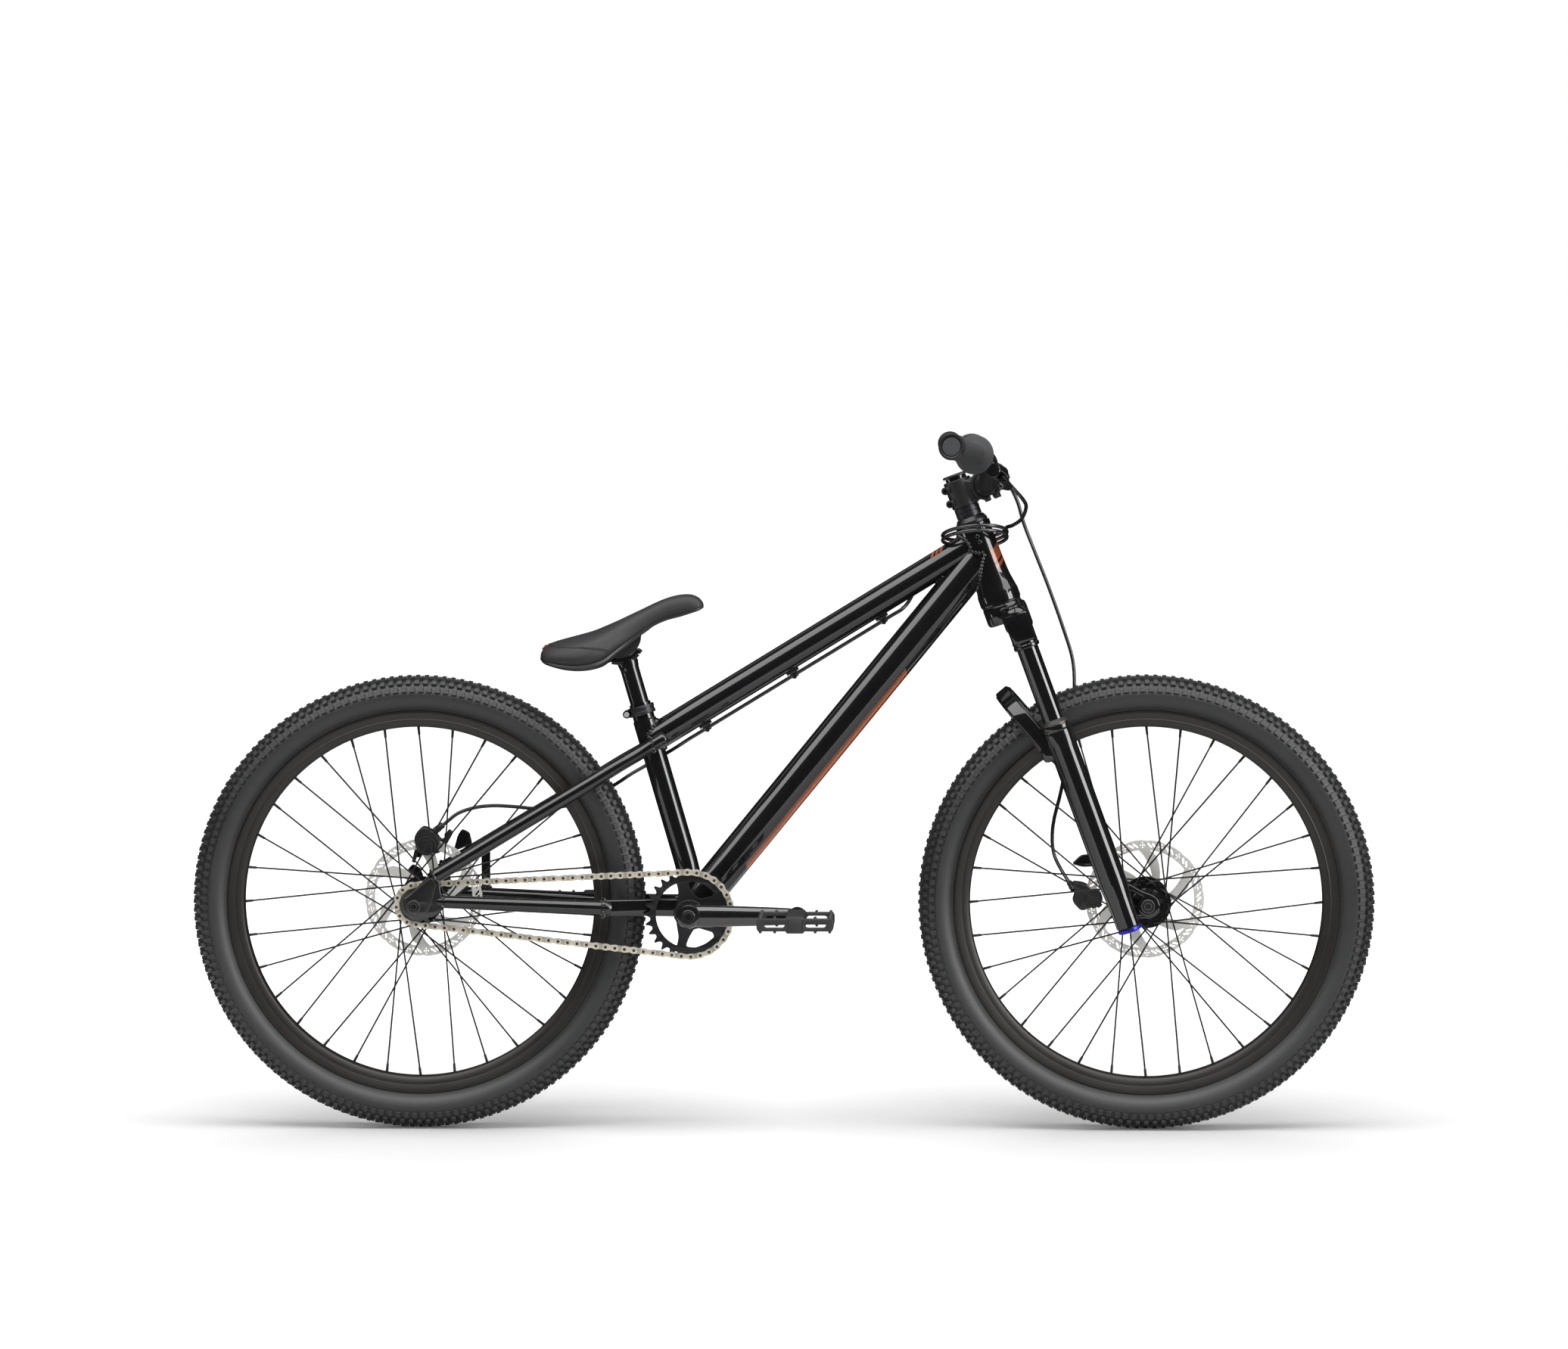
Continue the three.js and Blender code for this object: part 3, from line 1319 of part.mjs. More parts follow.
// The chain's pitch line: two arcs and the straight runs between them
function chainStations() {
  const big = pitchRadius(ringTeeth);
  const small = pitchRadius(cogTeeth);
  const run = bracketAt.clone().sub(rearAxleAt);
  const distance = run.length();
  const tilt = Math.atan2(run.z, run.x);
  const lean = Math.asin((big - small) / distance);
  const straight = Math.sqrt(distance ** 2 - (big - small) ** 2);
  const bigArc = big * (Math.PI + 2 * lean);
  const smallArc = small * (Math.PI - 2 * lean);
  const length = 2 * straight + bigArc + smallArc;
  const links = 2 * Math.round(length / chainPitch / 2);
  const stations = [];
  for (let i = 0; i < links; i += 1) {
    let s = (length * i) / links;
    let place;
    let angle;
    let onStraight = false;
    let gap = 0;
    if (s < bigArc) {
      angle = tilt + Math.PI / 2 + lean - s / big;
      place = [bracketAt.x + big * Math.cos(angle), bracketAt.z + big * Math.sin(angle)];
    } else if (s < bigArc + straight) {
      s -= bigArc;
      angle = tilt - Math.PI / 2 - lean;
      const way = angle - Math.PI / 2;
      place = [
        bracketAt.x + big * Math.cos(angle) + s * Math.cos(way),
        bracketAt.z + big * Math.sin(angle) + s * Math.sin(way),
      ];
      onStraight = true;
      gap = Math.min(s, straight - s);
    } else if (s < bigArc + straight + smallArc) {
      s -= bigArc + straight;
      angle = tilt - Math.PI / 2 - lean - s / small;
      place = [rearAxleAt.x + small * Math.cos(angle), rearAxleAt.z + small * Math.sin(angle)];
    } else {
      s -= bigArc + straight + smallArc;
      angle = tilt + Math.PI / 2 + lean;
      const way = angle - Math.PI / 2;
      place = [
        rearAxleAt.x + small * Math.cos(angle) + s * Math.cos(way),
        rearAxleAt.z + small * Math.sin(angle) + s * Math.sin(way),
      ];
      onStraight = true;
      gap = Math.min(s, straight - s);
    }
    stations.push({ place, angle, onStraight, gap });
  }
  return stations;
}

function makeChain() {
  const stations = chainStations();
  const corners = stations.filter(({ onStraight, gap }) => !onStraight || gap < chainPitch / 2);
  const edge = (way) => corners.map(({ place, angle }) => {
    const half = chain.plateHalfHeight * way;
    return [place[0] + half * Math.cos(angle), place[1] + half * Math.sin(angle)];
  });
  const pieces = [];
  const plateOffset = tooth.thickness / 2 + clearance;
  for (const sign of [-1, 1]) {
    const inner = sign * plateOffset;
    const outer = inner + sign * chain.plateThickness;
    const rings = [[1, inner], [1, outer], [-1, outer], [-1, inner]].map(([way, y]) =>
      edge(way).map(([x, z]) => new THREE.Vector3(x, y - chainline, z)));
    pieces.push(closedLoft(rings));
  }
  const pins = stations.filter(({ onStraight, gap }) => onStraight && gap > chain.toothRoom);
  const half = plateOffset + chain.plateThickness / 2;
  for (const { place } of pins.filter((_, i) => i % chain.pinStepCount === 0)) {
    const centre = new THREE.Vector3(place[0], 0, place[1]);
    pieces.push(crossbar(centre, -chainline - half, half - chainline, chain.pinRadius, chain.pinSides));
  }
  add('chain', joined(...pieces), 'chain');
}

// Cranks: tubular arms, with the spindle fixed in the left one
const crank = {
  bossRadius: 12,
  bossOuter: 76,
  bossInner: cupOuter + clearance * 2,
  armY: 65,
  armEndY: 71,
  armRadius: 14,
  armEndRadius: 11,
  armFlatShare: 0.62,
  eyeRadius: 12.5,
  eyeHalf: 9,
};
const pedalAxle = { radius: 5, threadRadius: 7, collar: 3 };

function makeCrank(name, sign) {
  const along = -sign;
  const end = offset(bracketAt, [forward, along * crankLength]);
  const boss = crossbar(bracketAt, sign * crank.bossInner, sign * crank.bossOuter, crank.bossRadius);
  const inner = sign * (crank.armEndY - crank.eyeHalf);
  const outer = sign * (crank.armEndY + crank.eyeHalf);
  const eye = crossbar(end, inner, outer, crank.eyeRadius);
  const section = (x, y, radius) => {
    const ring = [];
    for (let i = 0; i < smallSides; i += 1) {
      const angle = (i / smallSides) * Math.PI * 2;
      const across = radius * crank.armFlatShare * Math.sin(angle);
      ring.push(new THREE.Vector3(x, sign * (y + across), bracketAt.z + radius * Math.cos(angle)));
    }
    return ring;
  };
  const arm = loft([
    section(bracketAt.x, crank.armY, crank.armRadius),
    section(end.x, crank.armEndY, crank.armEndRadius),
  ]);
  const threadBore = boreRound(pedalAxle.threadRadius);
  const pedalHole = crossbar(end, inner - sign * overrun, outer + sign * overrun, threadBore);
  let body = cut(joined(boss, eye, arm), pedalHole);
  const reach = crank.bossOuter;
  if (sign > 0) {
    body = joined(body, crossbar(bracketAt, -reach, crank.bossOuter, bracket.spindleRadius));
  } else {
    const spindleBore = boreRound(bracket.spindleRadius);
    const hole = crossbar(bracketAt, -reach - overrun, overrun - crank.bossInner, spindleBore);
    body = cut(body, hole);
  }
  add(name, body, 'blackSteel');
}

// Pedals: a nylon platform with grip slots, turning on its own axle
const pedal = {
  length: 101,
  width: 94,
  height: 17,
  hubHeight: 23,
  hubLength: 25,
  rail: 9,
  slotLength: 27,
  slotHeight: 7,
  chamfer: 9,
  inner: 87,
};

function makePedal(side, sign) {
  const end = offset(bracketAt, [forward, -sign * crankLength]);
  const middleY = sign * (pedal.inner + pedal.width / 2);
  const middle = offset(end, [left, middleY]);
  const half = pedal.length / 2;
  const wide = pedal.width / 2;
  const { chamfer, rail, hubLength } = pedal;
  const plan = [
    [-half + chamfer, -wide], [half - chamfer, -wide], [half, -wide + chamfer], [half, wide - chamfer],
    [half - chamfer, wide], [-half + chamfer, wide], [-half, wide - chamfer], [-half, -wide + chamfer],
  ];
  const frame = new THREE.ExtrudeGeometry(shapeOf(plan), { depth: pedal.height, bevelEnabled: false });
  frame.translate(middle.x, middle.y, middle.z - pedal.height / 2);
  const windowLength = half - rail - hubLength / 2;
  const tools = [];
  for (const way of [-1, 1]) {
    const place = offset(middle, [forward, (way * (hubLength + windowLength)) / 2]);
    tools.push(block(place, [windowLength, pedal.width - rail * 2, pedal.height * 2]));
    tools.push(block(place, [pedal.slotLength, pedal.width * 2, pedal.slotHeight]));
  }
  const hub = block(middle, [hubLength, pedal.width, pedal.hubHeight]);
  const boreEnd = sign * (pedal.inner + pedal.width - rail / 2);
  const bore = crossbar(end, sign * (pedal.inner - overrun), boreEnd, boreRound(pedalAxle.radius));
  add(`pedal_${side}`, cut(joined(cut(solid(frame), ...tools), hub), bore), 'nylon');
  const inner = crank.armEndY - crank.eyeHalf;
  const outer = crank.armEndY + crank.eyeHalf;
  const profile = [
    [0, inner],
    [pedalAxle.threadRadius, inner],
    [pedalAxle.threadRadius, outer + pedalAxle.collar],
    [pedalAxle.radius, outer + pedalAxle.collar],
    [pedalAxle.radius, pedal.inner + pedal.width - rail],
    [0, pedal.inner + pedal.width - rail],
  ];
  const axis = left.clone().multiplyScalar(sign);
  add(`pedal_axle_${side}`, turned(profile, end, axis, smallSides), 'blackSteel');
}

// Cockpit: spacers, stem with faceplate, bar, grips and brake levers
const stem = {
  footRise: 24,
  height: 35,
  barRise: 29,
  reach: 35,
  steererRadius: 18.5,
  clampRadius: 21,
  clampHalf: 22,
  neckHalf: 16,
  pinchRadius: 5,
  pinchHalf: 15,
  pinchBehind: 20,
  split: 3,
};
const spacerRadius = 17;
const topCapHeight = 3.5;
const barClampRadius = 15.9;
const barRadius = 11.1;
const stemFootHeight = headTubeHeadHeight + stem.footRise;
const stemTopHeight = stemFootHeight + stem.height;
const stemCentre = (() => {
  const height = stemFootHeight + stem.barRise - stem.reach * Math.sin(headLean);
  return offset(steerAt(height), [steerAhead, stem.reach]);
})();

function makeStem() {
  const foot = steerAt(stemFootHeight);
  const top = steerAt(stemTopHeight);
  const clamp = bar(foot, top, stem.steererRadius);
  const neckHeight = top.clone().sub(foot).length() - overrun;
  const neck = block(
    offset(foot, [steerUp, neckHeight / 2 + overrun / 2], [steerAhead, stem.reach / 2]),
    [stem.reach, stem.neckHalf * 2, neckHeight],
    [steerAhead, left, steerUp],
  );
  const ring = crossbar(stemCentre, -stem.clampHalf, stem.clampHalf, stem.clampRadius, fineSides);
  const pinches = [1 / 4, 3 / 4].map((share) => {
    const place = offset(foot.clone().lerp(top, share), [steerAhead, -stem.pinchBehind]);
    return crossbar(place, -stem.pinchHalf, stem.pinchHalf, stem.pinchRadius, pinSides);
  });
  const steererHole = bar(
    offset(foot, [steerUp, -overrun]),
    offset(top, [steerUp, overrun]),
    steererRadius + clearance,
  );
  const barHole = crossbar(
    stemCentre,
    -stem.clampHalf - overrun,
    stem.clampHalf + overrun,
    boreRound(barClampRadius, fineSides),
    fineSides,
  );
  const size = stem.clampRadius * 2;
  const front = block(
    offset(stemCentre, [steerAhead, stem.split + size / 2]),
    [size, size * 2, size * 2],
    [steerAhead, left, steerUp],
  );
  const plate = block(
    offset(stemCentre, [steerAhead, stem.split + clearance + size / 2]),
    [size, size * 2, size * 2],
    [steerAhead, left, steerUp],
  );
  add('stem', cut(joined(clamp, neck, ring, ...pinches), steererHole, barHole, front), 'anodised');
  add('stem_faceplate', cut(ring, barHole).intersect(plate), 'anodised');

  const spacerFoot = headTube.length + headset.coverHeight + clearance;
  const spacerTop = foot.clone().sub(headFoot).length() - clearance;
  const spacer = [
    [steererRadius + clearance, spacerFoot],
    [spacerRadius, spacerFoot],
    [spacerRadius, spacerTop],
    [steererRadius + clearance, spacerTop],
  ];
  add('steerer_spacer', turnedRing(spacer, headFoot, steerUp, tubeSides), 'anodised');
  const capFoot = offset(steerAt(stemTopHeight + fork.steererAbove), [steerUp, clearance]);
  add('top_cap', bar(capFoot, offset(capFoot, [steerUp, topCapHeight]), spacerRadius), 'anodised');
}

// Handlebar: corners of its centre line, ahead of and above the clamp, across the width
const barFoot = { y: 58, ahead: 0, above: 0 };
const barKnee = { y: 140, ahead: 5, above: 33 };
const barEnd = { y: 366, ahead: -47, above: 52.4 };
const barBend = { reach: 17, steps: 3 };
const barTaper = { thickEnd: 30, thinStart: 38 };

function barPoint(place, sign) {
  return offset(stemCentre, [forward, place.ahead], [left, sign * place.y], [upward, place.above]);
}

// Point on the straight outer part of the bar at a given place across the width
function gripPoint(y, sign) {
  const share = (y - barKnee.y) / (barEnd.y - barKnee.y);
  return barPoint(barKnee, sign).lerp(barPoint(barEnd, sign), share);
}

// Rounded corner: points from before a corner to after it
function roundedCorner(before, corner, after, { reach, steps }) {
  const from = offset(corner, [before.clone().sub(corner).normalize(), reach]);
  const to = offset(corner, [after.clone().sub(corner).normalize(), reach]);
  return new THREE.QuadraticBezierCurve3(from, corner, to).getPoints(steps);
}

function makeBar() {
  const half = (sign) => {
    const [foot, knee, end] = [barFoot, barKnee, barEnd].map((place) => barPoint(place, sign));
    const thick = offset(stemCentre, [left, sign * barTaper.thickEnd]);
    const thin = offset(stemCentre, [left, sign * barTaper.thinStart]);
    return [
      thick,
      thin,
      ...roundedCorner(stemCentre, foot, knee, barBend),
      ...roundedCorner(foot, knee, end, barBend),
      end,
    ];
  };
  const points = [...half(-1).reverse(), ...half(1)];
  const isThick = (point) => Math.abs(point.y) < (barTaper.thickEnd + barTaper.thinStart) / 2;
  const radii = points.map((point) => (isThick(point) ? barClampRadius : barRadius));
  add('handlebar', tubeThrough(points, radii, smallSides), 'anodised');
}

const grip = { inner: 236, outer: 369, radius: 15.6, flangeRadius: 25.5, flangeWidth: 4, endWidth: 4 };
const gripEndRadius = 16.4;

function makeGrip(side, sign) {
  const from = gripPoint(grip.inner, sign);
  const to = gripPoint(grip.outer, sign);
  const length = to.clone().sub(from).length();
  const bore = boreRound(barRadius, smallSides);
  const boreEnd = gripPoint(barEnd.y, sign).sub(from).length() + clearance;
  const profile = [
    [bore, 0],
    [grip.flangeRadius, 0],
    [grip.flangeRadius, grip.flangeWidth],
    [grip.radius + grip.flangeWidth, grip.flangeWidth],
    [grip.radius, grip.flangeWidth * 2],
    [grip.radius, length - grip.endWidth],
    [gripEndRadius, length - grip.endWidth],
    [gripEndRadius, length],
    [0, length],
    [0, boreEnd],
    [bore, boreEnd],
  ];
  add(`grip_${side}`, turned([...profile, profile[0]], from, to.sub(from), smallSides), 'rubber');
}

// Brake hoses: points chosen along each route, with the loops round the head tube worked out
function fromBarClamp(points) {
  return points.map(([x, y, z]) => [stemCentre.x + x, stemCentre.y + y, stemCentre.z + z]);
}

const hose = {
  radius: hoseRadius,
  sideCount: 6,
  step: 33,
  leastBow: 0.12,
  bossRadius: 4.4,
  bossLength: 15,
};
const coil = {
  drop: 8.5,
  radius: 43,
  pitch: 6.4,
  riseAhead: 4,
  riseNear: 12,
  turns: 2 + 1 / 3,
  stepsPerTurn: 18,
};
const rearHoseStart = [
  [25.83, -156, 6], [29.03, -152.7, 2.2], [37.83, -143, -7.5], [47.83, -112, -19], [52.33, -72, -30],
  [46.33, -38, -46.5], [34.83, -17, -55],
];
const rearHoseLead = fromBarClamp(rearHoseStart);
const rearHoseTail = [
  [222, 40, 773], [206, 31, 762], [191, 24.5, 746], [180, 20, 728], [171, 9, 710],
];
const rearHoseEnd = [
  [-137, 5, 517], [-150, 15, 508.5], [-166, 21, 499], [-184, 23.5, 488], [-203, 26, 477],
  [-224.4, 32, 462.7],
  [-262, 50, 441], [-300, 63, 429], [-335.7, 67, 425.9], [-366, 67, 428.5], [-395.5, 65, 430],
  [-420, 62, 427.5], [-443.1, 60, 419.6], [-457, 58.5, 408.8], [-462, 58, 405],
];
const frontHoseStart = [
  [25.83, 156, 6], [29.03, 152.7, 2.2], [36.83, 148, -9], [45.83, 149, -29], [52.33, 150, -52.6],
  [68.53, 138, -95.2],
];
const frontHoseFoot = [
  [360.6, 128, 726], [381, 115, 668], [393.3, 108, 626.7], [395.5, 98, 591.5],
  [392, 92, 545], [378.6, 88, 454.9], [366, 84, 400], [367, 77, 365], [378, 62, 341.5], [387, 52, 328],
];
const frontHoseRoute = [...fromBarClamp(frontHoseStart), ...frontHoseFoot];

function routePoints(points) {
  return points.map(([x, y, z]) => new THREE.Vector3(x, y, z));
}

// Loops of the rear hose: they start at the front and go down round the head tube
function coilPoints() {
  const centre = steerAt(headTubeHeadHeight - coil.drop);
  const points = [];
  const count = Math.round(coil.turns * coil.stepsPerTurn);
  for (let i = 0; i <= count; i += 1) {
    const angle = (i / coil.stepsPerTurn) * Math.PI * 2;
    const rise = coil.riseAhead * Math.cos(angle) - coil.riseNear * Math.sin(angle);
    const drop = (coil.pitch * i) / coil.stepsPerTurn;
    points.push(offset(
      centre,
      [forward, coil.radius * Math.cos(angle)],
      [left, coil.radius * Math.sin(angle)],
      [upward, rise - drop],
    ));
  }
  return points;
}

// Points along a smooth line through a route, about a hose step apart where it bends
function smoothed(route) {
  const curve = new THREE.CatmullRomCurve3(route, false, 'centripetal');
  const points = [route[0].clone()];
  for (let i = 0; i < route.length - 1; i += 1) {
    const middle = curve.getPoint((i + 1 / 2) / (route.length - 1));
    const bow = middle.distanceTo(route[i].clone().lerp(route[i + 1], 1 / 2));
    const length = route[i].distanceTo(route[i + 1]);
    const steps = bow < hose.leastBow ? 1 : Math.max(1, Math.round(length / hose.step));
    for (let k = 1; k <= steps; k += 1) {
      points.push(curve.getPoint((i + k / steps) / (route.length - 1)));
    }
  }
  return points;
}

function underTopTube() {
  const run = headPointTop.clone().sub(seatPointTop).length();
  const [first, , last] = guide.shares.map((share) => run * share);
  const lap = guide.length;
  const places = [first + lap * 2, first + lap, last - lap, last - lap * 2];
  return places.map((along) => offset(seatPointTop, [topAlong, along], [topBelow, hoseBelowTopTube]));
}

function rearHosePoints() {
  return smoothed([
    ...routePoints(rearHoseLead),
    ...coilPoints(),
    ...routePoints(rearHoseTail),
    ...underTopTube(),
    ...routePoints(rearHoseEnd),
  ]);
}

// Least distance between hose walls a good part of a loop apart
function leastGap(points, radius, apart) {
  let least = Infinity;
  const line = new THREE.Line3();
  const near = new THREE.Vector3();
  for (let i = 0; i < points.length; i += 1) {
    for (let k = i + apart; k < points.length - 1; k += 1) {
      line.set(points[k], points[k + 1]).closestPointToPoint(points[i], true, near);
      least = Math.min(least, near.distanceTo(points[i]) - radius * 2);
    }
  }
  return least;
}

function makeHoses() {
  const rear = rearHosePoints();
  const gap = leastGap(rear, hose.radius, coil.stepsPerTurn / 2);
  console.log(`Least gap of the wound hose to itself: ${gap.toFixed(2)} mm`);
  add('rear_brake_hose', tubeThrough(rear, hose.radius, hose.sideCount), 'rubber');
  const front = smoothed(routePoints(frontHoseRoute));
  add('front_brake_hose', tubeThrough(front, hose.radius, hose.sideCount), 'rubber');
}

// Socket that a hose comes out of, square to the hose's end
function hoseBoss(end, next) {
  const way = end.clone().sub(next).normalize();
  return bar(
    offset(end, [way, clearance]),
    offset(end, [way, clearance + hose.bossLength]),
    hose.bossRadius,
    smallSides,
  );
}

function leverHoseBoss(sign) {
  const route = routePoints(sign < 0 ? rearHoseLead : frontHoseRoute);
  return hoseBoss(route[0], route[1]);
}

// Brake lever: the clamp, cylinder and reservoir in one housing, and the blade that turns in it
const lever = {
  clampY: 206,
  clampHalf: 6.5,
  clampWall: 4.5,
  drop: THREE.MathUtils.degToRad(43),
  bodyInner: 158,
  bodyOuter: 214,
  bodyAhead: 27,
  bodyRadius: 9.5,
  forkLength: 17,
  forkHeight: 13,
  pivotAhead: 40,
  pivotY: 192,
  bladeHalf: 4,
  bladeRoot: 7,
  bladeReach: 104,
  bladeAhead: 29,
};
// Blade outline: shares [outward along the bar, ahead of the pivot]
const bladeShares = [
  [-0.0673, -0.1724], [0.0385, -0.2069], [0.2308, 0.2759], [0.5769, 0.5172], [0.9423, 0.6552],
  [1, 0.7586], [1, 0.9655], [0.9327, 1], [0.5577, 0.8966], [0.2115, 0.7241], [0.0385, 0.2759],
  [-0.0673, 0.2069],
];

function leverWays(sign) {
  const outward = gripPoint(barEnd.y, sign).sub(gripPoint(barKnee.y, sign)).normalize();
  const slope = new THREE.Vector3(Math.cos(lever.drop), 0, -Math.sin(lever.drop));
  const ahead = slope.addScaledVector(outward, -slope.dot(outward)).normalize();
  const normal = new THREE.Vector3().crossVectors(outward, ahead);
  return { outward, ahead, normal };
}

function leverPivot(sign) {
  const { ahead } = leverWays(sign);
  return offset(gripPoint(lever.pivotY, sign), [ahead, lever.pivotAhead]);
}

function makeLever(side, sign) {
  const { outward, ahead, normal } = leverWays(sign);
  const onBar = gripPoint(lever.clampY, sign);
  const clampFrom = offset(onBar, [outward, -lever.clampHalf]);
  const clampTo = offset(onBar, [outward, lever.clampHalf]);
  const clamp = bar(clampFrom, clampTo, barRadius + clearance + lever.clampWall, tubeSides);
  const bodyFrom = offset(gripPoint(lever.bodyInner, sign), [ahead, lever.bodyAhead]);
  const bodyTo = offset(gripPoint(lever.bodyOuter, sign), [ahead, lever.bodyAhead]);
  const cylinder = bar(bodyFrom, bodyTo, lever.bodyRadius, smallSides);
  const neck = block(
    offset(onBar, [ahead, lever.bodyAhead / 2 + lever.clampWall]),
    [lever.clampHalf * 2, lever.bodyAhead - lever.clampWall, lever.bodyRadius * 2],
    [outward, ahead, normal],
  );
  const pivot = leverPivot(sign);
  const ears = block(
    offset(pivot, [ahead, -lever.forkLength / 4]),
    [lever.forkLength, lever.forkLength, lever.forkHeight],
    [outward, ahead, normal],
  );
  const gap = block(
    offset(pivot, [ahead, lever.forkLength / 2 - lever.bladeRoot]),
    [lever.forkLength * 3, lever.forkLength * 2 - clearance, (lever.bladeHalf + clearance) * 2],
    [outward, ahead, normal],
  );
  const barFrom = gripPoint(lever.bodyInner, sign);
  const bore = boreRound(barRadius, smallSides);
  const barWay = bar(barFrom, gripPoint(grip.inner, sign), bore, smallSides);
  const housing = cut(joined(clamp, cylinder, neck, ears, leverHoseBoss(sign)), gap, barWay);
  add(`lever_clamp_${side}`, largest(housing), 'nylon');

  const shape = shapeOf(fromShares(bladeShares, sign * lever.bladeReach, lever.bladeAhead));
  const geometry = new THREE.ExtrudeGeometry(shape, { depth: lever.bladeHalf * 2, bevelEnabled: false });
  const across = outward.clone().multiplyScalar(sign);
  const start = new THREE.Vector3().crossVectors(across, ahead);
  geometry.applyMatrix4(drawn(offset(pivot, [start, -lever.bladeHalf]), across, ahead));
  add(`lever_blade_${side}`, solid(geometry), 'blackSteel');
}

// Disc brake callipers, in side view from the axle: body outline and mounting ears, as shares
const calliper = {
  rear: {
    hub: hubs.rear,
    reach: 40,
    rise: 98,
    outlineShares: [
      [-0.3, 0.8776], [-0.025, 1], [0.375, 0.9286], [0.625, 0.7857], [0.85, 0.949], [1, 0.898],
      [0.75, 0.7143], [0.55, 0.6122], [0.1, 0.5816], [-0.175, 0.6429], [-0.325, 0.4694],
      [-0.425, 0.4898], [-0.3, 0.6939],
    ],
    inner: 40,
    outer: 67,
  },
  front: {
    hub: hubs.front,
    reach: 98,
    rise: 24,
    outlineShares: [
      [-1, 1], [-0.8265, 0.9167], [-0.6735, 0.4167], [-0.6122, -0.25], [-0.5714, -0.375],
      [-0.6327, -0.5833], [-0.6735, -0.4167], [-0.8776, -0.6667], [-1, -0.125], [-0.9592, 0.4167],
    ],
    inner: 27,
    outer: 56,
  },
};
const padSlot = 2.2;

function makeCalliper(name, { hub, outlineShares, reach, rise, inner, outer }) {
  const points = besideAxle(hub.at, fromShares(outlineShares, reach, rise));
  const discY = hub.discSeat + clearance + disc.thickness / 2;
  const route = routePoints(hub === hubs.rear ? rearHoseEnd : frontHoseRoute).reverse();
  const body = joined(sidePlate(points, inner, outer), hoseBoss(route[0], route[1]));
  const slot = crossbar(hub.at, discY - padSlot, discY + padSlot, disc.radius + padSlot, wheelSegments);
  const tools = [slot];
  if (hub === hubs.rear) {
    tools.push(seatstayBody(1, clearance));
    tools.push(lugBody(upperLug, hub, calliperLug.inner, calliperLug.thickness));
    tools.push(lugBody(lowerLug, hub, dropout.inner, dropout.thickness));
    tools.push(dropoutBody(1, clearance));
  } else {
    const leg = legAt(legFootHeight, 1);
    tools.push(bar(leg, legAt(sealHeight, 1), fork.lowerLegRadius + clearance));
    for (const lug of frontLugOutlines) {
      tools.push(lugBody(lug, hub, frontLugs.inner, frontLugs.thickness));
    }
  }
  add(name, largest(cut(body, ...tools)), 'nylon');
}

function lugBody(lug, hub, inner, thickness) {
  return sidePlate(besideAxle(hub.at, lug), inner, inner + thickness, clearance);
}

makeHeadTube();
makeHeadset();
makeBracket();
makeMainTubes();
makeStays();
makeRearAxle();
makeCollar();
makeSeatpost();
makeSaddle();
makeCrown();
makeLowers();
makeFrontAxle();
makeKnob();
makeWheels();
makeChainring();
makeSprocket();
makeChain();
for (const { name, sign } of sides) {
  makeCrank(`crank_${name}`, sign);
  makePedal(name, sign);
  makeGrip(name, sign);
  makeLever(name, sign);
}
makeStem();
makeBar();
makeHoses();
makeCalliper('rear_calliper', calliper.rear);
makeCalliper('front_calliper', calliper.front);

export default bicycle;
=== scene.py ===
# A 24 inch dirt jump bicycle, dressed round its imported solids.
# Metres. +X is forward, +Y is the rider's left, +Z is up, and the ground is at Z zero.
from math import asin, atan2, copysign, cos, pi, radians, sin, sqrt, tan, tau

import bmesh
import bpy
from mathutils import Matrix, Vector
from mathutils.bvhtree import BVHTree
from mathutils.geometry import interpolate_bezier


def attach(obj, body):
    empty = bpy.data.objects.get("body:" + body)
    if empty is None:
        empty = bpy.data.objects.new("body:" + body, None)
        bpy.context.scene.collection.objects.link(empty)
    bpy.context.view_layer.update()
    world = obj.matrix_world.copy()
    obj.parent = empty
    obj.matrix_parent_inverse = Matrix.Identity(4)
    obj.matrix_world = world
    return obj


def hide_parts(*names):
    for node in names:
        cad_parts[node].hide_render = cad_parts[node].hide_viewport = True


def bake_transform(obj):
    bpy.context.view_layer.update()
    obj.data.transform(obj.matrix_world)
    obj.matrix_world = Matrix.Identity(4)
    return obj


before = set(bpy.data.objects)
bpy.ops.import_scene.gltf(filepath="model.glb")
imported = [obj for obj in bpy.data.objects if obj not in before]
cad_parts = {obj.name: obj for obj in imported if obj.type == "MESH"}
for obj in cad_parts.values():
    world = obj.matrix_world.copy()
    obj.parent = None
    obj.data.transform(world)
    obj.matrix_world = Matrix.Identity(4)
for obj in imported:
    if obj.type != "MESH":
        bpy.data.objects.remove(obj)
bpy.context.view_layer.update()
scene = bpy.context.scene

# Camera
# A long lens about level with the handlebar, looking slightly down and nearly square to the
# drive side, as catalogue pictures of bicycles are taken.
lens_length = 111.1
sensor_width = 36
camera_turn = radians(1.77)
camera_tilt = radians(86.93)
camera_roll = radians(-0.123)
camera_at = Vector((0.2037, -6.4841, 0.96))

camera = bpy.data.objects.new("camera", bpy.data.cameras.new("camera"))
camera.data.lens = lens_length
camera.data.sensor_width = sensor_width
camera_stand = Matrix.Rotation(camera_turn, 4, "Z") @ Matrix.Rotation(camera_tilt, 4, "X")
camera.matrix_world = Matrix.Translation(camera_at) @ camera_stand @ Matrix.Rotation(camera_roll, 4, "Z")
scene.collection.objects.link(camera)
scene.camera = camera

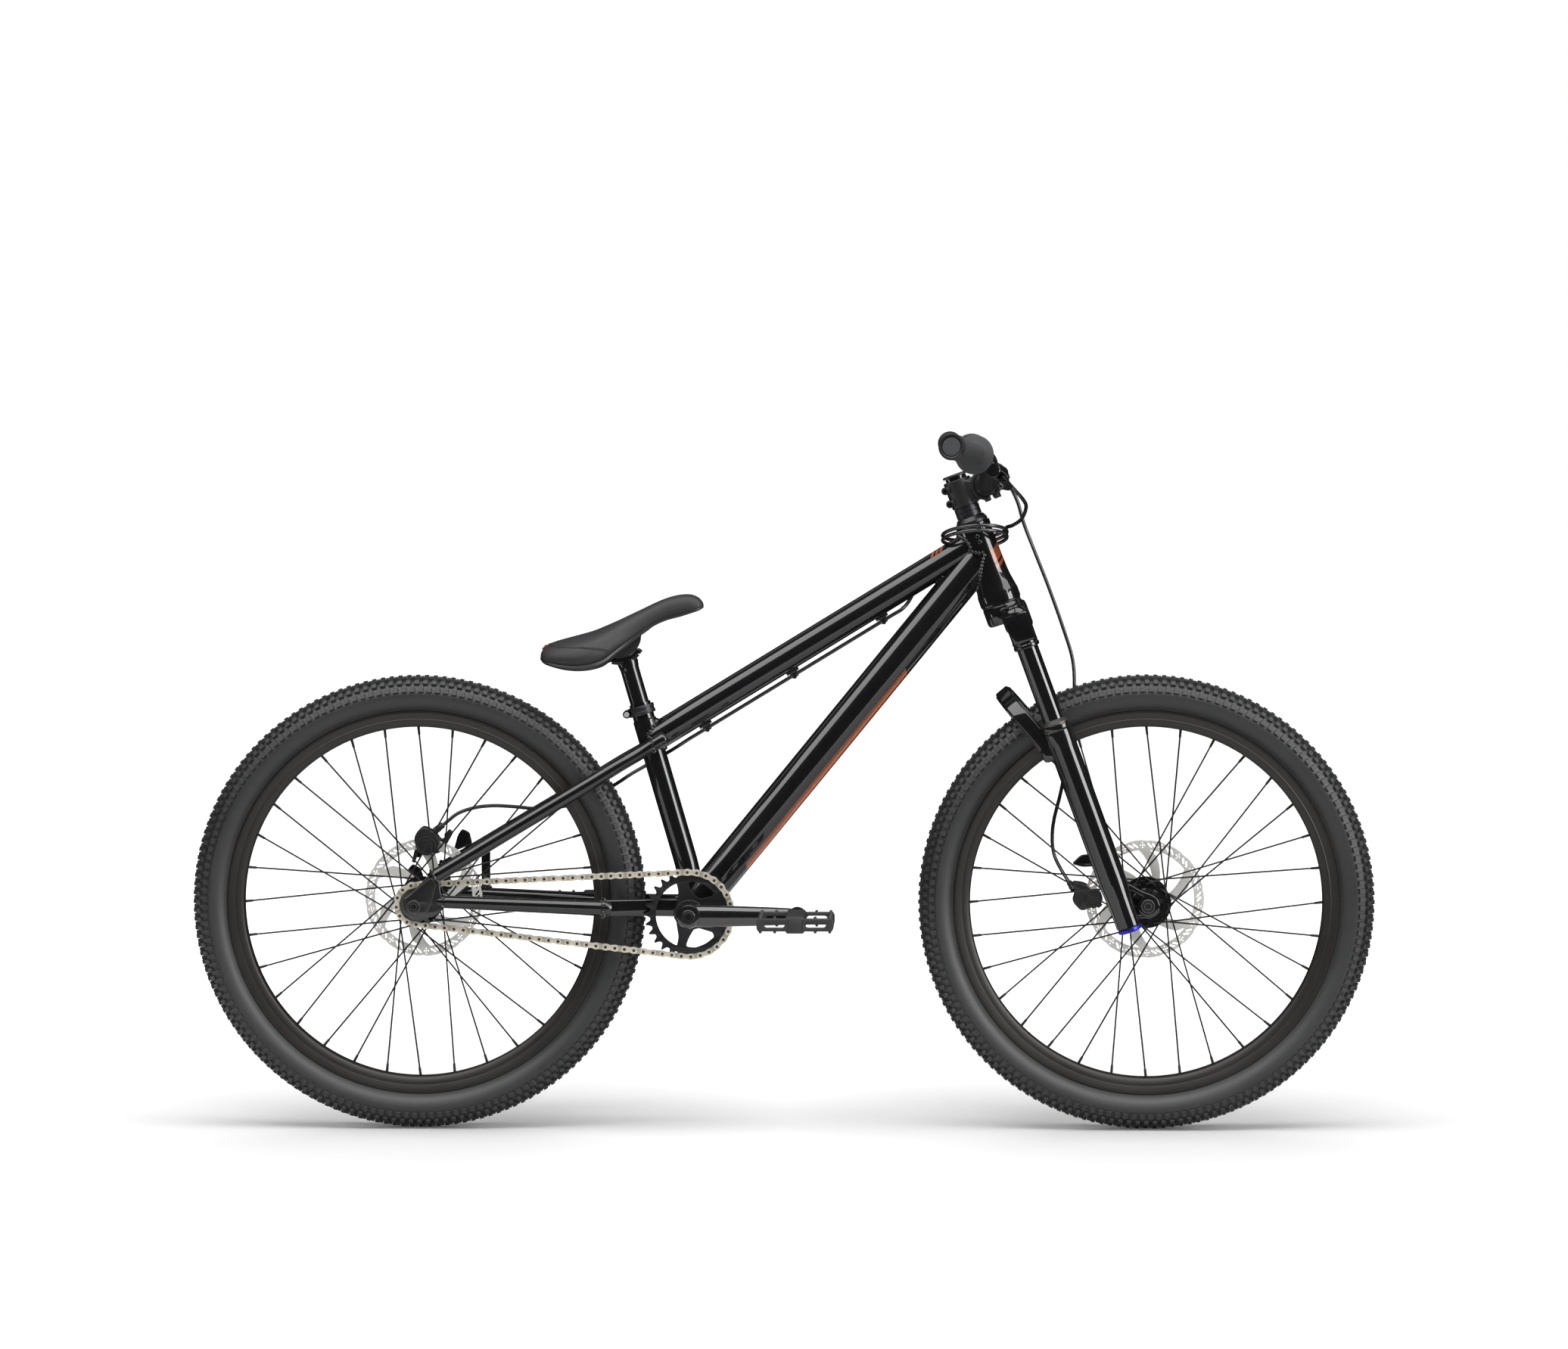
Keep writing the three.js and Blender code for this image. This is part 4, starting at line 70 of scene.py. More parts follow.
# Brake hoses
# Hydraulic hose in a smooth black sheath. The rear one winds round the head tube so that
# the bar can spin, then runs in clips below the top tube and along the left stay.
forward = Vector((1, 0, 0))
left = Vector((0, 1, 0))
upward = Vector((0, 0, 1))
steer_lean = radians(20)
axle_height = 0.306
steer_axis_ahead = 0.441112
steer_up = Vector((-sin(steer_lean), 0, cos(steer_lean)))
steer_ahead = Vector((cos(steer_lean), 0, sin(steer_lean)))
hose_radius = 0.0025
coil_height = 0.8055
coil_radius = 0.043
coil_pitch = 0.0064
coil_rise_ahead = 0.004
coil_rise_near = 0.012
coil_turns = 2 + 1 / 3
coil_steps = 18


def at(x, y, z):
    """A point, from millimetres."""
    return Vector((x, y, z)) / 1000


def steer_at(height):
    """The point of the steering axis at a height."""
    return Vector((steer_axis_ahead - (height - axle_height) * tan(steer_lean), 0, height))


def smooth_line(corners, steps):
    """Points along a smooth line through the corners, in even steps from each to the next."""
    ends = [2 * corners[0] - corners[1], *corners, 2 * corners[-1] - corners[-2]]
    line = [corners[0]]
    for before, here, there, after in zip(ends, ends[1:], ends[2:], ends[3:]):
        pairs = (before, here), (here, there), (there, after)
        first, middle, last = ((b - a).length ** 0.5 for a, b in pairs)
        leave = (here - before) / first - (there - before) / (first + middle) + (there - here) / middle
        arrive = (there - here) / middle - (after - here) / (middle + last) + (after - there) / last
        handles = here + leave * middle / 3, there - arrive * middle / 3
        line += interpolate_bezier(here, *handles, there, steps + 1)[1:]
    return line


def mesh_of(curve):
    """The mesh of a curve, with its doubled points merged and its faces turned outwards."""
    holder = bpy.data.objects.new(curve.name, curve)
    scene.collection.objects.link(holder)
    graph = bpy.context.evaluated_depsgraph_get()
    mesh = bpy.data.meshes.new_from_object(holder.evaluated_get(graph), depsgraph=graph)
    bpy.data.objects.remove(holder)
    form = bmesh.new()
    form.from_mesh(mesh)
    bmesh.ops.remove_doubles(form, verts=form.verts, dist=1e-6)
    bmesh.ops.recalc_face_normals(form, faces=form.faces)
    form.to_mesh(mesh)
    form.free()
    return mesh


def mesh_from(form, name):
    """A new mesh from a finished bmesh."""
    mesh = bpy.data.meshes.new(name)
    form.to_mesh(mesh)
    form.free()
    return mesh


def tube(lines, sides=24, closed=False):
    """Round tubes along lines of (point, radius) pairs, all in one mesh."""
    curve = bpy.data.curves.new("tube", "CURVE")
    curve.dimensions = "3D"
    curve.bevel_depth = 1.0
    curve.bevel_resolution = (sides - 4) // 2
    curve.use_fill_caps = not closed
    for line in lines:
        spline = curve.splines.new("POLY")
        spline.points.add(len(line) - 1)
        spline.use_cyclic_u = closed
        for spot, (place, radius) in zip(spline.points, line):
            spot.co = (*place, 1)
            spot.radius = radius
    return mesh_of(curve)


def gather(meshes):
    """Several meshes in one."""
    form = bmesh.new()
    for mesh in meshes:
        form.from_mesh(mesh)
    return mesh_from(form, "whole")


def work_out(owner, operation, *values):
    """The result of one sum on the values of a material, a world or a node group."""
    tree = getattr(owner, "node_tree", owner)
    node = tree.nodes.new("ShaderNodeMath")
    node.operation = operation
    for socket, value in zip(node.inputs, values):
        if isinstance(value, (int, float)):
            socket.default_value = value
        else:
            tree.links.new(value, socket)
    return node.outputs[0]


def set_inputs(node, **values):
    """Gives inputs of a node their values, by name, with a low line for a space."""
    for name, value in values.items():
        node.inputs[name.replace("_", " ")].default_value = value


def fine_grain_group():
    """Small and broad variation of a finish: its colour, its roughness and its height."""
    group = bpy.data.node_groups.new("fine_grain", "ShaderNodeTree")
    for way, names in (("INPUT", ("Colour", "Roughness", "Scale", "Depth", "Spread")),
                       ("OUTPUT", ("Colour", "Roughness", "Height"))):
        for name in names:
            kind = "NodeSocketColor" if name == "Colour" else "NodeSocketFloat"
            group.interface.new_socket(name, in_out=way, socket_type=kind)
    nodes, link = group.nodes, group.links.new
    given = nodes.new("NodeGroupInput")
    made = nodes.new("NodeGroupOutput")
    place = nodes.new("ShaderNodeTexCoord")
    fine = nodes.new("ShaderNodeTexNoise")
    set_inputs(fine, Detail=4)
    broad = nodes.new("ShaderNodeTexNoise")
    set_inputs(broad, Scale=14, Detail=2)
    link(place.outputs["Object"], fine.inputs["Vector"])
    link(place.outputs["Object"], broad.inputs["Vector"])
    link(given.outputs["Scale"], fine.inputs["Scale"])
    both = work_out(group, "ADD", fine.outputs["Fac"], broad.outputs["Fac"])
    centred = work_out(group, "SUBTRACT", both, 1.0)
    shade = work_out(group, "MULTIPLY_ADD", centred, given.outputs["Depth"], 1.0)
    tint = nodes.new("ShaderNodeVectorMath")
    tint.operation = "SCALE"
    link(given.outputs["Colour"], tint.inputs[0])
    link(shade, tint.inputs["Scale"])
    rough = work_out(group, "MULTIPLY_ADD", centred, given.outputs["Spread"], given.outputs["Roughness"])
    link(tint.outputs[0], made.inputs["Colour"])
    link(rough, made.inputs["Roughness"])
    link(fine.outputs["Fac"], made.inputs["Height"])
    return group


fine_grain = fine_grain_group()


def new_material(name):
    """A material, with its nodes and the call that links them."""
    material = bpy.data.materials.new(name)
    material.use_nodes = True
    return material, material.node_tree.nodes, material.node_tree.links.new


def finish_of(name, colour, roughness, metallic=0.0, scale=900, depth=0.3, spread=0.1, bump=0.1,
              relief=2e-5, coat=0.0, coat_roughness=0.04, specular=0.5):
    """A material whose colour, roughness and height vary with the fine grain."""
    material, nodes, link = new_material(name)
    shader = nodes["Principled BSDF"]
    grain = nodes.new("ShaderNodeGroup")
    grain.name = "grain"
    grain.node_tree = fine_grain
    set_inputs(grain, Colour=(*colour, 1), Roughness=roughness, Scale=scale, Depth=depth, Spread=spread)
    height = nodes.new("ShaderNodeBump")
    height.name = "height"
    set_inputs(height, Strength=bump, Distance=relief)
    link(grain.outputs["Colour"], shader.inputs["Base Color"])
    link(grain.outputs["Roughness"], shader.inputs["Roughness"])
    link(grain.outputs["Height"], height.inputs["Height"])
    link(height.outputs["Normal"], shader.inputs["Normal"])
    set_inputs(shader, Metallic=metallic, Coat_Weight=coat, Coat_Roughness=coat_roughness,
               Specular_IOR_Level=specular)
    return material


def piece(name, meshes, material, body=None, replaces=(), crease=35):
    """One finished piece: its meshes in one object, smooth between its creases, on its body."""
    mesh = gather(meshes)
    mesh.name = name
    mesh.materials.append(material)
    mesh.polygons.foreach_set("material_index", [0] * len(mesh.polygons))
    mesh.shade_smooth()
    mesh.set_sharp_from_angle(angle=radians(crease))
    made = bpy.data.objects.new(name, mesh)
    scene.collection.objects.link(made)
    if body:
        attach(made, body)
    if replaces:
        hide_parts(*replaces)
    return made


hose_black = finish_of("hose_black", (0.016, 0.016, 0.018), 0.28, scale=400, coat=0.5, coat_roughness=0.15)
top_tube_rear = at(-176.36, 0, 523.6)
top_tube_front = steer_at(0.792)
top_tube_way = (top_tube_front - top_tube_rear).normalized()
top_tube_below = Vector((top_tube_way.z, 0, -top_tube_way.x))
clip_places = (0.3518, 0.2115, 0.0743)
clip_length = 0.014
hose_below_tube = 0.0255

right_lever_route = [at(300, -156, 873), at(303.2, -152.7, 869.2), at(312, -143, 859.5), at(322, -112, 848),
                     at(326.5, -72, 837), at(320.5, -38, 820.5), at(309, -17, 812)]
coil_centre = steer_at(coil_height)
loops = []
for i in range(round(coil_turns * coil_steps) + 1):
    angle = tau * i / coil_steps
    lift = coil_rise_ahead * cos(angle) - coil_rise_near * sin(angle) - coil_pitch * i / coil_steps
    loops.append(coil_centre + Vector((coil_radius * cos(angle), coil_radius * sin(angle), lift)))
tail = [at(222, 40, 773), at(206, 31, 762), at(191, 24.5, 746), at(180, 20, 728), at(171, 9, 710)]
clip_ends = [clip_places[0] + 2 * clip_length, clip_places[0] + clip_length]
clip_ends += [clip_places[2] - clip_length, clip_places[2] - 2 * clip_length]
below_top_tube = [top_tube_rear + top_tube_way * run + top_tube_below * hose_below_tube
                  for run in clip_ends]
stay_route = [
    at(-137, 5, 517), at(-150, 15, 508.5), at(-166, 21, 499), at(-184, 23.5, 488), at(-203, 26, 477),
    at(-224.4, 32, 462.7), at(-262, 50, 441), at(-300, 63, 429), at(-335.7, 67, 425.9), at(-366, 67, 428.5),
    at(-395.5, 65, 430), at(-420, 62, 427.5), at(-443.1, 60, 419.6), at(-457, 58.5, 408.8),
    at(-462, 58, 405),
]
front_route = [
    at(300, 156, 873), at(303.2, 152.7, 869.2), at(311, 148, 858), at(320, 149, 838), at(326.5, 150, 814.4),
    at(342.7, 138, 771.8), at(360.6, 128, 726), at(381, 115, 668), at(393.3, 108, 626.7),
    at(395.5, 98, 591.5), at(392, 92, 545), at(378.6, 88, 454.9), at(366, 84, 400), at(367, 77, 365),
    at(378, 62, 341.5), at(387, 52, 328),
]


def hose(name, route, node):
    """A brake hose from a lever to its calliper, along a route."""
    line = smooth_line(route, 4)
    made = piece(name, [tube([[(spot, hose_radius) for spot in line]], 16)], hose_black,
                 replaces=[node])
    return made


rear_hose = hose("rear_hose", [*right_lever_route, *loops, *tail, *below_top_tube, *stay_route],
                 "rear_brake_hose")
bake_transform(rear_hose)
front_hose = hose("front_hose", front_route, "front_brake_hose")
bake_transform(front_hose)

# Frame
# Aluminium tubes welded by hand, with the ripple of each weld left showing under gloss
# black paint. Orange stripes are painted below the down tube and at the head.
seat_lean = radians(16.1)
bracket_height = 0.293
seat_axis_ahead = -0.1098
seat_up = Vector((-sin(seat_lean), 0, cos(seat_lean)))
seat_ahead = Vector((cos(seat_lean), 0, sin(seat_lean)))
bracket = at(-122.6, 0, 293)
rear_hub_at = at(-489, 0, 306)
front_hub_at = at(489, 0, 306)
head_foot = steer_at(0.709)
head_length = 0.105 / cos(steer_lean)
down_tube_front = steer_at(0.774)
down_tube_way = (down_tube_front - bracket).normalized()
down_tube_below = Vector((down_tube_way.z, 0, -down_tube_way.x))
down_tube_radius = 0.0244
top_tube_radius = 0.0187
shell_radius = 0.0205
shell_half = 0.034
stripe_orange = (0.44, 0.105, 0.03, 1)


def seat_at(height):
    """The point of the seat tube's axis at a height."""
    return Vector((seat_axis_ahead - (height - bracket_height) * tan(seat_lean), 0, height))


def turned(profile, origin, axis, steps=72):
    """A turned piece: (radius, height) pairs spun round an axis."""
    form = bmesh.new()
    spots = [form.verts.new((radius, 0, height)) for radius, height in profile]
    edges = [form.edges.new(pair) for pair in zip(spots, spots[1:])]
    bmesh.ops.spin(form, geom=spots + edges, cent=(0, 0, 0), axis=(0, 0, 1), dvec=(0, 0, 0),
                   angle=tau, steps=steps, use_merge=True, use_duplicate=False)
    bmesh.ops.remove_doubles(form, verts=form.verts, dist=1e-6)
    bmesh.ops.recalc_face_normals(form, faces=form.faces)
    turn = upward.rotation_difference(axis).to_matrix().to_4x4()
    bmesh.ops.transform(form, matrix=Matrix.Translation(origin) @ turn, verts=form.verts)
    return mesh_from(form, "turned")


def ring(profile, origin, axis, steps=72):
    """A turned ring, whose outline closes on itself."""
    return turned([*profile, profile[0]], origin, axis, steps)


def both_ends(half):
    """A profile from its lower half, with the upper half its mirror image."""
    return [*half, *((radius, -height) for radius, height in reversed(half))]


def plate(outlines, thickness, origin, across=forward, along=upward, bevel=0.0008):
    """A flat plate cut to one outline, with the others as holes, its middle plane at the origin."""
    drawing = bpy.data.curves.new("plate", "CURVE")
    drawing.dimensions = "2D"
    drawing.fill_mode = "BOTH"
    drawing.extrude = thickness / 2 - bevel
    drawing.bevel_depth = bevel
    drawing.bevel_resolution = 2
    drawing.offset = -bevel
    for outline in outlines:
        spline = drawing.splines.new("POLY")
        spline.points.add(len(outline) - 1)
        spline.use_cyclic_u = True
        for spot, (x, y) in zip(spline.points, outline):
            spot.co = (x, y, 0, 1)
    mesh = mesh_of(drawing)
    mesh.transform(stood(origin, (across, along, across.cross(along))))
    return mesh


def soft_corner(before, corner, after, reach=0.03, count=10):
    """Points round a bend that starts and ends at a distance from its corner."""
    start = corner + (before - corner).normalized() * reach
    end = corner + (after - corner).normalized() * reach
    return interpolate_bezier(start, start.lerp(corner, 0.6), end.lerp(corner, 0.6), end, count)


def rounded(outline, reach=0.3, steps=4):
    """An outline with each corner rounded off, by a share of its shorter side."""
    soft = []
    spots = [Vector(spot) for spot in outline]
    for before, here, there in zip([spots[-1], *spots], spots, [*spots[1:], spots[0]]):
        cut = reach * min((before - here).length, (there - here).length)
        soft += soft_corner(before, here, there, cut, steps + 1)
    return [(spot.x, spot.y) for spot in soft]


def circle(radius, x=0, y=0, count=32):
    """A round outline."""
    angles = (tau * i / count for i in range(count))
    return [(x + radius * cos(angle), y + radius * sin(angle)) for angle in angles]


def stood(middle, axes):
    """The move that puts a form at a place, along three axes."""
    return Matrix.Translation(middle) @ Matrix(axes).transposed().to_4x4()


def block(size, middle, axes=(forward, left, upward), bevel=0.001):
    """A block with rounded edges."""
    form = bmesh.new()
    bmesh.ops.create_cube(form, size=1)
    bmesh.ops.scale(form, vec=size, verts=form.verts)
    bmesh.ops.bevel(form, geom=form.edges, offset=bevel, segments=2, profile=0.5, affect="EDGES",
                    material=-1)
    bmesh.ops.transform(form, matrix=stood(middle, axes), verts=form.verts)
    bmesh.ops.recalc_face_normals(form, faces=form.faces)
    return mesh_from(form, "block")


def paint_of(name):
    """Gloss black paint under lacquer."""
    return finish_of(name, (0.0095, 0.0095, 0.0103), 0.3, scale=60, depth=0.5, spread=0.04, bump=0.0,
                     coat=1.0, coat_roughness=0.02, specular=0.06)


def along_way(material, origin, way):
    """How far a point of the surface lies from an origin, along a direction."""
    nodes, link = material.node_tree.nodes, material.node_tree.links.new
    place = nodes.new("ShaderNodeTexCoord")
    moved = nodes.new("ShaderNodeVectorMath")
    moved.operation = "SUBTRACT"
    moved.inputs[1].default_value = origin
    link(place.outputs["Object"], moved.inputs[0])
    dot = nodes.new("ShaderNodeVectorMath")
    dot.operation = "DOT_PRODUCT"
    dot.inputs[1].default_value = way
    link(moved.outputs[0], dot.inputs[0])
    return dot.outputs["Value"]


def between(material, value, low, high):
    """One where a value lies between two others, and nought elsewhere."""
    above = work_out(material, "GREATER_THAN", value, low)
    return work_out(material, "MULTIPLY", above, work_out(material, "LESS_THAN", value, high))


def paint_mark(material, mask, colour):
    """Paints a colour over a material where a mask is one."""
    nodes, link = material.node_tree.nodes, material.node_tree.links.new
    shader = nodes["Principled BSDF"]
    mix = nodes.new("ShaderNodeMix")
    mix.data_type = "RGBA"
    link(mask, mix.inputs["Factor"])
    link(shader.inputs["Base Color"].links[0].from_socket, mix.inputs["A"])
    mix.inputs["B"].default_value = colour
    link(mix.outputs["Result"], shader.inputs["Base Color"])


frame_paint = paint_of("frame_paint")

head_mark_slant = 0.55
head_front = 0.0095
head_block, head_bar = (0.065, 0.082), (0.0565, 0.0615)
head_paint = paint_of("head_tube_paint")
head_ahead = along_way(head_paint, head_foot, steer_ahead)
head_side = work_out(head_paint, "ABSOLUTE", along_way(head_paint, head_foot, left))
head_rise = along_way(head_paint, head_foot, steer_up)
head_run = work_out(head_paint, "MULTIPLY_ADD", head_side, head_mark_slant, head_rise)
on_front = work_out(head_paint, "GREATER_THAN", head_ahead, head_front)
block_mark = between(head_paint, head_run, *head_block)
bar_mark = between(head_paint, head_run, *head_bar)
head_mask = work_out(head_paint, "MULTIPLY", on_front, work_out(head_paint, "ADD", block_mark, bar_mark))
paint_mark(head_paint, head_mask, stripe_orange)

stripe_slant = 0.9
stripe_drops, stripe_ends = (0.0162, 0.0232), (0.113, 0.452)
down_paint = paint_of("down_tube_paint")
stripe_run = along_way(down_paint, bracket, down_tube_way)
stripe_drop = along_way(down_paint, bracket, down_tube_below)
end_cut = work_out(down_paint, "MULTIPLY_ADD", stripe_drop, stripe_slant, stripe_run)
in_band = between(down_paint, stripe_drop, *stripe_drops)
stripe_mask = work_out(down_paint, "MULTIPLY", in_band, between(down_paint, end_cut, *stripe_ends))
paint_mark(down_paint, stripe_mask, stripe_orange)

mark_ends = (-0.0816, -0.0612)
mark_spacing = 0.0068
mark_gap_share = 0.42
mark_foot = 0.0133
top_paint = paint_of("top_tube_paint")
mark_run = along_way(top_paint, top_tube_front, top_tube_way)
mark_rise = along_way(top_paint, top_tube_front, -top_tube_below)
mark_cut = work_out(top_paint, "MULTIPLY_ADD", mark_rise, -stripe_slant, mark_run)
mark_share = work_out(top_paint, "FRACT", work_out(top_paint, "MULTIPLY", mark_cut, 1 / mark_spacing))
three_bars = between(top_paint, mark_cut, *mark_ends)
past_gap = work_out(top_paint, "GREATER_THAN", mark_share, mark_gap_share)
above_foot = work_out(top_paint, "GREATER_THAN", mark_rise, mark_foot)
bars = work_out(top_paint, "MULTIPLY", three_bars, past_gap)
mark_mask = work_out(top_paint, "MULTIPLY", bars, above_foot)
paint_mark(top_paint, mark_mask, stripe_orange)

head_profile = [
    (0.0202, 0), (0.0272, 0), (0.028, 0.0008), (0.028, 0.013), (0.0272, 0.0165), (0.0248, 0.031),
    (0.0238, 0.042), (0.0231, 0.065), (0.0227, head_length - 0.007), (0.0234, head_length - 0.006),
    (0.0234, head_length - 0.0006), (0.0228, head_length), (0.019, head_length), (0.0175, 0.09),
    (0.0175, 0.015),
]
plug_places = [at(262.8, -22.4, 797.6), at(265.8, -22.4, 790.3)]
plugs = [turned([(0, -0.001), (0.0027, -0.001), (0.0027, 0.0008), (0.0021, 0.0012), (0.0013, 0.0008),
                 (0, 0.0008)], spot, -left, 20) for spot in plug_places]
piece("head_tube_welded", [ring(head_profile, head_foot, steer_up, 96), *plugs], head_paint,
      "frame", ["head_tube"])


def clip(run):
    """A screwed hose clip below the top tube."""
    middle = top_tube_rear + top_tube_way * run
    axes = (top_tube_way, left, -top_tube_below)
    base = middle + top_tube_below * (top_tube_radius + 0.0012)
    cradle = middle + top_tube_below * (hose_below_tube - 0.0012)
    keeper = middle + top_tube_below * (hose_below_tube + 0.0026)
    head = keeper - top_tube_way * 0.001 - left * 0.0045
    return [block((clip_length + 0.004, 0.009, 0.005), base, axes),
            block((clip_length - 0.003, 0.0085, 0.0085), cradle - top_tube_below * 0.0012, axes),
            block((clip_length - 0.005, 0.009, 0.0024), keeper, axes, 0.0006),
            turned([(0, 0), (0.0026, 0), (0.0026, 0.0016), (0, 0.0016)], head, -left, 16)]


clips = [part for run in clip_places for part in clip(run)]
piece("hose_clips", clips, hose_black, "frame")
top_line = [(top_tube_rear + top_tube_way * 0.004, top_tube_radius), (top_tube_front, top_tube_radius)]
piece("top_tube_welded", [tube([top_line], 56)], top_paint, "frame", ["top_tube"])
down_line = [(bracket + down_tube_way * 0.006, down_tube_radius),
             (down_tube_front - down_tube_way * 0.01, down_tube_radius)]
piece("down_tube_welded", [tube([down_line], 64)], down_paint, "frame", ["down_tube"])

seat_tube_top = 0.573
seat_radius = 0.0159
sleeve_radius = 0.0146
bend_top, bend_knee = seat_at(0.368), seat_at(0.3305)
bend_foot = bracket + upward * 0.012
bend = interpolate_bezier(bend_foot, bend_foot.lerp(bend_knee, 2 / 3), bend_top.lerp(bend_knee, 2 / 3),
                          bend_top, 12)
seat_line = [(spot, seat_radius) for spot in [*bend, seat_at(0.5508)]]
seat_line += [(seat_at(0.5522), sleeve_radius), (seat_at(seat_tube_top), sleeve_radius)]
seat_bore = ring([(0.0128, 0), (sleeve_radius, 0), (sleeve_radius, 0.0007), (0.0128, 0.0007)],
                 seat_at(seat_tube_top), seat_up, 48)
piece("seat_tube_welded", [tube([seat_line], 48), seat_bore], frame_paint, "frame",
      ["seat_tube"])
shell_profile = both_ends([(0.0173, -shell_half), (0.0198, -shell_half),
                           (shell_radius, 0.0008 - shell_half)])
piece("bracket_shell", [ring(shell_profile, bracket, left)], frame_paint, "frame",
      ["bottom_bracket_shell"])

# Stays and dropouts
# Round stays run back past the tyre to forged dropouts. The left ones also carry the lugs of
# the brake calliper and a brace between the two stays.
chainstay_rear = at(-454, 67, 312)
chainstay_front = at(-236, 46, 301.5)
chainstay_radii = (0.0085, 0.011)
yoke_height = 0.023
dropout_middle = 0.0708
dropout_thickness = 0.006
lug_middle = 0.0605
lug_thickness = 0.007
seatstay_places = [(-158, 17.5, 527), (-184, 21, 511.5), (-215, 33, 493.5), (-250, 41, 472),
                   (-340, 53, 418.4), (-429, 63.5, 365), (-461, 66.5, 346)]
yoke_outline = [(-243, 52.5), (-243, 38.5), (-186, 31.5), (-159, 20), (-143, 10.5), (-128.5, 10.5),
                (-128.5, 32), (-159, 33.5), (-189, 40)]
dropout_outline = [
    (-503.8, 316), (-504, 301.6), (-498.4, 293.4), (-483.1, 288.9), (-462.2, 292.5), (-452, 300),
    (-451, 316), (-454.5, 331), (-455.5, 344.3), (-463.6, 348.5), (-471, 346.1), (-495.4, 321),
]
hood_outline = [(-501, 315), (-501, 302), (-496, 295.5), (-483, 292), (-472, 296), (-466, 310), (-459, 336),
                (-464.5, 344), (-470, 342)]
boss_outline = [(-497.5, 306), (-494, 298.5), (-487, 296), (-480, 300), (-479, 308), (-483, 314.5),
                (-491, 315)]
upper_lug_outline = [(-449, 368), (-423, 378), (-427, 394), (-437, 399), (-443, 390)]
lower_lug_outline = [(-503, 316), (-491, 332), (-495, 344), (-506, 350), (-513, 342), (-508, 330)]
bead_radius = 0.0018
bead_ripple = 0.0006
bead_pitch = 0.0034
head_bead_share = 1.4
both_sides = ((1, "left"), (-1, "right"))


def outline_at(places):
    """An outline, from millimetres."""
    return [(x / 1000, y / 1000) for x, y in places]


def mirrored(places, side):
    """Points on one side of the bicycle: its left for 1, its right for -1."""
    return [Vector((x, y * side, z)) for x, y, z in places]


def weld_bead(line, closed=True, share=1.0):
    """The ripple of a weld along a line, at a share of the usual thickness."""
    run = sum((b - a).length for a, b in zip(line, [*line[1:], line[0]] if closed else line[1:]))
    count = 4 * max(2, round(run / (bead_pitch * share)))
    corners = [*line, line[0]] if closed else line
    steps = [(b - a).length for a, b in zip(corners, corners[1:])]
    spots = []
    for i in range(count):
        left_over = run * i / count
        for start, end, step in zip(corners, corners[1:], steps):
            if left_over <= step:
                break
            left_over -= step
        place = start.lerp(end, min(1, left_over / max(step, 1e-9)))
        spots.append((place, share * (bead_radius + bead_ripple * (1 if i % 4 in (1, 2) else -1))))
    return tube([spots], 8, closed)


def joint_line(start, way, radius, parent_at, parent_way, parent_radius, count=72):
    """Where a round tube meets the side of another one."""
    side = way.cross(parent_way).normalized()
    rise = way.cross(side).normalized()
    across = way - parent_way * way.dot(parent_way)
    line = []
    for i in range(count):
        angle = tau * i / count
        edge = start + radius * (cos(angle) * side + sin(angle) * rise)
        away = edge - parent_at
        away -= parent_way * away.dot(parent_way)
        half = away.dot(across)
        room = half * half - across.length_squared * (away.length_squared - parent_radius**2)
        line.append(edge + way * (-half - sqrt(max(0, room))) / across.length_squared)
    return line


def loop_round(middle, way, radius, count=36):
    """A circle round a tube."""
    side = way.orthogonal().normalized()
    rise = way.cross(side).normalized()
    angles = (tau * i / count for i in range(count))
    return [middle + radius * (cos(angle) * side + sin(angle) * rise) for angle in angles]


head_low = (head_foot, steer_up, 0.0243)
shell_side = (bracket, left, shell_radius)
seat_side = (seat_at(0.5), seat_up, seat_radius)
seams = [
    joint_line(top_tube_rear, top_tube_way, top_tube_radius, head_foot, steer_up, 0.0232),
    joint_line(bracket, down_tube_way, down_tube_radius, *head_low),
    joint_line(top_tube_front, -top_tube_way, top_tube_radius, *seat_side),
    joint_line(down_tube_front, -down_tube_way, down_tube_radius, *shell_side),
    joint_line(bend_top, (bend_foot - bend_top).normalized(), seat_radius, *shell_side),
]
crotch = joint_line(top_tube_rear, top_tube_way, top_tube_radius, bracket, down_tube_way, down_tube_radius)
lowest = min(range(len(crotch)), key=lambda i: crotch[i].x)
crotch = [*crotch[lowest - 22:], *crotch[:lowest - 22]]
crotch = [spot for spot in crotch[:45] if spot.x < 0.218]

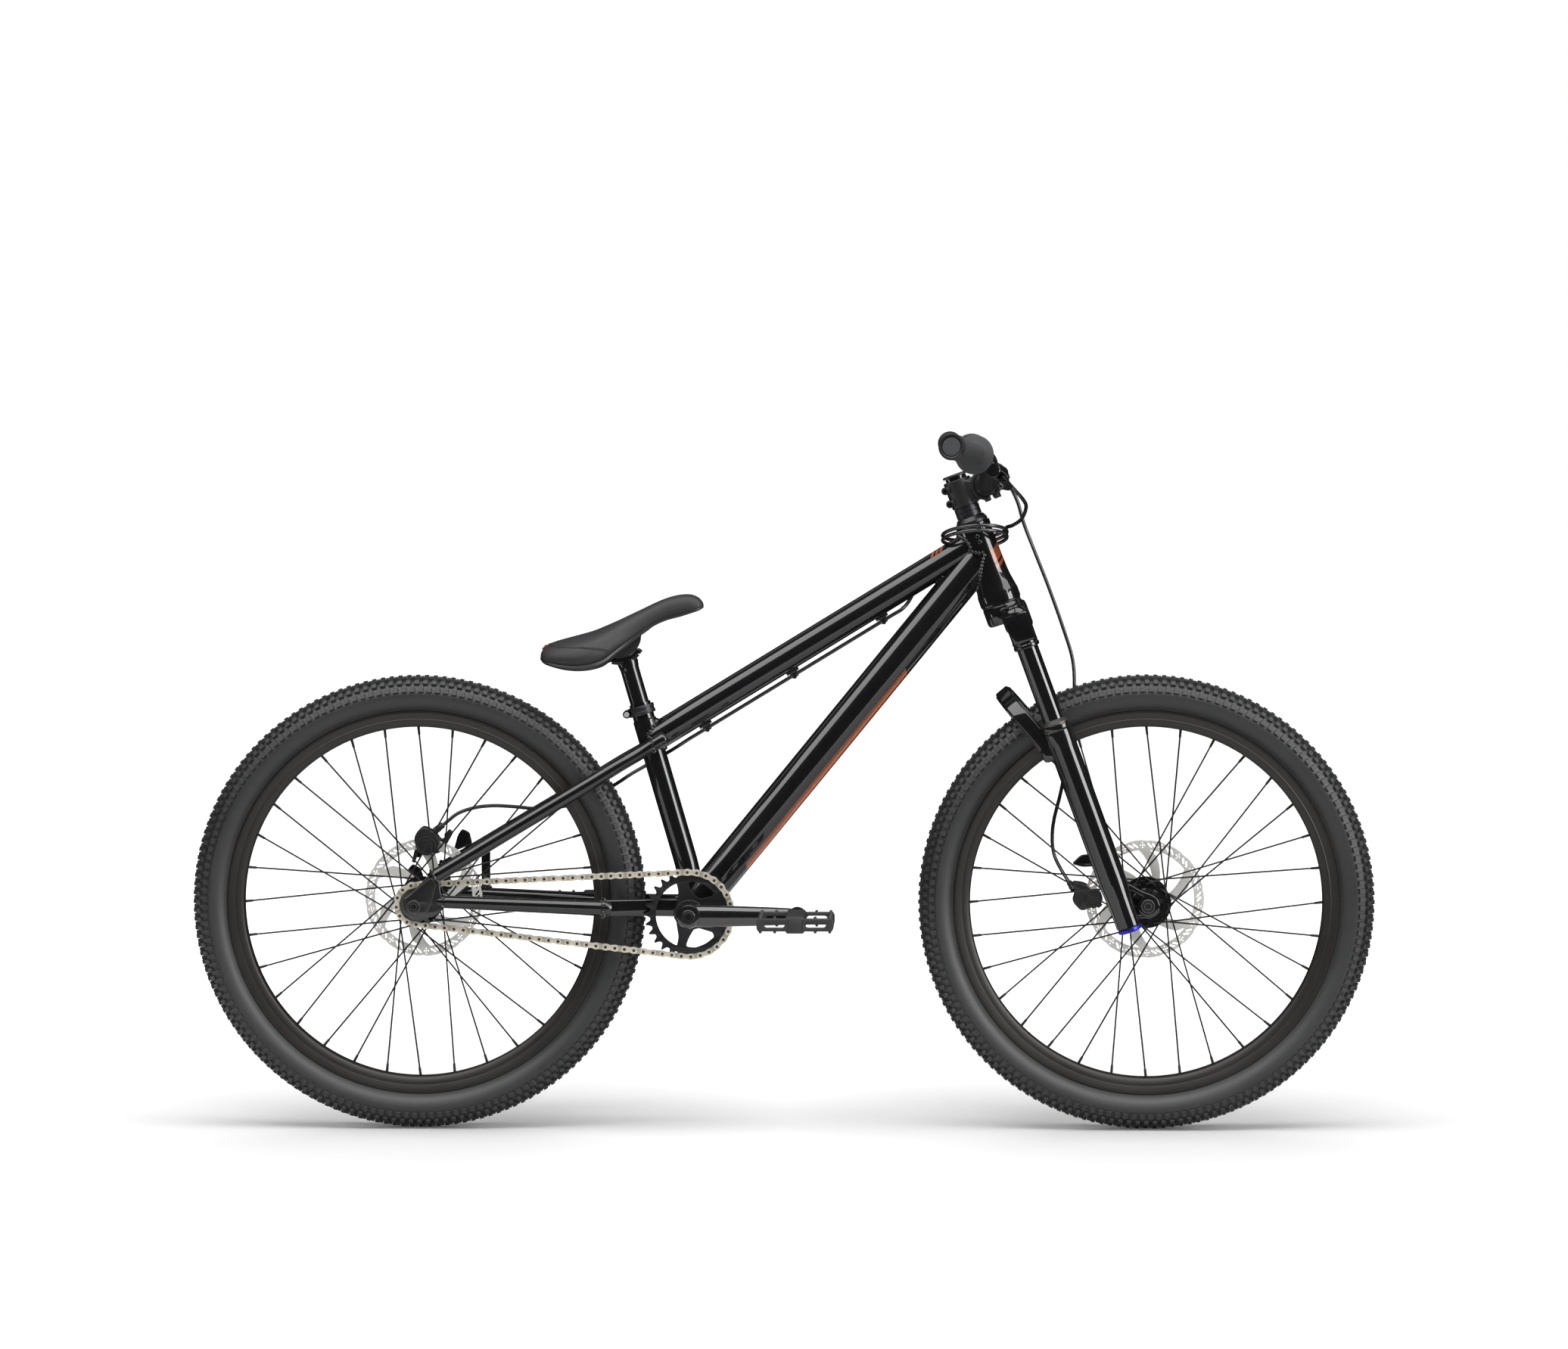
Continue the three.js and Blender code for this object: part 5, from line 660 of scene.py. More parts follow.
# A lighter grey line round each dropout's hood: a painted highlight where its edge catches the light.
edge_highlight_paint = finish_of("edge_highlight_paint", (0.05, 0.05, 0.052), 0.4, scale=300, spread=0.08)
dropout_paint = finish_of("dropout_paint", (0.0125, 0.0125, 0.0135), 0.34, scale=300, spread=0.08, bump=0.2,
                          coat=0.5, coat_roughness=0.16)
for side, hand in both_sides:
    rear_end, front_end = mirrored((chainstay_rear, chainstay_front), side)
    way = (front_end - rear_end).normalized()
    thin, thick = chainstay_radii
    line = [(rear_end - way * 0.005, thin * 0.8), (rear_end - way * 0.001, thin * 0.97),
            (rear_end + way * 0.01, thin), (front_end, thick), (front_end + way * 0.004, thick * 0.96),
            (front_end + way * 0.009, thick * 0.7)]
    yoke = [(x, y * side) for x, y in outline_at(yoke_outline)]
    lower = [tube([line], 36),
             plate([rounded(yoke, 0.2)], yoke_height, Vector((0, 0, front_end.z)), forward, left, 0.003),
             weld_bead(loop_round(front_end - way * 0.002, way, thick + 0.0002), True, head_bead_share),
             weld_bead(loop_round(rear_end + way * 0.003, way, thin + 0.0002))]
    middle = Vector((0, side * dropout_middle, 0))
    raised = Vector((0, side * (dropout_middle + 0.0036), 0))
    axle_bore = circle(0.0053, -0.489, 0.306)
    hood_form = rounded(outline_at(hood_outline), 0.3)
    dropout_form = rounded(outline_at(dropout_outline), 0.3)
    forged = [plate([dropout_form, axle_bore], dropout_thickness, middle, bevel=0.0012),
              plate([hood_form, axle_bore], 0.0022, raised),
              plate([rounded(outline_at(boss_outline), 0.4), axle_bore], 0.0032, raised, bevel=0.0013)]
    hood_line = [Vector((x, raised.y + side * 0.001, z)) for x, z in hood_form]
    # The hood's outline is traced in the lighter grey, a painted highlight on its edge.
    piece(f"dropout_forged_{hand}", forged, dropout_paint, "frame")
    piece(f"dropout_highlight_line_{hand}", [tube([[(spot, 0.0005) for spot in hood_line]], 8, True)],
          edge_highlight_paint, "frame")
    places = mirrored([at(*place) for place in seatstay_places], side)
    line = smooth_line(places, 6)
    start_way = (line[0] - line[1]).normalized()
    cap = [(line[0] + start_way * 0.0052, 0.004), (line[0] + start_way * 0.004, 0.0072),
           (line[0] + start_way * 0.002, 0.009)]
    end_way = (line[-1] - line[-2]).normalized()
    foot = [(line[-1] + end_way * 0.006, 0.0085), (line[-1] + end_way * 0.009, 0.006)]
    upper = [tube([[*cap, *((spot, 0.0095) for spot in line), *foot]], 36),
             weld_bead(loop_round(line[-1] + end_way * 0.001, end_way, 0.0097)),
             weld_bead(joint_line(line[4], start_way, 0.0088, *seat_side, 40))]
    if side > 0:
        brace_foot, brace_head = at(-405, 64, 315), at(-405, 61.5, 379)
        lower.append(block((0.012, 0.0055, 0.062), (brace_foot + brace_head) / 2, bevel=0.002))
        lower.append(weld_bead(loop_round(brace_foot + upward * 0.004, upward, 0.0062, 24)))
        upper.append(weld_bead(loop_round(brace_head - upward * 0.003, upward, 0.0062, 24)))
        upper.append(plate([rounded(outline_at(upper_lug_outline), 0.25)], lug_thickness,
                           Vector((0, lug_middle, 0))))
        lower.append(plate([rounded(outline_at(lower_lug_outline), 0.25)], dropout_thickness, middle))
    piece(f"chainstay_welded_{hand}", lower, frame_paint, "frame", [f"chainstay_{hand}"])
    piece(f"seatstay_welded_{hand}", upper, frame_paint, "frame", [f"seatstay_{hand}"])

beads = [weld_bead(seam, True, head_bead_share) for seam in seams]
beads.append(weld_bead(crotch, False, head_bead_share))
piece("frame_welds", beads, frame_paint, "frame", crease=60)

# Bearings and small frame parts
# Turned black alloy: the headset's two races, the outboard bracket cups, the bolt-up rear axle
# and the split collar that clamps the post.
black_alloy = finish_of("black_alloy", (0.024, 0.024, 0.027), 0.38, 0.4, scale=700, spread=0.12)
black_steel = finish_of("black_steel", (0.02, 0.02, 0.022), 0.3, 0.5, scale=500, spread=0.15)
cup_outer = 0.0418

lower_race = [(0.0203, -0.0026), (0.0262, -0.0026), (0.027, -0.0018), (0.027, -0.0006), (0.0262, -0.0002),
              (0.024, -0.0002), (0.024, 0.0085), (0.0203, 0.0085)]
piece("headset_lower_race", [ring(lower_race, head_foot, steer_up)], black_alloy, "frame",
      ["headset_lower"])
cover_heights = [(0.0149, -0.0075), (0.0193, -0.0075), (0.0193, 0.0003), (0.0212, 0.0003), (0.0216, 0.0008),
                 (0.0216, 0.0042), (0.0208, 0.0052), (0.0186, 0.0092), (0.0178, 0.01), (0.0149, 0.01)]
upper_cover = [(radius, head_length + height) for radius, height in cover_heights]
piece("headset_upper_cover", [ring(upper_cover, head_foot, steer_up)], black_alloy, "frame",
      ["headset_upper"])
for side, hand in both_sides:
    cup = [(0.0102, 0.0203), (0.0166, 0.0203), (0.0166, 0.0343), (0.0203, 0.0343), (0.021, 0.035),
           (0.021, 0.0382), (0.0198, 0.0388), (0.0198, 0.0412), (0.019, cup_outer), (0.0102, cup_outer)]
    notches = []
    for i in range(12):
        turn = Matrix.Rotation(radians(15 + 30 * i), 3, "Y")
        notch_at = bracket + turn @ Vector((0.0202, side * 0.0367, 0))
        notches.append(block((0.0035, 0.0036, 0.0022), notch_at, (turn @ forward, left, turn @ upward),
                             0.0004))
    piece(f"bracket_cup_{hand}", [ring(cup, bracket, left * side), *notches], black_alloy,
          "frame", [f"bb_cup_{hand}"])

axle_end = 0.0781
axle_profile = [
    (0, -axle_end), (0.0045, -axle_end), (0.0045, 0.002 - axle_end), (0.0052, 0.002 - axle_end),
    (0.0052, -axle_end), (0.0088, -axle_end), (0.0095, 0.0008 - axle_end), (0.0095, 0.0037 - axle_end),
    (0.005, 0.0039 - axle_end), (0.005, axle_end - 0.0039), (0.0095, axle_end - 0.0037),
    (0.0095, axle_end - 0.0008), (0.0088, axle_end), (0, axle_end),
]
nut = [turned([(0.0035, 0), (0.0072, 0), (0.0072, 0.0006), (0.0035, 0.0006)],
              rear_hub_at + left * side * (axle_end - 0.0003), left * side, 6) for side in (1, -1)]
piece("rear_axle_bolted", [turned(axle_profile, rear_hub_at, left, 48), *nut], black_steel,
      "frame", ["rear_axle"])
# A lighter grey for thin rings at the axle ends: painted highlights on their edges.
highlight_grey = finish_of("highlight_grey", (0.1, 0.1, 0.103), 0.4, scale=500)


def axle_highlight_rings(hub_at, reach, radii):
    """Fine lighter rings at both ends of an axle: painted highlights on its edges."""
    rings = [loop_round(hub_at + left * side * reach, left, radius) for side in (1, -1) for radius in radii]
    return [tube([[(spot, 0.0004) for spot in line]], 8, True) for line in rings]


piece("rear_axle_highlight_rings", axle_highlight_rings(rear_hub_at, axle_end, (0.0042, 0.0071, 0.0088)), highlight_grey,
      "frame")

collar_foot = seat_at(seat_tube_top) - seat_up * 0.015
collar_profile = [(0.0154, 0), (0.0176, 0), (0.018, 0.0006), (0.018, 0.004), (0.0174, 0.0048),
                  (0.0174, 0.0072), (0.018, 0.008), (0.018, 0.0114), (0.0176, 0.012), (0.0154, 0.012)]
collar_axes = (seat_ahead, left, seat_up)
eye_at = collar_foot + seat_up * 0.006 - seat_ahead * 0.0205
eyes = []
for side in (1, -1):
    ear = eye_at + left * side * 0.0046
    eyes.append(turned([(0, 0), (0.0051, 0), (0.0055, 0.0004), (0.0055, 0.0064), (0.0051, 0.0068),
                        (0, 0.0068)], ear - left * side * 0.0034, left * side, 32))
    eyes.append(block((0.0075, 0.0068, 0.0105), ear + seat_ahead * 0.003, collar_axes, 0.0008))
    eyes.append(turned([(0.002, 0), (0.0038, 0), (0.0038, 0.0012), (0.002, 0.0012)],
                       ear + left * side * 0.0032, left * side, 24))
piece("seat_collar_split", [ring(collar_profile, collar_foot, seat_up, 56), *eyes], black_alloy,
      "frame", ["seat_collar"])
bolt_silver = finish_of("bolt_silver", (0.62, 0.62, 0.61), 0.35, 0.2, scale=600, depth=0.2)
bolt_face = [(0, 0), (0.0014, 0), (0.0016, 0.0012), (0.0031, 0.0012), (0.0036, 0.0006), (0.0036, -0.001),
             (0, -0.001)]
piece("seat_collar_bolt", [turned(bolt_face, eye_at - left * 0.0118, -left, 28)], bolt_silver,
      "frame")

# Fork crown and stanchions
# The crown is forged in one with its steerer, and painted gloss black. It grips two steel
# stanchions with a hard, dark and polished coating.
fork_paint = paint_of("fork_paint")
stanchion_black = finish_of("stanchion_black", (0.011, 0.011, 0.012), 0.1, scale=300, spread=0.03,
                            bump=0.01, specular=0.7)
leg_spread = 0.065
leg_ahead = 0.012 / cos(steer_lean)
stanchion_radius = 0.0145
seal_height = 0.5497
foot_height = 0.279
socket_foot_height, socket_top = 0.651, 0.704
steerer_top = 0.877
crown_top = head_foot - steer_up * 0.0029
crown_outline = [(-65, -10), (-65, -35), (-48, -35), (-30, -27), (30, -27), (48, -35), (65, -35), (65, -10),
                 (32, 0), (-32, 0)]


def leg_at(height, side):
    """The point of a fork leg's axis at a height."""
    return steer_at(height) + forward * leg_ahead + left * (side * leg_spread)


steerer_run = (steerer_top - crown_top.z) / cos(steer_lean)
boss_profile = [
    (0.0121, -0.025), (0.0235, -0.025), (0.0258, -0.0235), (0.027, -0.0205), (0.027, -0.0012), (0.0262, 0),
    (0.0243, 0.0002), (0.0192, 0.0002), (0.0143, 0.004), (0.0143, steerer_run), (0.0121, steerer_run),
]
yoke_middle = crown_top + steer_ahead * 0.012 - steer_up * 0.0032
crown_parts = [ring(boss_profile, crown_top, steer_up),
               plate([rounded(outline_at(crown_outline), 0.4)], 0.038, yoke_middle, left, steer_up, 0.0055)]
socket_length = (socket_top - socket_foot_height) / cos(steer_lean)
socket_profile = [
    (0.0147, 0), (0.0166, 0), (0.0176, 0.0012), (0.0176, 0.0045), (0.0168, 0.0056), (0.0172, 0.03),
    (0.0176, socket_length - 0.009), (0.0166, socket_length - 0.0045), (0.0138, socket_length - 0.0012),
    (0.009, socket_length), (0, socket_length),
]
for side, hand in both_sides:
    socket_foot = leg_at(socket_foot_height, side)
    crown_parts.append(turned(socket_profile, socket_foot, steer_up, 64))
    cover = socket_foot + steer_up * 0.0285 + left * side * 0.0085
    crown_parts.append(block((0.0325, 0.02, 0.041), cover, (steer_ahead, left, steer_up), 0.0045))
    crown_parts.append(turned([(0, 0), (0.0105, 0), (0.0115, 0.0012), (0.0108, 0.0026), (0.0045, 0.003),
                               (0.0045, 0.0016), (0, 0.0016)], socket_foot
                              + steer_up * (socket_length - 0.0008), steer_up, 40))
    stanchion_foot = leg_at(seal_height, side) - steer_up * 0.15
    stanchion_head = leg_at(socket_top, side) - steer_up * 0.0095
    stanchion_run = (stanchion_head - stanchion_foot).length
    wall = [(0.0123, 0), (stanchion_radius, 0), (stanchion_radius, stanchion_run), (0.0123, stanchion_run)]
    piece(f"stanchion_tube_{hand}", [ring(wall, stanchion_foot, steer_up, 64)], stanchion_black,
          "steering", [f"stanchion_{hand}"])
piece("fork_crown_forged", crown_parts, fork_paint, "steering", ["fork_crown"])

# Fork legs
# Cast magnesium lower legs and their arch in one piece, with looped dropouts, a wiper at the
# top of each leg and lugs for the brake on the left one.
leg_length = (seal_height - foot_height) / cos(steer_lean)
drop_middle = 0.056
loop_outline = [(-35, 33), (-22, 29), (-8, 20.5), (4, 16.6), (13, 11), (17, 0), (14, -10), (5, -16.4),
                (-7, -16), (-20, -17), (-33, -22)]
loop_window = [(-25, 21.5), (-13, 15.5), (-7, 12.3), (-10.4, 6), (-11.6, 0), (-10, -6), (-7.5, -10.4),
               (-14, -11), (-23, -13)]
front_upper_lug = [(-98, 46), (-86, 58), (-50, 62), (-46, 44), (-84, 42)]
front_lower_lug = [(-62, -26), (-50, -31), (-36, -24), (-40, -8), (-54, -12)]
arch_lean = radians(40.2)
arch_rise = Vector((-sin(arch_lean), 0, cos(arch_lean)))
arch_foot = leg_at(0.528, 0) - steer_ahead * 0.021
wiper_rubber = finish_of("wiper_rubber", (0.012, 0.012, 0.012), 0.5, scale=500)
bronze_ring = finish_of("bronze_ring", (0.2, 0.12, 0.07), 0.35, 0.9, scale=400)


def round_hub(places, hub_at):
    """An outline about a hub, from millimetres."""
    return [(hub_at.x + x / 1000, hub_at.z + y / 1000) for x, y in places]


def arch_line(half, reach):
    """Half a hoop: straight sides and an elliptic top."""
    bend = [(half * cos(pi * i / 20), reach * (0.38 + 0.62 * sin(pi * i / 20))) for i in range(21)]
    return [(half, -0.004), *bend, (-half, -0.004)]


outer_arch, inner_arch = arch_line(0.0705, 0.092), arch_line(0.0595, 0.081)
arch_outline = [*outer_arch, *reversed(inner_arch)]
mid_outer, mid_inner = arch_line(0.0668, 0.0885), arch_line(0.0632, 0.0845)
lowers = [plate([arch_outline], 0.02, arch_foot, left, arch_rise, 0.0028),
          plate([[*mid_outer, *reversed(mid_inner)]], 0.0232, arch_foot, left, arch_rise, 0.0012)]
for side, hand in both_sides:
    foot = leg_at(foot_height, side)
    taper = [
        (0.0, 0.0), (0.0152, 0), (0.0166, 0.0012), (0.0168, 0.022), (0.0176, 0.041), (0.0188, 0.058),
        (0.019, 0.064), (0.019, leg_length - 0.034), (0.0198, leg_length - 0.028),
        (0.02, leg_length - 0.014), (0.0194, leg_length - 0.0095), (0.0202, leg_length - 0.008),
        (0.0202, leg_length - 0.0008), (0.0197, leg_length), (0.0149, leg_length),
        (0.0149, leg_length - 0.01), (0.0, leg_length - 0.01),
    ]
    lowers.append(turned(taper, foot, steer_up, 64))
    flare = leg_at(0.521, side) - steer_ahead * 0.0155
    lowers.append(block((0.031, 0.0125, 0.03), flare + left * side * 0.0005, (steer_ahead, left, steer_up),
                        0.0055))
    middle = Vector((0, side * drop_middle, 0))
    axle_hole = circle(0.0079, front_hub_at.x, front_hub_at.z)
    lowers.append(plate([rounded(round_hub(loop_outline, front_hub_at), 0.35),
                         rounded(round_hub(loop_window, front_hub_at), 0.3), axle_hole], 0.0116, middle,
                        bevel=0.0022))
    lip = [(0.0098, 0), (0.0132, 0), (0.0138, 0.0006), (0.0138, 0.0012), (0.0128, 0.0016), (0.0098, 0.0016)]
    lowers.append(ring(lip, front_hub_at + left * side * 0.0606, left * side, 48))
for lug in (front_upper_lug, front_lower_lug):
    lowers.append(plate([rounded(round_hub(lug, front_hub_at), 0.25)], 0.011, Vector((0, 0.0555, 0)),
                        bevel=0.0016))
piece("fork_lower_legs", lowers, fork_paint, "fork_legs", ["fork_lowers"])
for side, hand in both_sides:
    seal = leg_at(seal_height, side)
    lips = [(0.01475, -0.001), (0.0188, -0.001), (0.0196, 0.0006), (0.0188, 0.0026), (0.0166, 0.0042),
            (0.0152, 0.0062), (0.01475, 0.0062)]
    piece(f"wiper_{hand}", [ring(lips, seal, steer_up, 56)], wiper_rubber, "fork_legs")
    band = [(0.0194, 0.0002), (0.0198, 0.0004), (0.0198, 0.0008), (0.0194, 0.001)]
    piece(f"wiper_spring_{hand}", [ring(band, seal, steer_up, 56)], bronze_ring, "fork_legs")

head_reach = 0.0638
front_axle_end = [
    (0, -0.0622), (0.0042, -0.0622), (0.0042, -0.0634), (0.0062, -0.0634), (0.0062, -head_reach),
    (0.0089, -head_reach), (0.0095, -0.0632), (0.0095, -0.0623), (0.0075, -0.0623),
]
axle_steel = finish_of("axle_steel", (0.06, 0.058, 0.058), 0.3, 0.8, scale=500)
piece("front_axle_hex", [turned(both_ends(front_axle_end), front_hub_at, left, 48)], axle_steel,
      "fork_legs", ["front_axle"])
# Lighter rings at the front axle's ends: painted highlights.
piece("front_axle_highlight_rings", axle_highlight_rings(front_hub_at, head_reach, (0.0045, 0.0087)), highlight_grey,
      "fork_legs")
violet_alloy = finish_of("violet_alloy", (0.035, 0.032, 0.42), 0.3, 0.75, scale=500)
knob_top = leg_at(foot_height, -1) - steer_up * 0.0003
knob_profile = [(0, -0.0065), (0.0128, -0.0065), (0.0146, -0.0058), (0.0158, -0.0042), (0.0158, -0.0018),
                (0.0152, -0.0002), (0, -0.0002)]
knob_grips = []
for i in range(20):
    turn = Matrix.Rotation(tau * i / 20, 3, steer_up)
    out = turn @ steer_ahead
    knob_grips.append(block((0.0012, 0.0024, 0.004), knob_top - steer_up * 0.0031 + out * 0.0156,
                            (out, steer_up.cross(out), steer_up), 0.0004))
piece("rebound_knob_violet", [turned(knob_profile, knob_top, steer_up, 60), *knob_grips], violet_alloy,
      "fork_legs", ["rebound_knob"])

# Tyres
# Black rubber tyres, 24 by 2.1 inches, moulded with rows of small square knobs over the
# crown and shoulders, a smooth sidewall and a thin line where they meet the rim.
tyre_rubber = finish_of("tyre_rubber", (0.023, 0.0232, 0.0238), 0.52, scale=260, depth=0.35, spread=0.12,
                        bump=0.25, relief=1e-4, specular=0.55)
knob_pitches = 160
knob_height = 0.0058
knob_rows = [(0.0, 0.3031, 0.0, 0.0046), (0.0098, 0.3007, 0.5, 0.0050), (0.0182, 0.2955, 0.0, 0.0054),
             (0.0243, 0.2868, 0.5, 0.0058)]
sidewall = [
    (0.2505, 0.0123), (0.2565, 0.0124), (0.2588, 0.0133), (0.2594, 0.0142), (0.2602, 0.0143),
    (0.2622, 0.0172), (0.2655, 0.0207), (0.2702, 0.0236), (0.2752, 0.0254), (0.2795, 0.0261),
    (0.2825, 0.0258), (0.285, 0.0245), (0.289, 0.0226), (0.2935, 0.0192), (0.2968, 0.015), (0.2992, 0.0098),
    (0.3006, 0.0045), (0.301, 0),
]
tread_angles = [radians(angle) for angle in (90, 72, 46, 20)]
both_wheels = (("front", front_hub_at), ("rear", rear_hub_at))


def repeated(mesh, matrices):
    """Copies of a mesh, each moved by its own matrix, in one mesh."""
    form = bmesh.new()
    for matrix in matrices:
        start = len(form.verts)
        form.from_mesh(mesh)
        form.verts.ensure_lookup_table()
        bmesh.ops.transform(form, matrix=matrix, verts=form.verts[start:])
    return mesh_from(form, "repeated")


def knob_form(length, width, height):
    """One tyre knob: a block that narrows towards its top, without a foot."""
    form = bmesh.new()
    bmesh.ops.create_cube(form, size=1)
    foot = [face for face in form.faces if face.normal.z < -0.5]
    bmesh.ops.delete(form, geom=foot, context="FACES_ONLY")
    top = [spot for spot in form.verts if spot.co.z > 0]
    bmesh.ops.scale(form, vec=(0.84, 0.84, 1), verts=top)
    bmesh.ops.scale(form, vec=(length, width, height), verts=form.verts)
    return mesh_from(form, "knob")


def tread(hub_at):
    """The rows of knobs round a tyre."""
    rows = []
    for (aside, radius, turn_share, length), angle in zip(knob_rows, tread_angles):
        knob = knob_form(length * 1.34, length * 1.34, knob_height)
        for side in ((1,) if aside == 0 else (1, -1)):
            out = Matrix.Rotation((pi / 2 - angle) * -side, 4, "X")
            places = []
            for i in range(knob_pitches):
                around = Matrix.Rotation(tau * (i + turn_share) / knob_pitches, 4, "Y")
                spot = Matrix.Translation((0, aside * side, radius))
                places.append(Matrix.Translation(hub_at) @ around @ spot @ out)
            rows.append(repeated(knob, places))
    return rows


for wheel, hub_at in both_wheels:
    far_half = [(radius, -height) for radius, height in reversed(sidewall[:-1])]
    inner = [(0.2505, -0.0093), (0.28, -0.022), (0.2965, -0.01), (0.2965, 0.01), (0.28, 0.022),
             (0.2505, 0.0093)]
    casing = ring([*sidewall, *far_half, *inner], hub_at, left, 160)
    piece(f"{wheel}_tyre_knobbed", [casing, *tread(hub_at)], tyre_rubber, f"{wheel}_wheel",
          [f"{wheel}_tyre"], crease=40)

# Rims and spokes
# Rolled aluminium rims in dark bronze, laced three cross with black spokes, whose nipples
# stand in through the rim.
rim_bronze = finish_of("rim_bronze", (0.021, 0.0178, 0.0158), 0.4, 0.3, scale=350)
spoke_black = finish_of("spoke_black", (0.009, 0.009, 0.009), 0.5, scale=500, specular=0.3)
rim_half = [
    (0.236, 0), (0.2361, 0.006), (0.2368, 0.0088), (0.2385, 0.0104), (0.2448, 0.0122), (0.2466, 0.0126),
    (0.2474, 0.0122), (0.2484, 0.0127), (0.2545, 0.0143), (0.2568, 0.015), (0.2579, 0.0147),
    (0.258, 0.0138), (0.2572, 0.0128), (0.2492, 0.0126), (0.249, 0),
]
spokes_each_side = 16
spoke_crossing = radians(67.5)
spoke_hub_radius = 0.0275
spoke_rim_radius = 0.2354
spoke_radius = 0.00115
rim_bed_radius = 0.236
flange_half = 0.0015
head_gap = 0.0009
head_half = 0.00125
wheel_hubs = {"front": (front_hub_at, -0.028, 0.022, 0.0325), "rear": (rear_hub_at, -0.025, 0.032, 0.031)}


def around_hub(hub_at, angle, radius, side):
    """A point of a wheel, by its angle from straight up, its radius and its place to the left."""
    return hub_at + Vector((radius * sin(angle), side, radius * cos(angle)))


for wheel, (hub_at, right_flange, left_flange, flange_radius) in wheel_hubs.items():
    rim_profile = [*rim_half, *[(radius, -side) for radius, side in reversed(rim_half[1:-1])]]
    piece(f"{wheel}_rim_rolled", [ring(rim_profile, hub_at, left, 144)], rim_bronze,
          f"{wheel}_wheel", [f"{wheel}_rim"])
    for hand, flange, turn_share in (("right", right_flange, 0), ("left", left_flange, 1 / 2)):
        sign = copysign(1, flange)
        lean = (flange_radius - spoke_hub_radius) * abs(flange) / rim_bed_radius
        hub_side = flange + sign * (flange_half + head_gap + head_half + lean)
        wires = []
        nipples = []
        for i in range(spokes_each_side):
            rim_angle = tau * (i + turn_share) / spokes_each_side
            hub_angle = rim_angle + (spoke_crossing if i % 2 == 0 else -spoke_crossing)
            start = around_hub(hub_at, hub_angle, spoke_hub_radius, hub_side)
            end = around_hub(hub_at, rim_angle, spoke_rim_radius, sign * 0.0016)
            way = (end - start).normalized()
            head = around_hub(hub_at, hub_angle, spoke_hub_radius + 0.0006, hub_side + sign * 0.0002)
            wires.append([(start - way * 0.002, spoke_radius), (end, spoke_radius)])
            wires.append([(head - left * sign * 0.0024, 0.0011), (head + left * sign * 0.0006, 0.0018),
                          (head + left * sign * 0.0014, 0.0014)])
            nipples.append([(end - way * 0.0105, 0.0013), (end - way * 0.0095, 0.0017),
                            (end + way * 0.0012, 0.0019)])
        piece(f"{wheel}_spoke_set_{hand}", [tube(wires, 8), tube(nipples, 12)], spoke_black,
              f"{wheel}_wheel", [f"{wheel}_spokes_{hand}"])

# Hubs
# Turned and anodised black, with drilled flanges. The front one has a wide flange each side,
# and both end in a splined seat for the brake disc.
hub_black = finish_of("hub_black", (0.016, 0.016, 0.018), 0.26, 0.5, scale=600)
hub_ends = {"front": (-0.0497, 0.0497, 0.0383, 0.011, 0.009, 0.011),
            "rear": (-0.034, 0.0672, 0.051, 0.009, 0.0056, 0.019)}


def flange_rim(middle, radius):
    """The outer edge of a hub's flange."""
    lip = radius - 0.0008
    return [(lip, middle - flange_half), (radius, middle - 0.0007), (radius, middle + 0.0007),
            (lip, middle + flange_half)]


for wheel, (hub_at, right_flange, left_flange, flange_radius) in wheel_hubs.items():
    right_end, left_end, disc_seat, end_radius, bore, right_radius = hub_ends[wheel]
    right_taper = right_end + 0.004 if wheel == "front" else right_flange - 0.005
    profile = [
        (bore, right_end), (right_radius - 0.0006, right_end), (right_radius, right_end + 0.0006),
        (right_radius, right_taper), (0.019, right_flange - flange_half - 0.0022),
        (0.0215, right_flange - flange_half), *flange_rim(right_flange, flange_radius),
        (0.0225, right_flange + flange_half), (0.0165, right_flange + 0.004),
        (0.014, right_flange + 0.0095), (0.014, left_flange - 0.0095), (0.0165, left_flange - 0.004),
        (0.0225, left_flange - flange_half), *flange_rim(left_flange, flange_radius),
        (0.0215, left_flange + flange_half), (0.019, left_flange + 0.004), (0.0195, disc_seat - 0.002),
        (0.0205, disc_seat - 0.0004), (0.0205, disc_seat), (0.017, disc_seat), (0.017, disc_seat + 0.0035),
        (end_radius + 0.001, disc_seat + 0.0035), (end_radius, disc_seat + 0.005),
        (end_radius, left_end - 0.0006), (end_radius - 0.0006, left_end), (bore, left_end),
    ]
    studs = []
    for flange in (right_flange, left_flange):
        sign = copysign(1, flange)
        for i in range(16):
            spot = around_hub(hub_at, tau * (i + 0.5) / 16, flange_radius - 0.0036, flange + sign * 0.0013)
            studs.append(ring([(0.0008, 0), (0.0017, 0), (0.0014, 0.0007), (0.0008, 0.0007)], spot,
                              left * sign, 12))
    piece(f"{wheel}_hub_turned", [ring(profile, hub_at, left, 80), *studs], hub_black,
          f"{wheel}_wheel", [f"{wheel}_hub"])

# Brake discs
# Stainless discs, laser cut: slanted slots and groups of small holes round the track, six
# swept arms, and a carrier held to the hub by six small bolts.
disc_steel = finish_of("disc_steel", (0.9, 0.885, 0.85), 0.5, 0.15, scale=500, depth=0.16, spread=0.12,
                       bump=0.15)
disc_bolt = finish_of("disc_bolt", (0.05, 0.05, 0.052), 0.3, 0.8, scale=500)
disc_radius = 0.08
disc_thickness = 0.0018
disc_groups = 18
track_radius = 0.0732
slot_half = 0.0032
slot_slant = 0.85
arm_step = pi / 3
arm_inner, arm_outer = 0.0265, 0.0655


def polar(radius, angle):
    """A flat point from its radius and angle."""
    return (radius * cos(angle), radius * sin(angle))


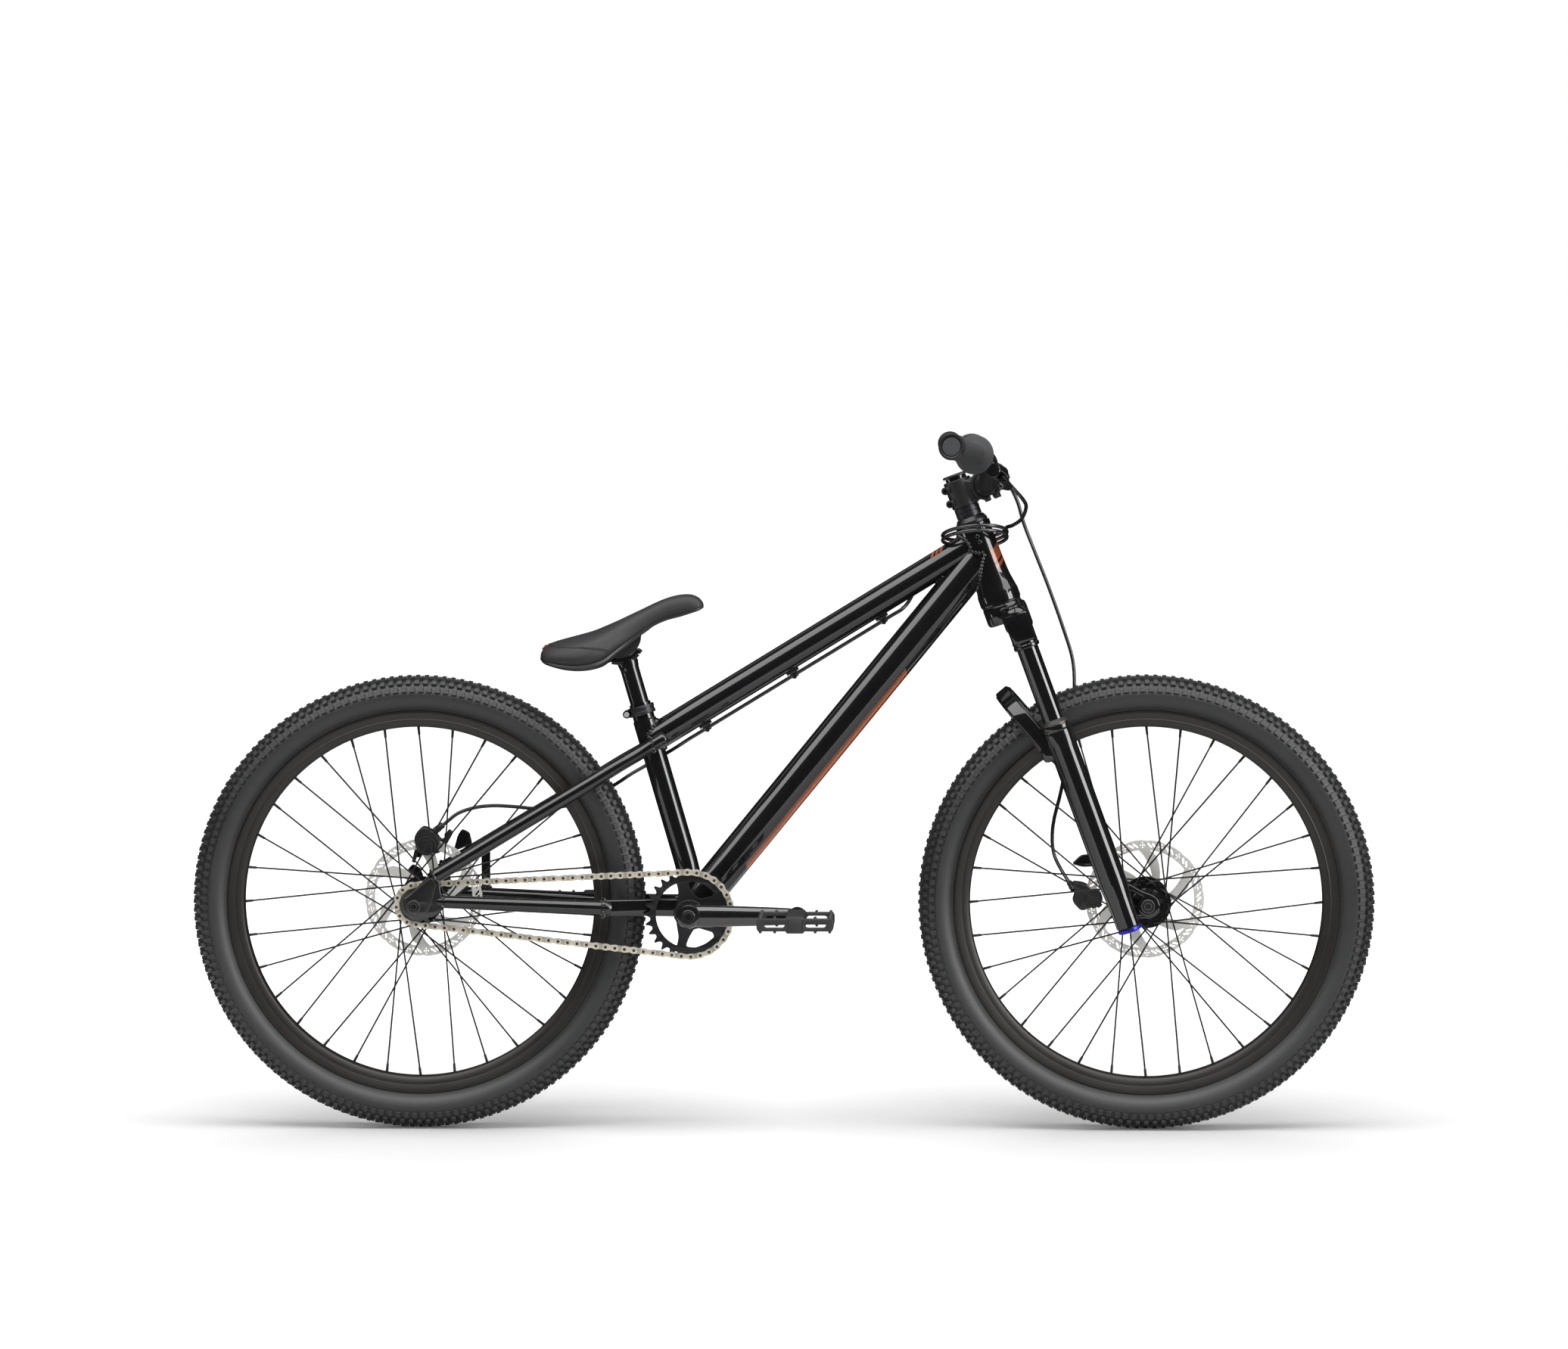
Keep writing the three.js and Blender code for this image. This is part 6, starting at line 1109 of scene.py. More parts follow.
def slot_hole(angle):
    """A slanted slot of the disc's track."""
    x, y = polar(track_radius, angle)
    lie = angle + slot_slant
    ends = []
    for end, start in ((1, -pi / 2), (-1, pi / 2)):
        for i in range(5):
            turn = lie + start + pi * i / 4
            ends.append((x + end * slot_half * cos(lie) + 0.0012 * cos(turn),
                         y + end * slot_half * sin(lie) + 0.0012 * sin(turn)))
    return ends


def arm_side(start, first, sweep):
    """The swept side of a disc's arm, from shares of the step between two arms."""
    shares = [k / 8 for k in range(1, 8)]
    return [polar(arm_inner + (arm_outer - arm_inner) * share,
                  start + arm_step * (first + sweep * share**0.8)) for share in shares]


disc_holes = [circle(0.0175, count=48)]
group_step = tau / disc_groups
for i in range(disc_groups):
    middle = i * group_step
    disc_holes += [slot_hole(middle), slot_hole(middle + group_step * 0.24)]
    for radius, share in ((track_radius, 0.52), (0.0765, 0.62), (0.0699, 0.62), (track_radius, 0.73),
                          (track_radius, 0.62)):
        disc_holes.append(circle(0.00098, *polar(radius, middle + group_step * share), 10))
for i in range(6):
    start = i * arm_step
    outer_edge = [polar(0.0665, start + arm_step * (0.62 + 0.78 * k / 8)) for k in range(9)]
    inner_edge = [polar(arm_inner, start + arm_step * (0.1 + 0.6 * k / 6)) for k in range(7)]
    disc_holes.append([*outer_edge, *reversed(arm_side(start, 0.74, 0.56)), *reversed(inner_edge),
                       *arm_side(start, 0.1, 0.5)])
for wheel, hub_at in both_wheels:
    seat = hub_ends[wheel][2]
    middle = Vector((hub_at.x, seat + 0.0003 + disc_thickness / 2, hub_at.z))
    rim_line = [polar(disc_radius - (0.0009 if i % 8 in (3, 4) else 0), tau * i / 144) for i in range(144)]
    piece(f"{wheel}_disc_cut", [plate([rim_line, *disc_holes], disc_thickness, middle, bevel=0.0002)],
          disc_steel, f"{wheel}_wheel", [f"{wheel}_brake_disc"])
    bolts = [turned([(0.0012, 0), (0.0036, 0), (0.0036, 0.0009), (0.0028, 0.0014), (0.0012, 0.0014)],
                    around_hub(hub_at, pi / 3 * (i + 0.5), 0.022, seat + 0.0003 + disc_thickness),
                    left, 16) for i in range(6)]
    piece(f"{wheel}_disc_bolts", bolts, disc_bolt, f"{wheel}_wheel")

# Chain and sprockets
# A nickel finished chain of 12.7 mm pitch with dark pins, from a black chainring of 28 teeth
# to a steel sprocket of 13 teeth on a single speed freewheel.
pitch = 0.0127
ring_teeth = 28
cog_teeth = 13
chainline = -0.045
tooth_thickness = 0.0022
ring_black = finish_of("ring_black", (0.018, 0.018, 0.02), 0.36, 0.35, scale=600)
cog_steel = finish_of("cog_steel", (0.12, 0.115, 0.11), 0.38, 0.8, scale=500, spread=0.12)
chain_nickel = finish_of("chain_nickel", (0.75, 0.705, 0.585), 0.36, 0.35, scale=700, depth=0.22,
                         spread=0.12)
# The inner plates, which sit between the outer ones, get a darker copy of the nickel: painted shade.
chain_nickel_painted_shade = finish_of("chain_nickel_painted_shade", (0.5, 0.465, 0.38), 0.36, 0.35, scale=700, depth=0.22, spread=0.12)
pin_dark = finish_of("pin_dark", (0.07, 0.052, 0.036), 0.4, 0.5, scale=500)
left_window = [polar(45, radians(angle)) for angle in range(112, 249, 8)]
left_window += [(-14.5, -30), (-17.5, -12), (-17.5, 12), (-14.5, 30)]
upper_window = [(-1, 43.5), (8, 44.5), (22, 39), (33, 30), (30, 24), (14, 21), (6, 27), (0, 36)]
lower_window = [(-5, -43), (8, -44.5), (22, -39), (33, -30), (31, -24), (13, -18.5), (6, -20), (-1, -32)]


def pitch_radius(teeth):
    """The radius of a sprocket's pitch circle."""
    return pitch / (2 * sin(pi / teeth))


def toothed(teeth):
    """A sprocket's outline: hollows for the rollers between narrow teeth."""
    step = tau / teeth
    radius = pitch_radius(teeth)
    form = (
        (-0.5, -0.0039), (-0.38, -0.0036), (-0.27, -0.0022), (-0.18, 0.0002), (-0.11, 0.0024),
        (-0.05, 0.0033), (0.05, 0.0033), (0.11, 0.0024), (0.18, 0.0002), (0.27, -0.0022), (0.38, -0.0036),
    )
    return [polar(radius + rise, (i + share) * step) for i in range(teeth) for share, rise in form]


ring_at = bracket + left * chainline
ring_windows = [rounded(outline_at(window), 0.3, 3) for window in (left_window, upper_window, lower_window)]
centre_cap = [(0.0121, 0.0036), (0.0192, 0.0036), (0.0198, 0.003), (0.0198, -0.002), (0.0192, -0.0026),
              (0.0121, -0.0026)]
ring_bolts = [turned([(0.001, 0), (0.0026, 0), (0.0026, 0.0012), (0.0016, 0.0016), (0.001, 0.0016)],
                     ring_at + Vector((0.0163 * cos(angle), -0.0034, 0.0163 * sin(angle))), -left,
                     14) for angle in (tau * i / 8 for i in range(8))]
piece("chainring_cut", [plate([toothed(ring_teeth), circle(0.0121, count=48), *ring_windows],
                              tooth_thickness, ring_at, bevel=0.0003), ring(centre_cap, ring_at, -left, 60),
                        *ring_bolts], ring_black, "cranks", ["chainring"])
cog_at = rear_hub_at + left * chainline
freewheel = [(0.0056, -0.0672), (0.0125, -0.0672), (0.0132, -0.0664), (0.0132, -0.0645), (0.0152, -0.0645),
             (0.0163, -0.063), (0.017, -0.061), (0.017, -0.0343), (0.0056, -0.0343)]
piece("sprocket_toothed", [plate([toothed(cog_teeth), circle(0.0168, count=48)], tooth_thickness, cog_at,
                                 bevel=0.0003), ring(freewheel, rear_hub_at, left, 60)], cog_steel,
      "sprocket", ["rear_sprocket"])


def chain_stations():
    """The pin places of the chain, in order round both sprockets."""
    big, small = pitch_radius(ring_teeth), pitch_radius(cog_teeth)
    run = bracket - rear_hub_at
    tilt, lean = atan2(run.z, run.x), asin((big - small) / run.length)
    straight = sqrt(run.length**2 - (big - small) ** 2)
    big_arc, small_arc = big * (pi + 2 * lean), small * (pi - 2 * lean)
    length = 2 * straight + big_arc + small_arc
    links = 2 * round(length / pitch / 2)
    spots = []
    for i in range(links):
        gone = length * i / links
        if gone < big_arc:
            centre, radius, angle, past = bracket, big, tilt + pi / 2 + lean - gone / big, 0
        elif gone < big_arc + straight:
            centre, radius, angle, past = bracket, big, tilt - pi / 2 - lean, gone - big_arc
        elif gone < big_arc + straight + small_arc:
            gone -= big_arc + straight
            centre, radius, angle, past = rear_hub_at, small, tilt - pi / 2 - lean - gone / small, 0
        else:
            gone -= big_arc + straight + small_arc
            centre, radius, angle, past = rear_hub_at, small, tilt + pi / 2 + lean, gone
        way = angle - pi / 2
        spots.append(centre + radius * Vector((cos(angle), 0, sin(angle)))
                     + past * Vector((cos(way), 0, sin(way))) + left * chainline)
    return spots


def link_outline(radius, waist):
    """A link plate's outline: two round ends and a narrower waist."""
    half = pitch / 2
    ends = []
    for side in (1, -1):
        turns = [radians(angle) for angle in (-115, -75, -35, 0, 35, 75, 115)]
        ends += [(side * (half + radius * cos(turn)), side * radius * sin(turn)) for turn in turns]
        ends.append((0, side * waist))
    return ends


stations = chain_stations()
links = [(a, (b - a).normalized()) for a, b in zip(stations, [*stations[1:], stations[0]])]
places = [[], []]
for i, (start, way) in enumerate(links):
    axes = (way, left, way.cross(left))
    for side in (1, -1):
        offset = 0.0019 if i % 2 else 0.0029
        places[i % 2].append(stood(start + way * pitch / 2 + left * side * offset, axes))
outer_plate = plate([link_outline(0.0045, 0.0030)], 0.0009, Vector(), bevel=0.0002)
inner_plate = plate([link_outline(0.0046, 0.0036)], 0.0009, Vector(), bevel=0.0002)
bush = tube([[(-left * 0.0014, 0.0038), (left * 0.0014, 0.0038)]], 12)
pin = tube([[(-left * 0.0037, 0.0016), (-left * 0.0035, 0.0021), (left * 0.0035, 0.0021),
             (left * 0.0037, 0.0016)]], 12)
spots = [Matrix.Translation(spot) for spot in stations]
piece("chain_links", [repeated(outer_plate, places[0]), repeated(bush, spots)], chain_nickel,
      "frame", ["chain"])
# Inner plates in the darker copy of the nickel, painted shade.
piece("chain_inner_links", [repeated(inner_plate, places[1])], chain_nickel_painted_shade, "frame")
piece("chain_pins", [repeated(pin, spots)], pin_dark, "frame")

# Cranks
# Tubular steel arms in gloss black, welded to a boss at the spindle and an eye at the pedal.
# The right one points forward and the left one back.
crank_paint = finish_of("crank_paint", (0.016, 0.0155, 0.016), 0.2, 0.25, scale=120, spread=0.06, coat=0.8,
                        coat_roughness=0.06)
crank_length = 0.145
arm_start_side, arm_end_side = 0.065, 0.071
arm_flat = 0.62


def crank_end(side):
    """The pedal eye's middle, for the left at 1 and the right at -1."""
    return bracket - forward * side * crank_length


for side, hand in both_sides:
    end = crank_end(side)
    way = (end - bracket).normalized()
    middle_side = (arm_start_side + arm_end_side) / 2
    line = []
    for share, radius in ((0.03, 0.0135), (0.08, 0.0146), (0.2, 0.0146), (0.4, 0.0139), (0.6, 0.0131),
                          (0.8, 0.0122), (0.93, 0.0113), (0.985, 0.0098)):
        reach = arm_start_side + (arm_end_side - arm_start_side) * share
        spot = bracket.lerp(end, share)
        line.append((spot + left * side * (middle_side + (reach - middle_side) / arm_flat), radius))
    arm = tube([line], 40)
    flatten = Matrix.Translation(left * side * middle_side) @ Matrix.Diagonal((1, arm_flat, 1, 1))
    arm.transform(flatten @ Matrix.Translation(-left * side * middle_side))
    boss = [(0.0096, 0.0424), (0.0122, 0.0424), (0.0135, 0.0436), (0.0135, 0.055), (0.0152, 0.0575),
            (0.016, 0.0605), (0.016, 0.0735), (0.0152, 0.0752), (0.0135, 0.076), (0.0096, 0.076)]
    cap = [(0.0, 0.0722), (0.0042, 0.0722), (0.0042, 0.0752), (0.0048, 0.0758), (0.0086, 0.0758),
           (0.0094, 0.075), (0.0094, 0.0722)]
    eye = [(0.0071, 0.0622), (0.0113, 0.0622), (0.0125, 0.0632), (0.0125, 0.0788), (0.0115, 0.08),
           (0.0071, 0.08)]
    parts = [arm, ring(boss, bracket, left * side, 64),
             turned(cap, bracket, left * side, 6 if side < 0 else 48), ring(eye, end, left * side, 48)]
    if side > 0:
        parts.append(turned(both_ends([(0, -0.076), (0.0095, -0.076)]), bracket, left, 48))
    piece(f"crank_arm_{hand}", parts, crank_paint, "cranks", [f"crank_{hand}"])
    hollow = [(0.0, 0.0724), (0.0046, 0.0724), (0.0046, 0.0766), (0.0054, 0.0769), (0.0082, 0.0769),
              (0.0092, 0.0762), (0.0092, 0.0724)]
    piece(f"crank_bolt_{hand}", [turned(hollow, bracket, left * side, 48)], black_steel,
          "cranks")
    axle_line = [(0, 0.0623), (0.007, 0.0623), (0.007, 0.0804), (0.0078, 0.0806), (0.0078, 0.0828),
                 (0.005, 0.083), (0.005, 0.172), (0, 0.172)]
    piece(f"pedal_spindle_{hand}", [turned(axle_line, end, left * side, 32)], black_steel,
          "cranks", [f"pedal_axle_{hand}"])

# Pedals
# One moulding of black nylon: a centre block and two slotted rails with moulded pins on both
# faces, turning on a steel spindle.
nylon_black = finish_of("nylon_black", (0.022, 0.022, 0.023), 0.55, scale=220, depth=0.35, spread=0.12,
                        bump=0.35, relief=1e-4)
pedal_inner = 0.087
pedal_width = 0.094
pedal_half = 0.0505
rail_width = 0.009
rail_height = 0.017
rail_outline = [(-0.0505, -0.0045), (-0.0485, -0.0085), (0.0485, -0.0085), (0.0505, -0.0045),
                (0.0505, 0.0045), (0.0485, 0.0085), (-0.0485, 0.0085), (-0.0505, 0.0045)]
window_middle = 0.027
pin_runs = (-0.0455, -0.0265, 0.0265, 0.0455)
rail_pin = [(0, 0), (0.0022, 0), (0.0019, 0.0022), (0.0013, 0.0031), (0, 0.0031)]
bar_pin = [(0, 0), (0.0026, 0), (0.002, 0.0038), (0.0013, 0.005), (0, 0.005)]


def slot_outline(middle, half, rise):
    """A slot with round ends."""
    turns = [pi * i / 6 for i in range(7)]
    right_end = [(middle + half - rise + rise * sin(turn), -rise * cos(turn)) for turn in turns]
    left_end = [(middle - half + rise - rise * sin(turn), rise * cos(turn)) for turn in turns]
    return right_end + left_end


def pins(profile, spots, reach):
    """A moulded pin above and below each spot."""
    return [turned(profile, spot + upward * rise * reach, upward * rise, 12) for spot in spots
            for rise in (1, -1)]


for side, hand in both_sides:
    end = crank_end(side)
    parts = []
    slots = [slot_outline(share * window_middle, 0.0135, 0.0035) for share in (1, -1)]
    for reach in (pedal_inner + rail_width / 2, pedal_inner + pedal_width - rail_width / 2):
        middle = end + left * side * reach
        local = [[(x + middle.x, z + middle.z) for x, z in outline] for outline in (rail_outline, *slots)]
        parts.append(plate(local, rail_width, left * middle.y, bevel=0.0012))
        parts += pins(rail_pin, [middle + forward * run for run in pin_runs], rail_height / 2 - 0.0004)
    middle = end + left * side * (pedal_inner + pedal_width / 2)
    for share in (1, -1):
        bar_at = middle + forward * share * (pedal_half - 0.0045)
        parts.append(block((rail_width, pedal_width - 0.012, 0.0125), bar_at, bevel=0.002))
        parts += pins(bar_pin, [bar_at + left * run for run in (-0.024, 0, 0.024)], 0.0058)
    parts.append(block((0.025, pedal_width, 0.023), middle, bevel=0.003))
    parts.append(block((0.0185, pedal_width + 0.0016, 0.0175), middle, bevel=0.0012))
    piece(f"pedal_moulded_{hand}", parts, nylon_black, f"pedal_platform_{hand}", [f"pedal_{hand}"])

# Seat post
# A gloss black tube with a forged cradle at its top, whose inner face is ribbed to hold the
# saddle at its tilt.
post_black = finish_of("post_black", (0.0095, 0.0095, 0.0103), 0.3, scale=200, spread=0.04, bump=0.02,
                       coat=1.0, coat_roughness=0.03, specular=0.1)
tilt_at = at(-219, 0, 664)
post_radius = 0.0127
post_insert = 0.15
disc_reach = 0.03
cradle_middle = radians(286)


def sector(inner, outer, middle, half, steps=24, ripple=0.0):
    """Part of a flat ring about the saddle's tilt axis, its inner edge ribbed if asked."""
    angles = [middle - half + 2 * half * i / steps for i in range(steps + 1)]
    near = [polar(inner - (ripple if i % 2 else 0), angle) for i, angle in enumerate(angles)]
    far = [polar(outer, angle) for angle in reversed(angles)]
    return [(x + tilt_at.x, z + tilt_at.z) for x, z in near + far]


post_foot = seat_at(seat_tube_top) - seat_up * post_insert
post_head = tilt_at - seat_up * 0.0345
post_run = (post_head - post_foot).length
post_line = [(0.0104, 0), (post_radius, 0), (post_radius, post_run - 0.016), (0.0128, post_run - 0.012),
             (0.0142, post_run - 0.0035), (0.0136, post_run), (0.0104, post_run)]
cradle = [plate([sector(0.0305, 0.0358, cradle_middle, radians(40), 60, 0.0004)], 0.026, Vector()),
          plate([sector(0.0333, 0.0385, cradle_middle, radians(30))], 0.021, Vector(), bevel=0.0014)]
for turn in (-38, 38):
    lip = sector(0.0312, 0.0376, cradle_middle + radians(turn), radians(4), 6)
    cradle.append(plate([lip], 0.026, Vector(), bevel=0.001))
piece("seat_post_forged", [ring(post_line, post_foot, seat_up, 64), *cradle], post_black,
      "seat_post", ["seatpost"])

# Saddle
# A one-bolt saddle: a moulded base with a ribbed disc below it, foam over that, and a cover
# of matt black synthetic leather that is drawn tight and stitched along each side.
saddle_stations = [
    (-103, -21, -30, 34), (-98, -13.5, -35.5, 44), (-89, -8.5, -39, 52), (-71, -3, -43.5, 60),
    (-51, 2.3, -45.2, 63), (-33, 7.5, -43.5, 60), (-17, 14, -38.5, 52), (-3, 20, -27, 42),
    (14, 28, -13, 31), (31, 36, 1, 24), (49, 44.6, 14, 20), (66, 51.5, 21.5, 18), (83, 55.7, 26, 17.5),
    (99, 55.8, 31, 16), (109, 51, 34.5, 12), (114.5, 44, 38, 6),
]
cover_shares = [(0, 1), (0.22, 0.995), (0.45, 0.965), (0.66, 0.9), (0.82, 0.8), (0.94, 0.63), (1, 0.42),
                (0.985, 0.27), (0.93, 0.175), (0.84, 0.17), (0.6, 0.2)]
base_shares = [(0.93, 0.175), (0.945, 0.1), (0.89, 0.02), (0.72, 0), (0.58, 0.01)]
pocket_reach = 42
pocket_ceiling = 2
saddle_leather = finish_of("saddle_leather", (0.02, 0.02, 0.0215), 0.58, scale=900, depth=0.4, spread=0.12,
                           bump=0.5, relief=6e-5, specular=0.4)
base_plastic = finish_of("base_plastic", (0.0185, 0.0175, 0.0165), 0.4, scale=300, spread=0.08)
thread_grey = finish_of("thread_grey", (0.085, 0.085, 0.087), 0.7, scale=900)
tab_red = finish_of("tab_red", (0.42, 0.03, 0.03), 0.6, scale=900)


def saddle_spot(station, across, rise, lift=0.0):
    """A point of the saddle, from shares of a station's half width and depth."""
    x, top, low, half = station
    height = low + (top - low) * rise
    if across == 0 and rise < 0.5 and abs(x) < pocket_reach:
        height = max(height, pocket_ceiling)
    return tilt_at + at(x, half * across, height + lift)


def lofted(lines):
    """A closed body through lines that run from one end to the other, capped at both ends."""
    form = bmesh.new()
    rings = []
    for spots in zip(*lines):
        corners = [form.verts.new(spot) for spot in spots]
        rings.append([form.edges.new(pair) for pair in zip(corners, [*corners[1:], corners[0]])])
    for first, second in zip(rings, rings[1:]):
        bmesh.ops.bridge_loops(form, edges=first + second)
    for end in (rings[0], rings[-1]):
        bmesh.ops.contextual_create(form, geom=end)
    bmesh.ops.recalc_face_normals(form, faces=form.faces)
    return mesh_from(form, "lofted")


def along_saddle(across, rise, lift=0.0):
    """A smooth line from the saddle's tail to its nose at given shares."""
    return smooth_line([saddle_spot(station, across, rise, lift) for station in saddle_stations], 4)


def finer(made, levels):
    """Rounds a piece with a subdivision surface."""
    rounds = made.modifiers.new("rounds", "SUBSURF")
    rounds.levels = levels
    rounds.render_levels = levels


cover_lines = [along_saddle(across, rise) for across, rise in cover_shares]
cover_lines += [along_saddle(0, 0.24, 2)]
cover_lines += [along_saddle(-across, rise) for across, rise in reversed(cover_shares[1:])]
cover = piece("saddle_cover_sewn", [lofted(cover_lines)], saddle_leather, "saddle",
              ["saddle_cover"])
finer(cover, 2)

base_lines = [along_saddle(across, rise) for across, rise in base_shares]
base_lines += [along_saddle(0, 0.0)]
base_lines += [along_saddle(-across, rise) for across, rise in reversed(base_shares)]
base_lines += [along_saddle(-0.84, 0.2, 0.5), along_saddle(-0.55, 0.03, 4), along_saddle(0, 0.0, 2.5),
               along_saddle(0.55, 0.03, 4), along_saddle(0.84, 0.2, 0.5)]
ribs = [(disc_reach, 0.0017), (-disc_reach, 0.0017)]
ribs += [polar(disc_reach - (0.0004 if i % 2 else 0), pi + pi * i / 90) for i in range(91)]
ribs = [(tilt_at.x + x, tilt_at.z + min(z, 0.0017)) for x, z in ribs]
ribbed_disc = plate([ribs], 0.0245, Vector(), bevel=0.0004)
base = piece("saddle_base_moulded", [lofted(base_lines), ribbed_disc], base_plastic, "saddle",
             ["saddle_base"])

seam_line = [(-93.5, -10.8), (-80, -12.2), (-64, -12.8), (-48, -13.2), (-33, -14.4), (-19, -16.4),
             (-8, -18.8)]
cover_tree = BVHTree.FromObject(cover, bpy.context.evaluated_depsgraph_get())
threads = []
cords_of_seam = []
for side in (1, -1):
    wanted = smooth_line([at(x, 0, z) for x, z in seam_line], 7)
    spots = []
    for spot in wanted:
        found, facing, _, _ = cover_tree.ray_cast(tilt_at + spot + left * side * 0.1, -left * side)
        if found:
            spots.append((found, facing))
    cords_of_seam.append([(spot - facing * 0.0001, 0.001) for spot, facing in spots])
    sewn = spots[len(spots) // 2:]
    for (start, facing), (end, _) in zip(sewn, sewn[1:]):
        way = (end - start) * 0.33
        rise = facing * 0.0008 + upward * 0.0022
        threads.append([(start + rise - way, 0.0004), (start + rise, 0.0009), (start + rise + way, 0.0004)])
piece("saddle_piping", [tube(cords_of_seam, 10)], saddle_leather, "saddle")
piece("saddle_stitches", [tube(threads, 6)], thread_grey, "saddle")
tab_at, tab_facing, _, _ = cover_tree.ray_cast(tilt_at + at(-112, -12, -1), at(1, 0, -1).normalized())
tab_along = left.cross(tab_facing).normalized()
tab_axes = (tab_along, tab_facing.cross(tab_along), tab_facing)
piece("saddle_tab", [block((0.008, 0.011, 0.002), tab_at + tab_facing * 0.0004, tab_axes, 0.0005)], tab_red,
      "saddle")

# Stem and handlebar
# A forged stem in satin black grips the steerer and a riser bar of stepped tube, with two
# pinch bolts behind and four bolts through its faceplate.
stem_satin = finish_of("stem_satin", (0.02, 0.02, 0.022), 0.42, 0.25, scale=600, bump=0.15)
bar_black = finish_of("bar_black", (0.018, 0.018, 0.019), 0.4, 0.25, scale=500)
steerer_hold = 0.0145
stem_foot, stem_top = steer_at(0.838), steer_at(0.873)
stem_run = (stem_top - stem_foot).length
stem_reach = 0.035
stem_at = steer_at(0.867 - stem_reach * sin(steer_lean)) + steer_ahead * stem_reach
bar_thick, bar_thin = 0.0159, 0.0111
steer_axes = (steer_ahead, left, steer_up)
collar = [(steerer_hold, 0), (0.0176, 0), (0.0185, 0.0009), (0.0185, stem_run - 0.0009), (0.0176, stem_run),
          (steerer_hold, stem_run)]


def clamp_shell(start, end):
    """Part of the bar clamp's wall, from one angle to another."""
    turns = [radians(start + (end - start) * i / 28) for i in range(29)]
    return [polar(0.021, turn) for turn in turns] + [polar(0.01605, turn) for turn in reversed(turns)]


stem_parts = [ring(collar, stem_foot, steer_up, 64),
              plate([clamp_shell(98, 262)], 0.044, stem_at, steer_ahead, steer_up, 0.0012)]
for side in (1, -1):
    cheek = [(0.003, 0.0008), (0.0205, 0.0016), (0.0275, stem_run / 2 - 0.0165),
             (0.0205, stem_run / 2 + 0.0005), (0.0208, stem_run - 0.0085), (0.003, stem_run - 0.0006)]
    stem_parts.append(plate([rounded(cheek, 0.2)], 0.0065, stem_foot + left * side * 0.0132, steer_ahead,
                            steer_up, 0.0022))
stem_parts.append(block((0.016, 0.031, stem_run - 0.0065),
                        stem_foot + steer_ahead * 0.0185 + steer_up * stem_run / 2, steer_axes, 0.004))
bolt_parts = []
for share in (0.25, 0.75):
    pinch = stem_foot.lerp(stem_top, share) - steer_ahead * 0.0195
    for side in (1, -1):
        ear = pinch + left * side * 0.0082
        stem_parts.append(turned(both_ends([(0, -0.0064), (0.0044, -0.0064), (0.005, -0.0058)]), ear, left,
                                 32))
        stem_parts.append(block((0.0062, 0.0124, 0.0088), ear + steer_ahead * 0.0034, steer_axes, 0.0012))
    bolt_parts.append(turned([(0, 0), (0.0017, 0), (0.0017, 0.0016), (0.003, 0.0016), (0.0034, 0.0012),
                              (0.0034, 0)], pinch - left * 0.0146, -left, 24))
cap_ears = []
for side in (1, -1):
    for rise in (1, -1):
        ear = stem_at + left * side * 0.0155 + steer_up * rise * 0.0186
        stem_parts.append(block((0.009, 0.0105, 0.0074), ear - steer_ahead * 0.0045, steer_axes, 0.0018))
        cap_ears.append(block((0.0072, 0.0105, 0.0074), ear + steer_ahead * 0.0075, steer_axes, 0.0018))
        bolt_parts.append(turned([(0.0017, 0), (0.0032, 0), (0.0035, 0.0005), (0.0035, 0.0032),
                                  (0.003, 0.0037), (0.0017, 0.0037), (0.0017, 0.001), (0, 0.001)],
                                 ear + steer_ahead * 0.0102, steer_ahead, 24))
piece("stem_forged", stem_parts, stem_satin, "steering", ["stem"])
faceplate_form = plate([clamp_shell(-80, 80)], 0.043, stem_at, steer_ahead, steer_up, 0.0012)
piece("faceplate_forged", [faceplate_form, *cap_ears], stem_satin, "steering",
      ["stem_faceplate"])
piece("stem_bolts", bolt_parts, black_steel, "steering")

spacer_foot = head_foot + steer_up * (head_length + 0.0103)
spacer_run = (stem_foot - spacer_foot).length - 0.0003
spacers = []
for i in range(2):
    low, high = spacer_run * i / 2 + 0.0001, spacer_run * (i + 1) / 2 - 0.0001
    spacers.append(ring([(0.0147, low), (0.0166, low), (0.017, low + 0.0004), (0.017, high - 0.0004),
                         (0.0166, high), (0.0147, high)], spacer_foot, steer_up, 56))
piece("steerer_spacers", spacers, black_alloy, "steering", ["steerer_spacer"])
top_profile = [(0, 0), (0.0166, 0), (0.017, 0.0005), (0.017, 0.0022), (0.016, 0.0033), (0.0052, 0.0035),
               (0.0046, 0.0025), (0.0022, 0.0025), (0.0022, 0.0014), (0, 0.0014)]
piece("top_cap_turned", [turned(top_profile, steer_at(steerer_top) + steer_up * 0.0003, steer_up, 48)],
      black_alloy, "steering", ["top_cap"])


def bar_place(across, ahead, above, side):
    """A point of the bar's centre line, from millimetres about its clamp."""
    return stem_at + at(ahead, side * across, above)


def grip_at(across, side):
    """A point of the bar's straight outer part, by its distance from the middle."""
    return bar_place(140, 5, 33, side).lerp(bar_place(366, -47, 52.4, side), (across * 1000 - 140) / 226)


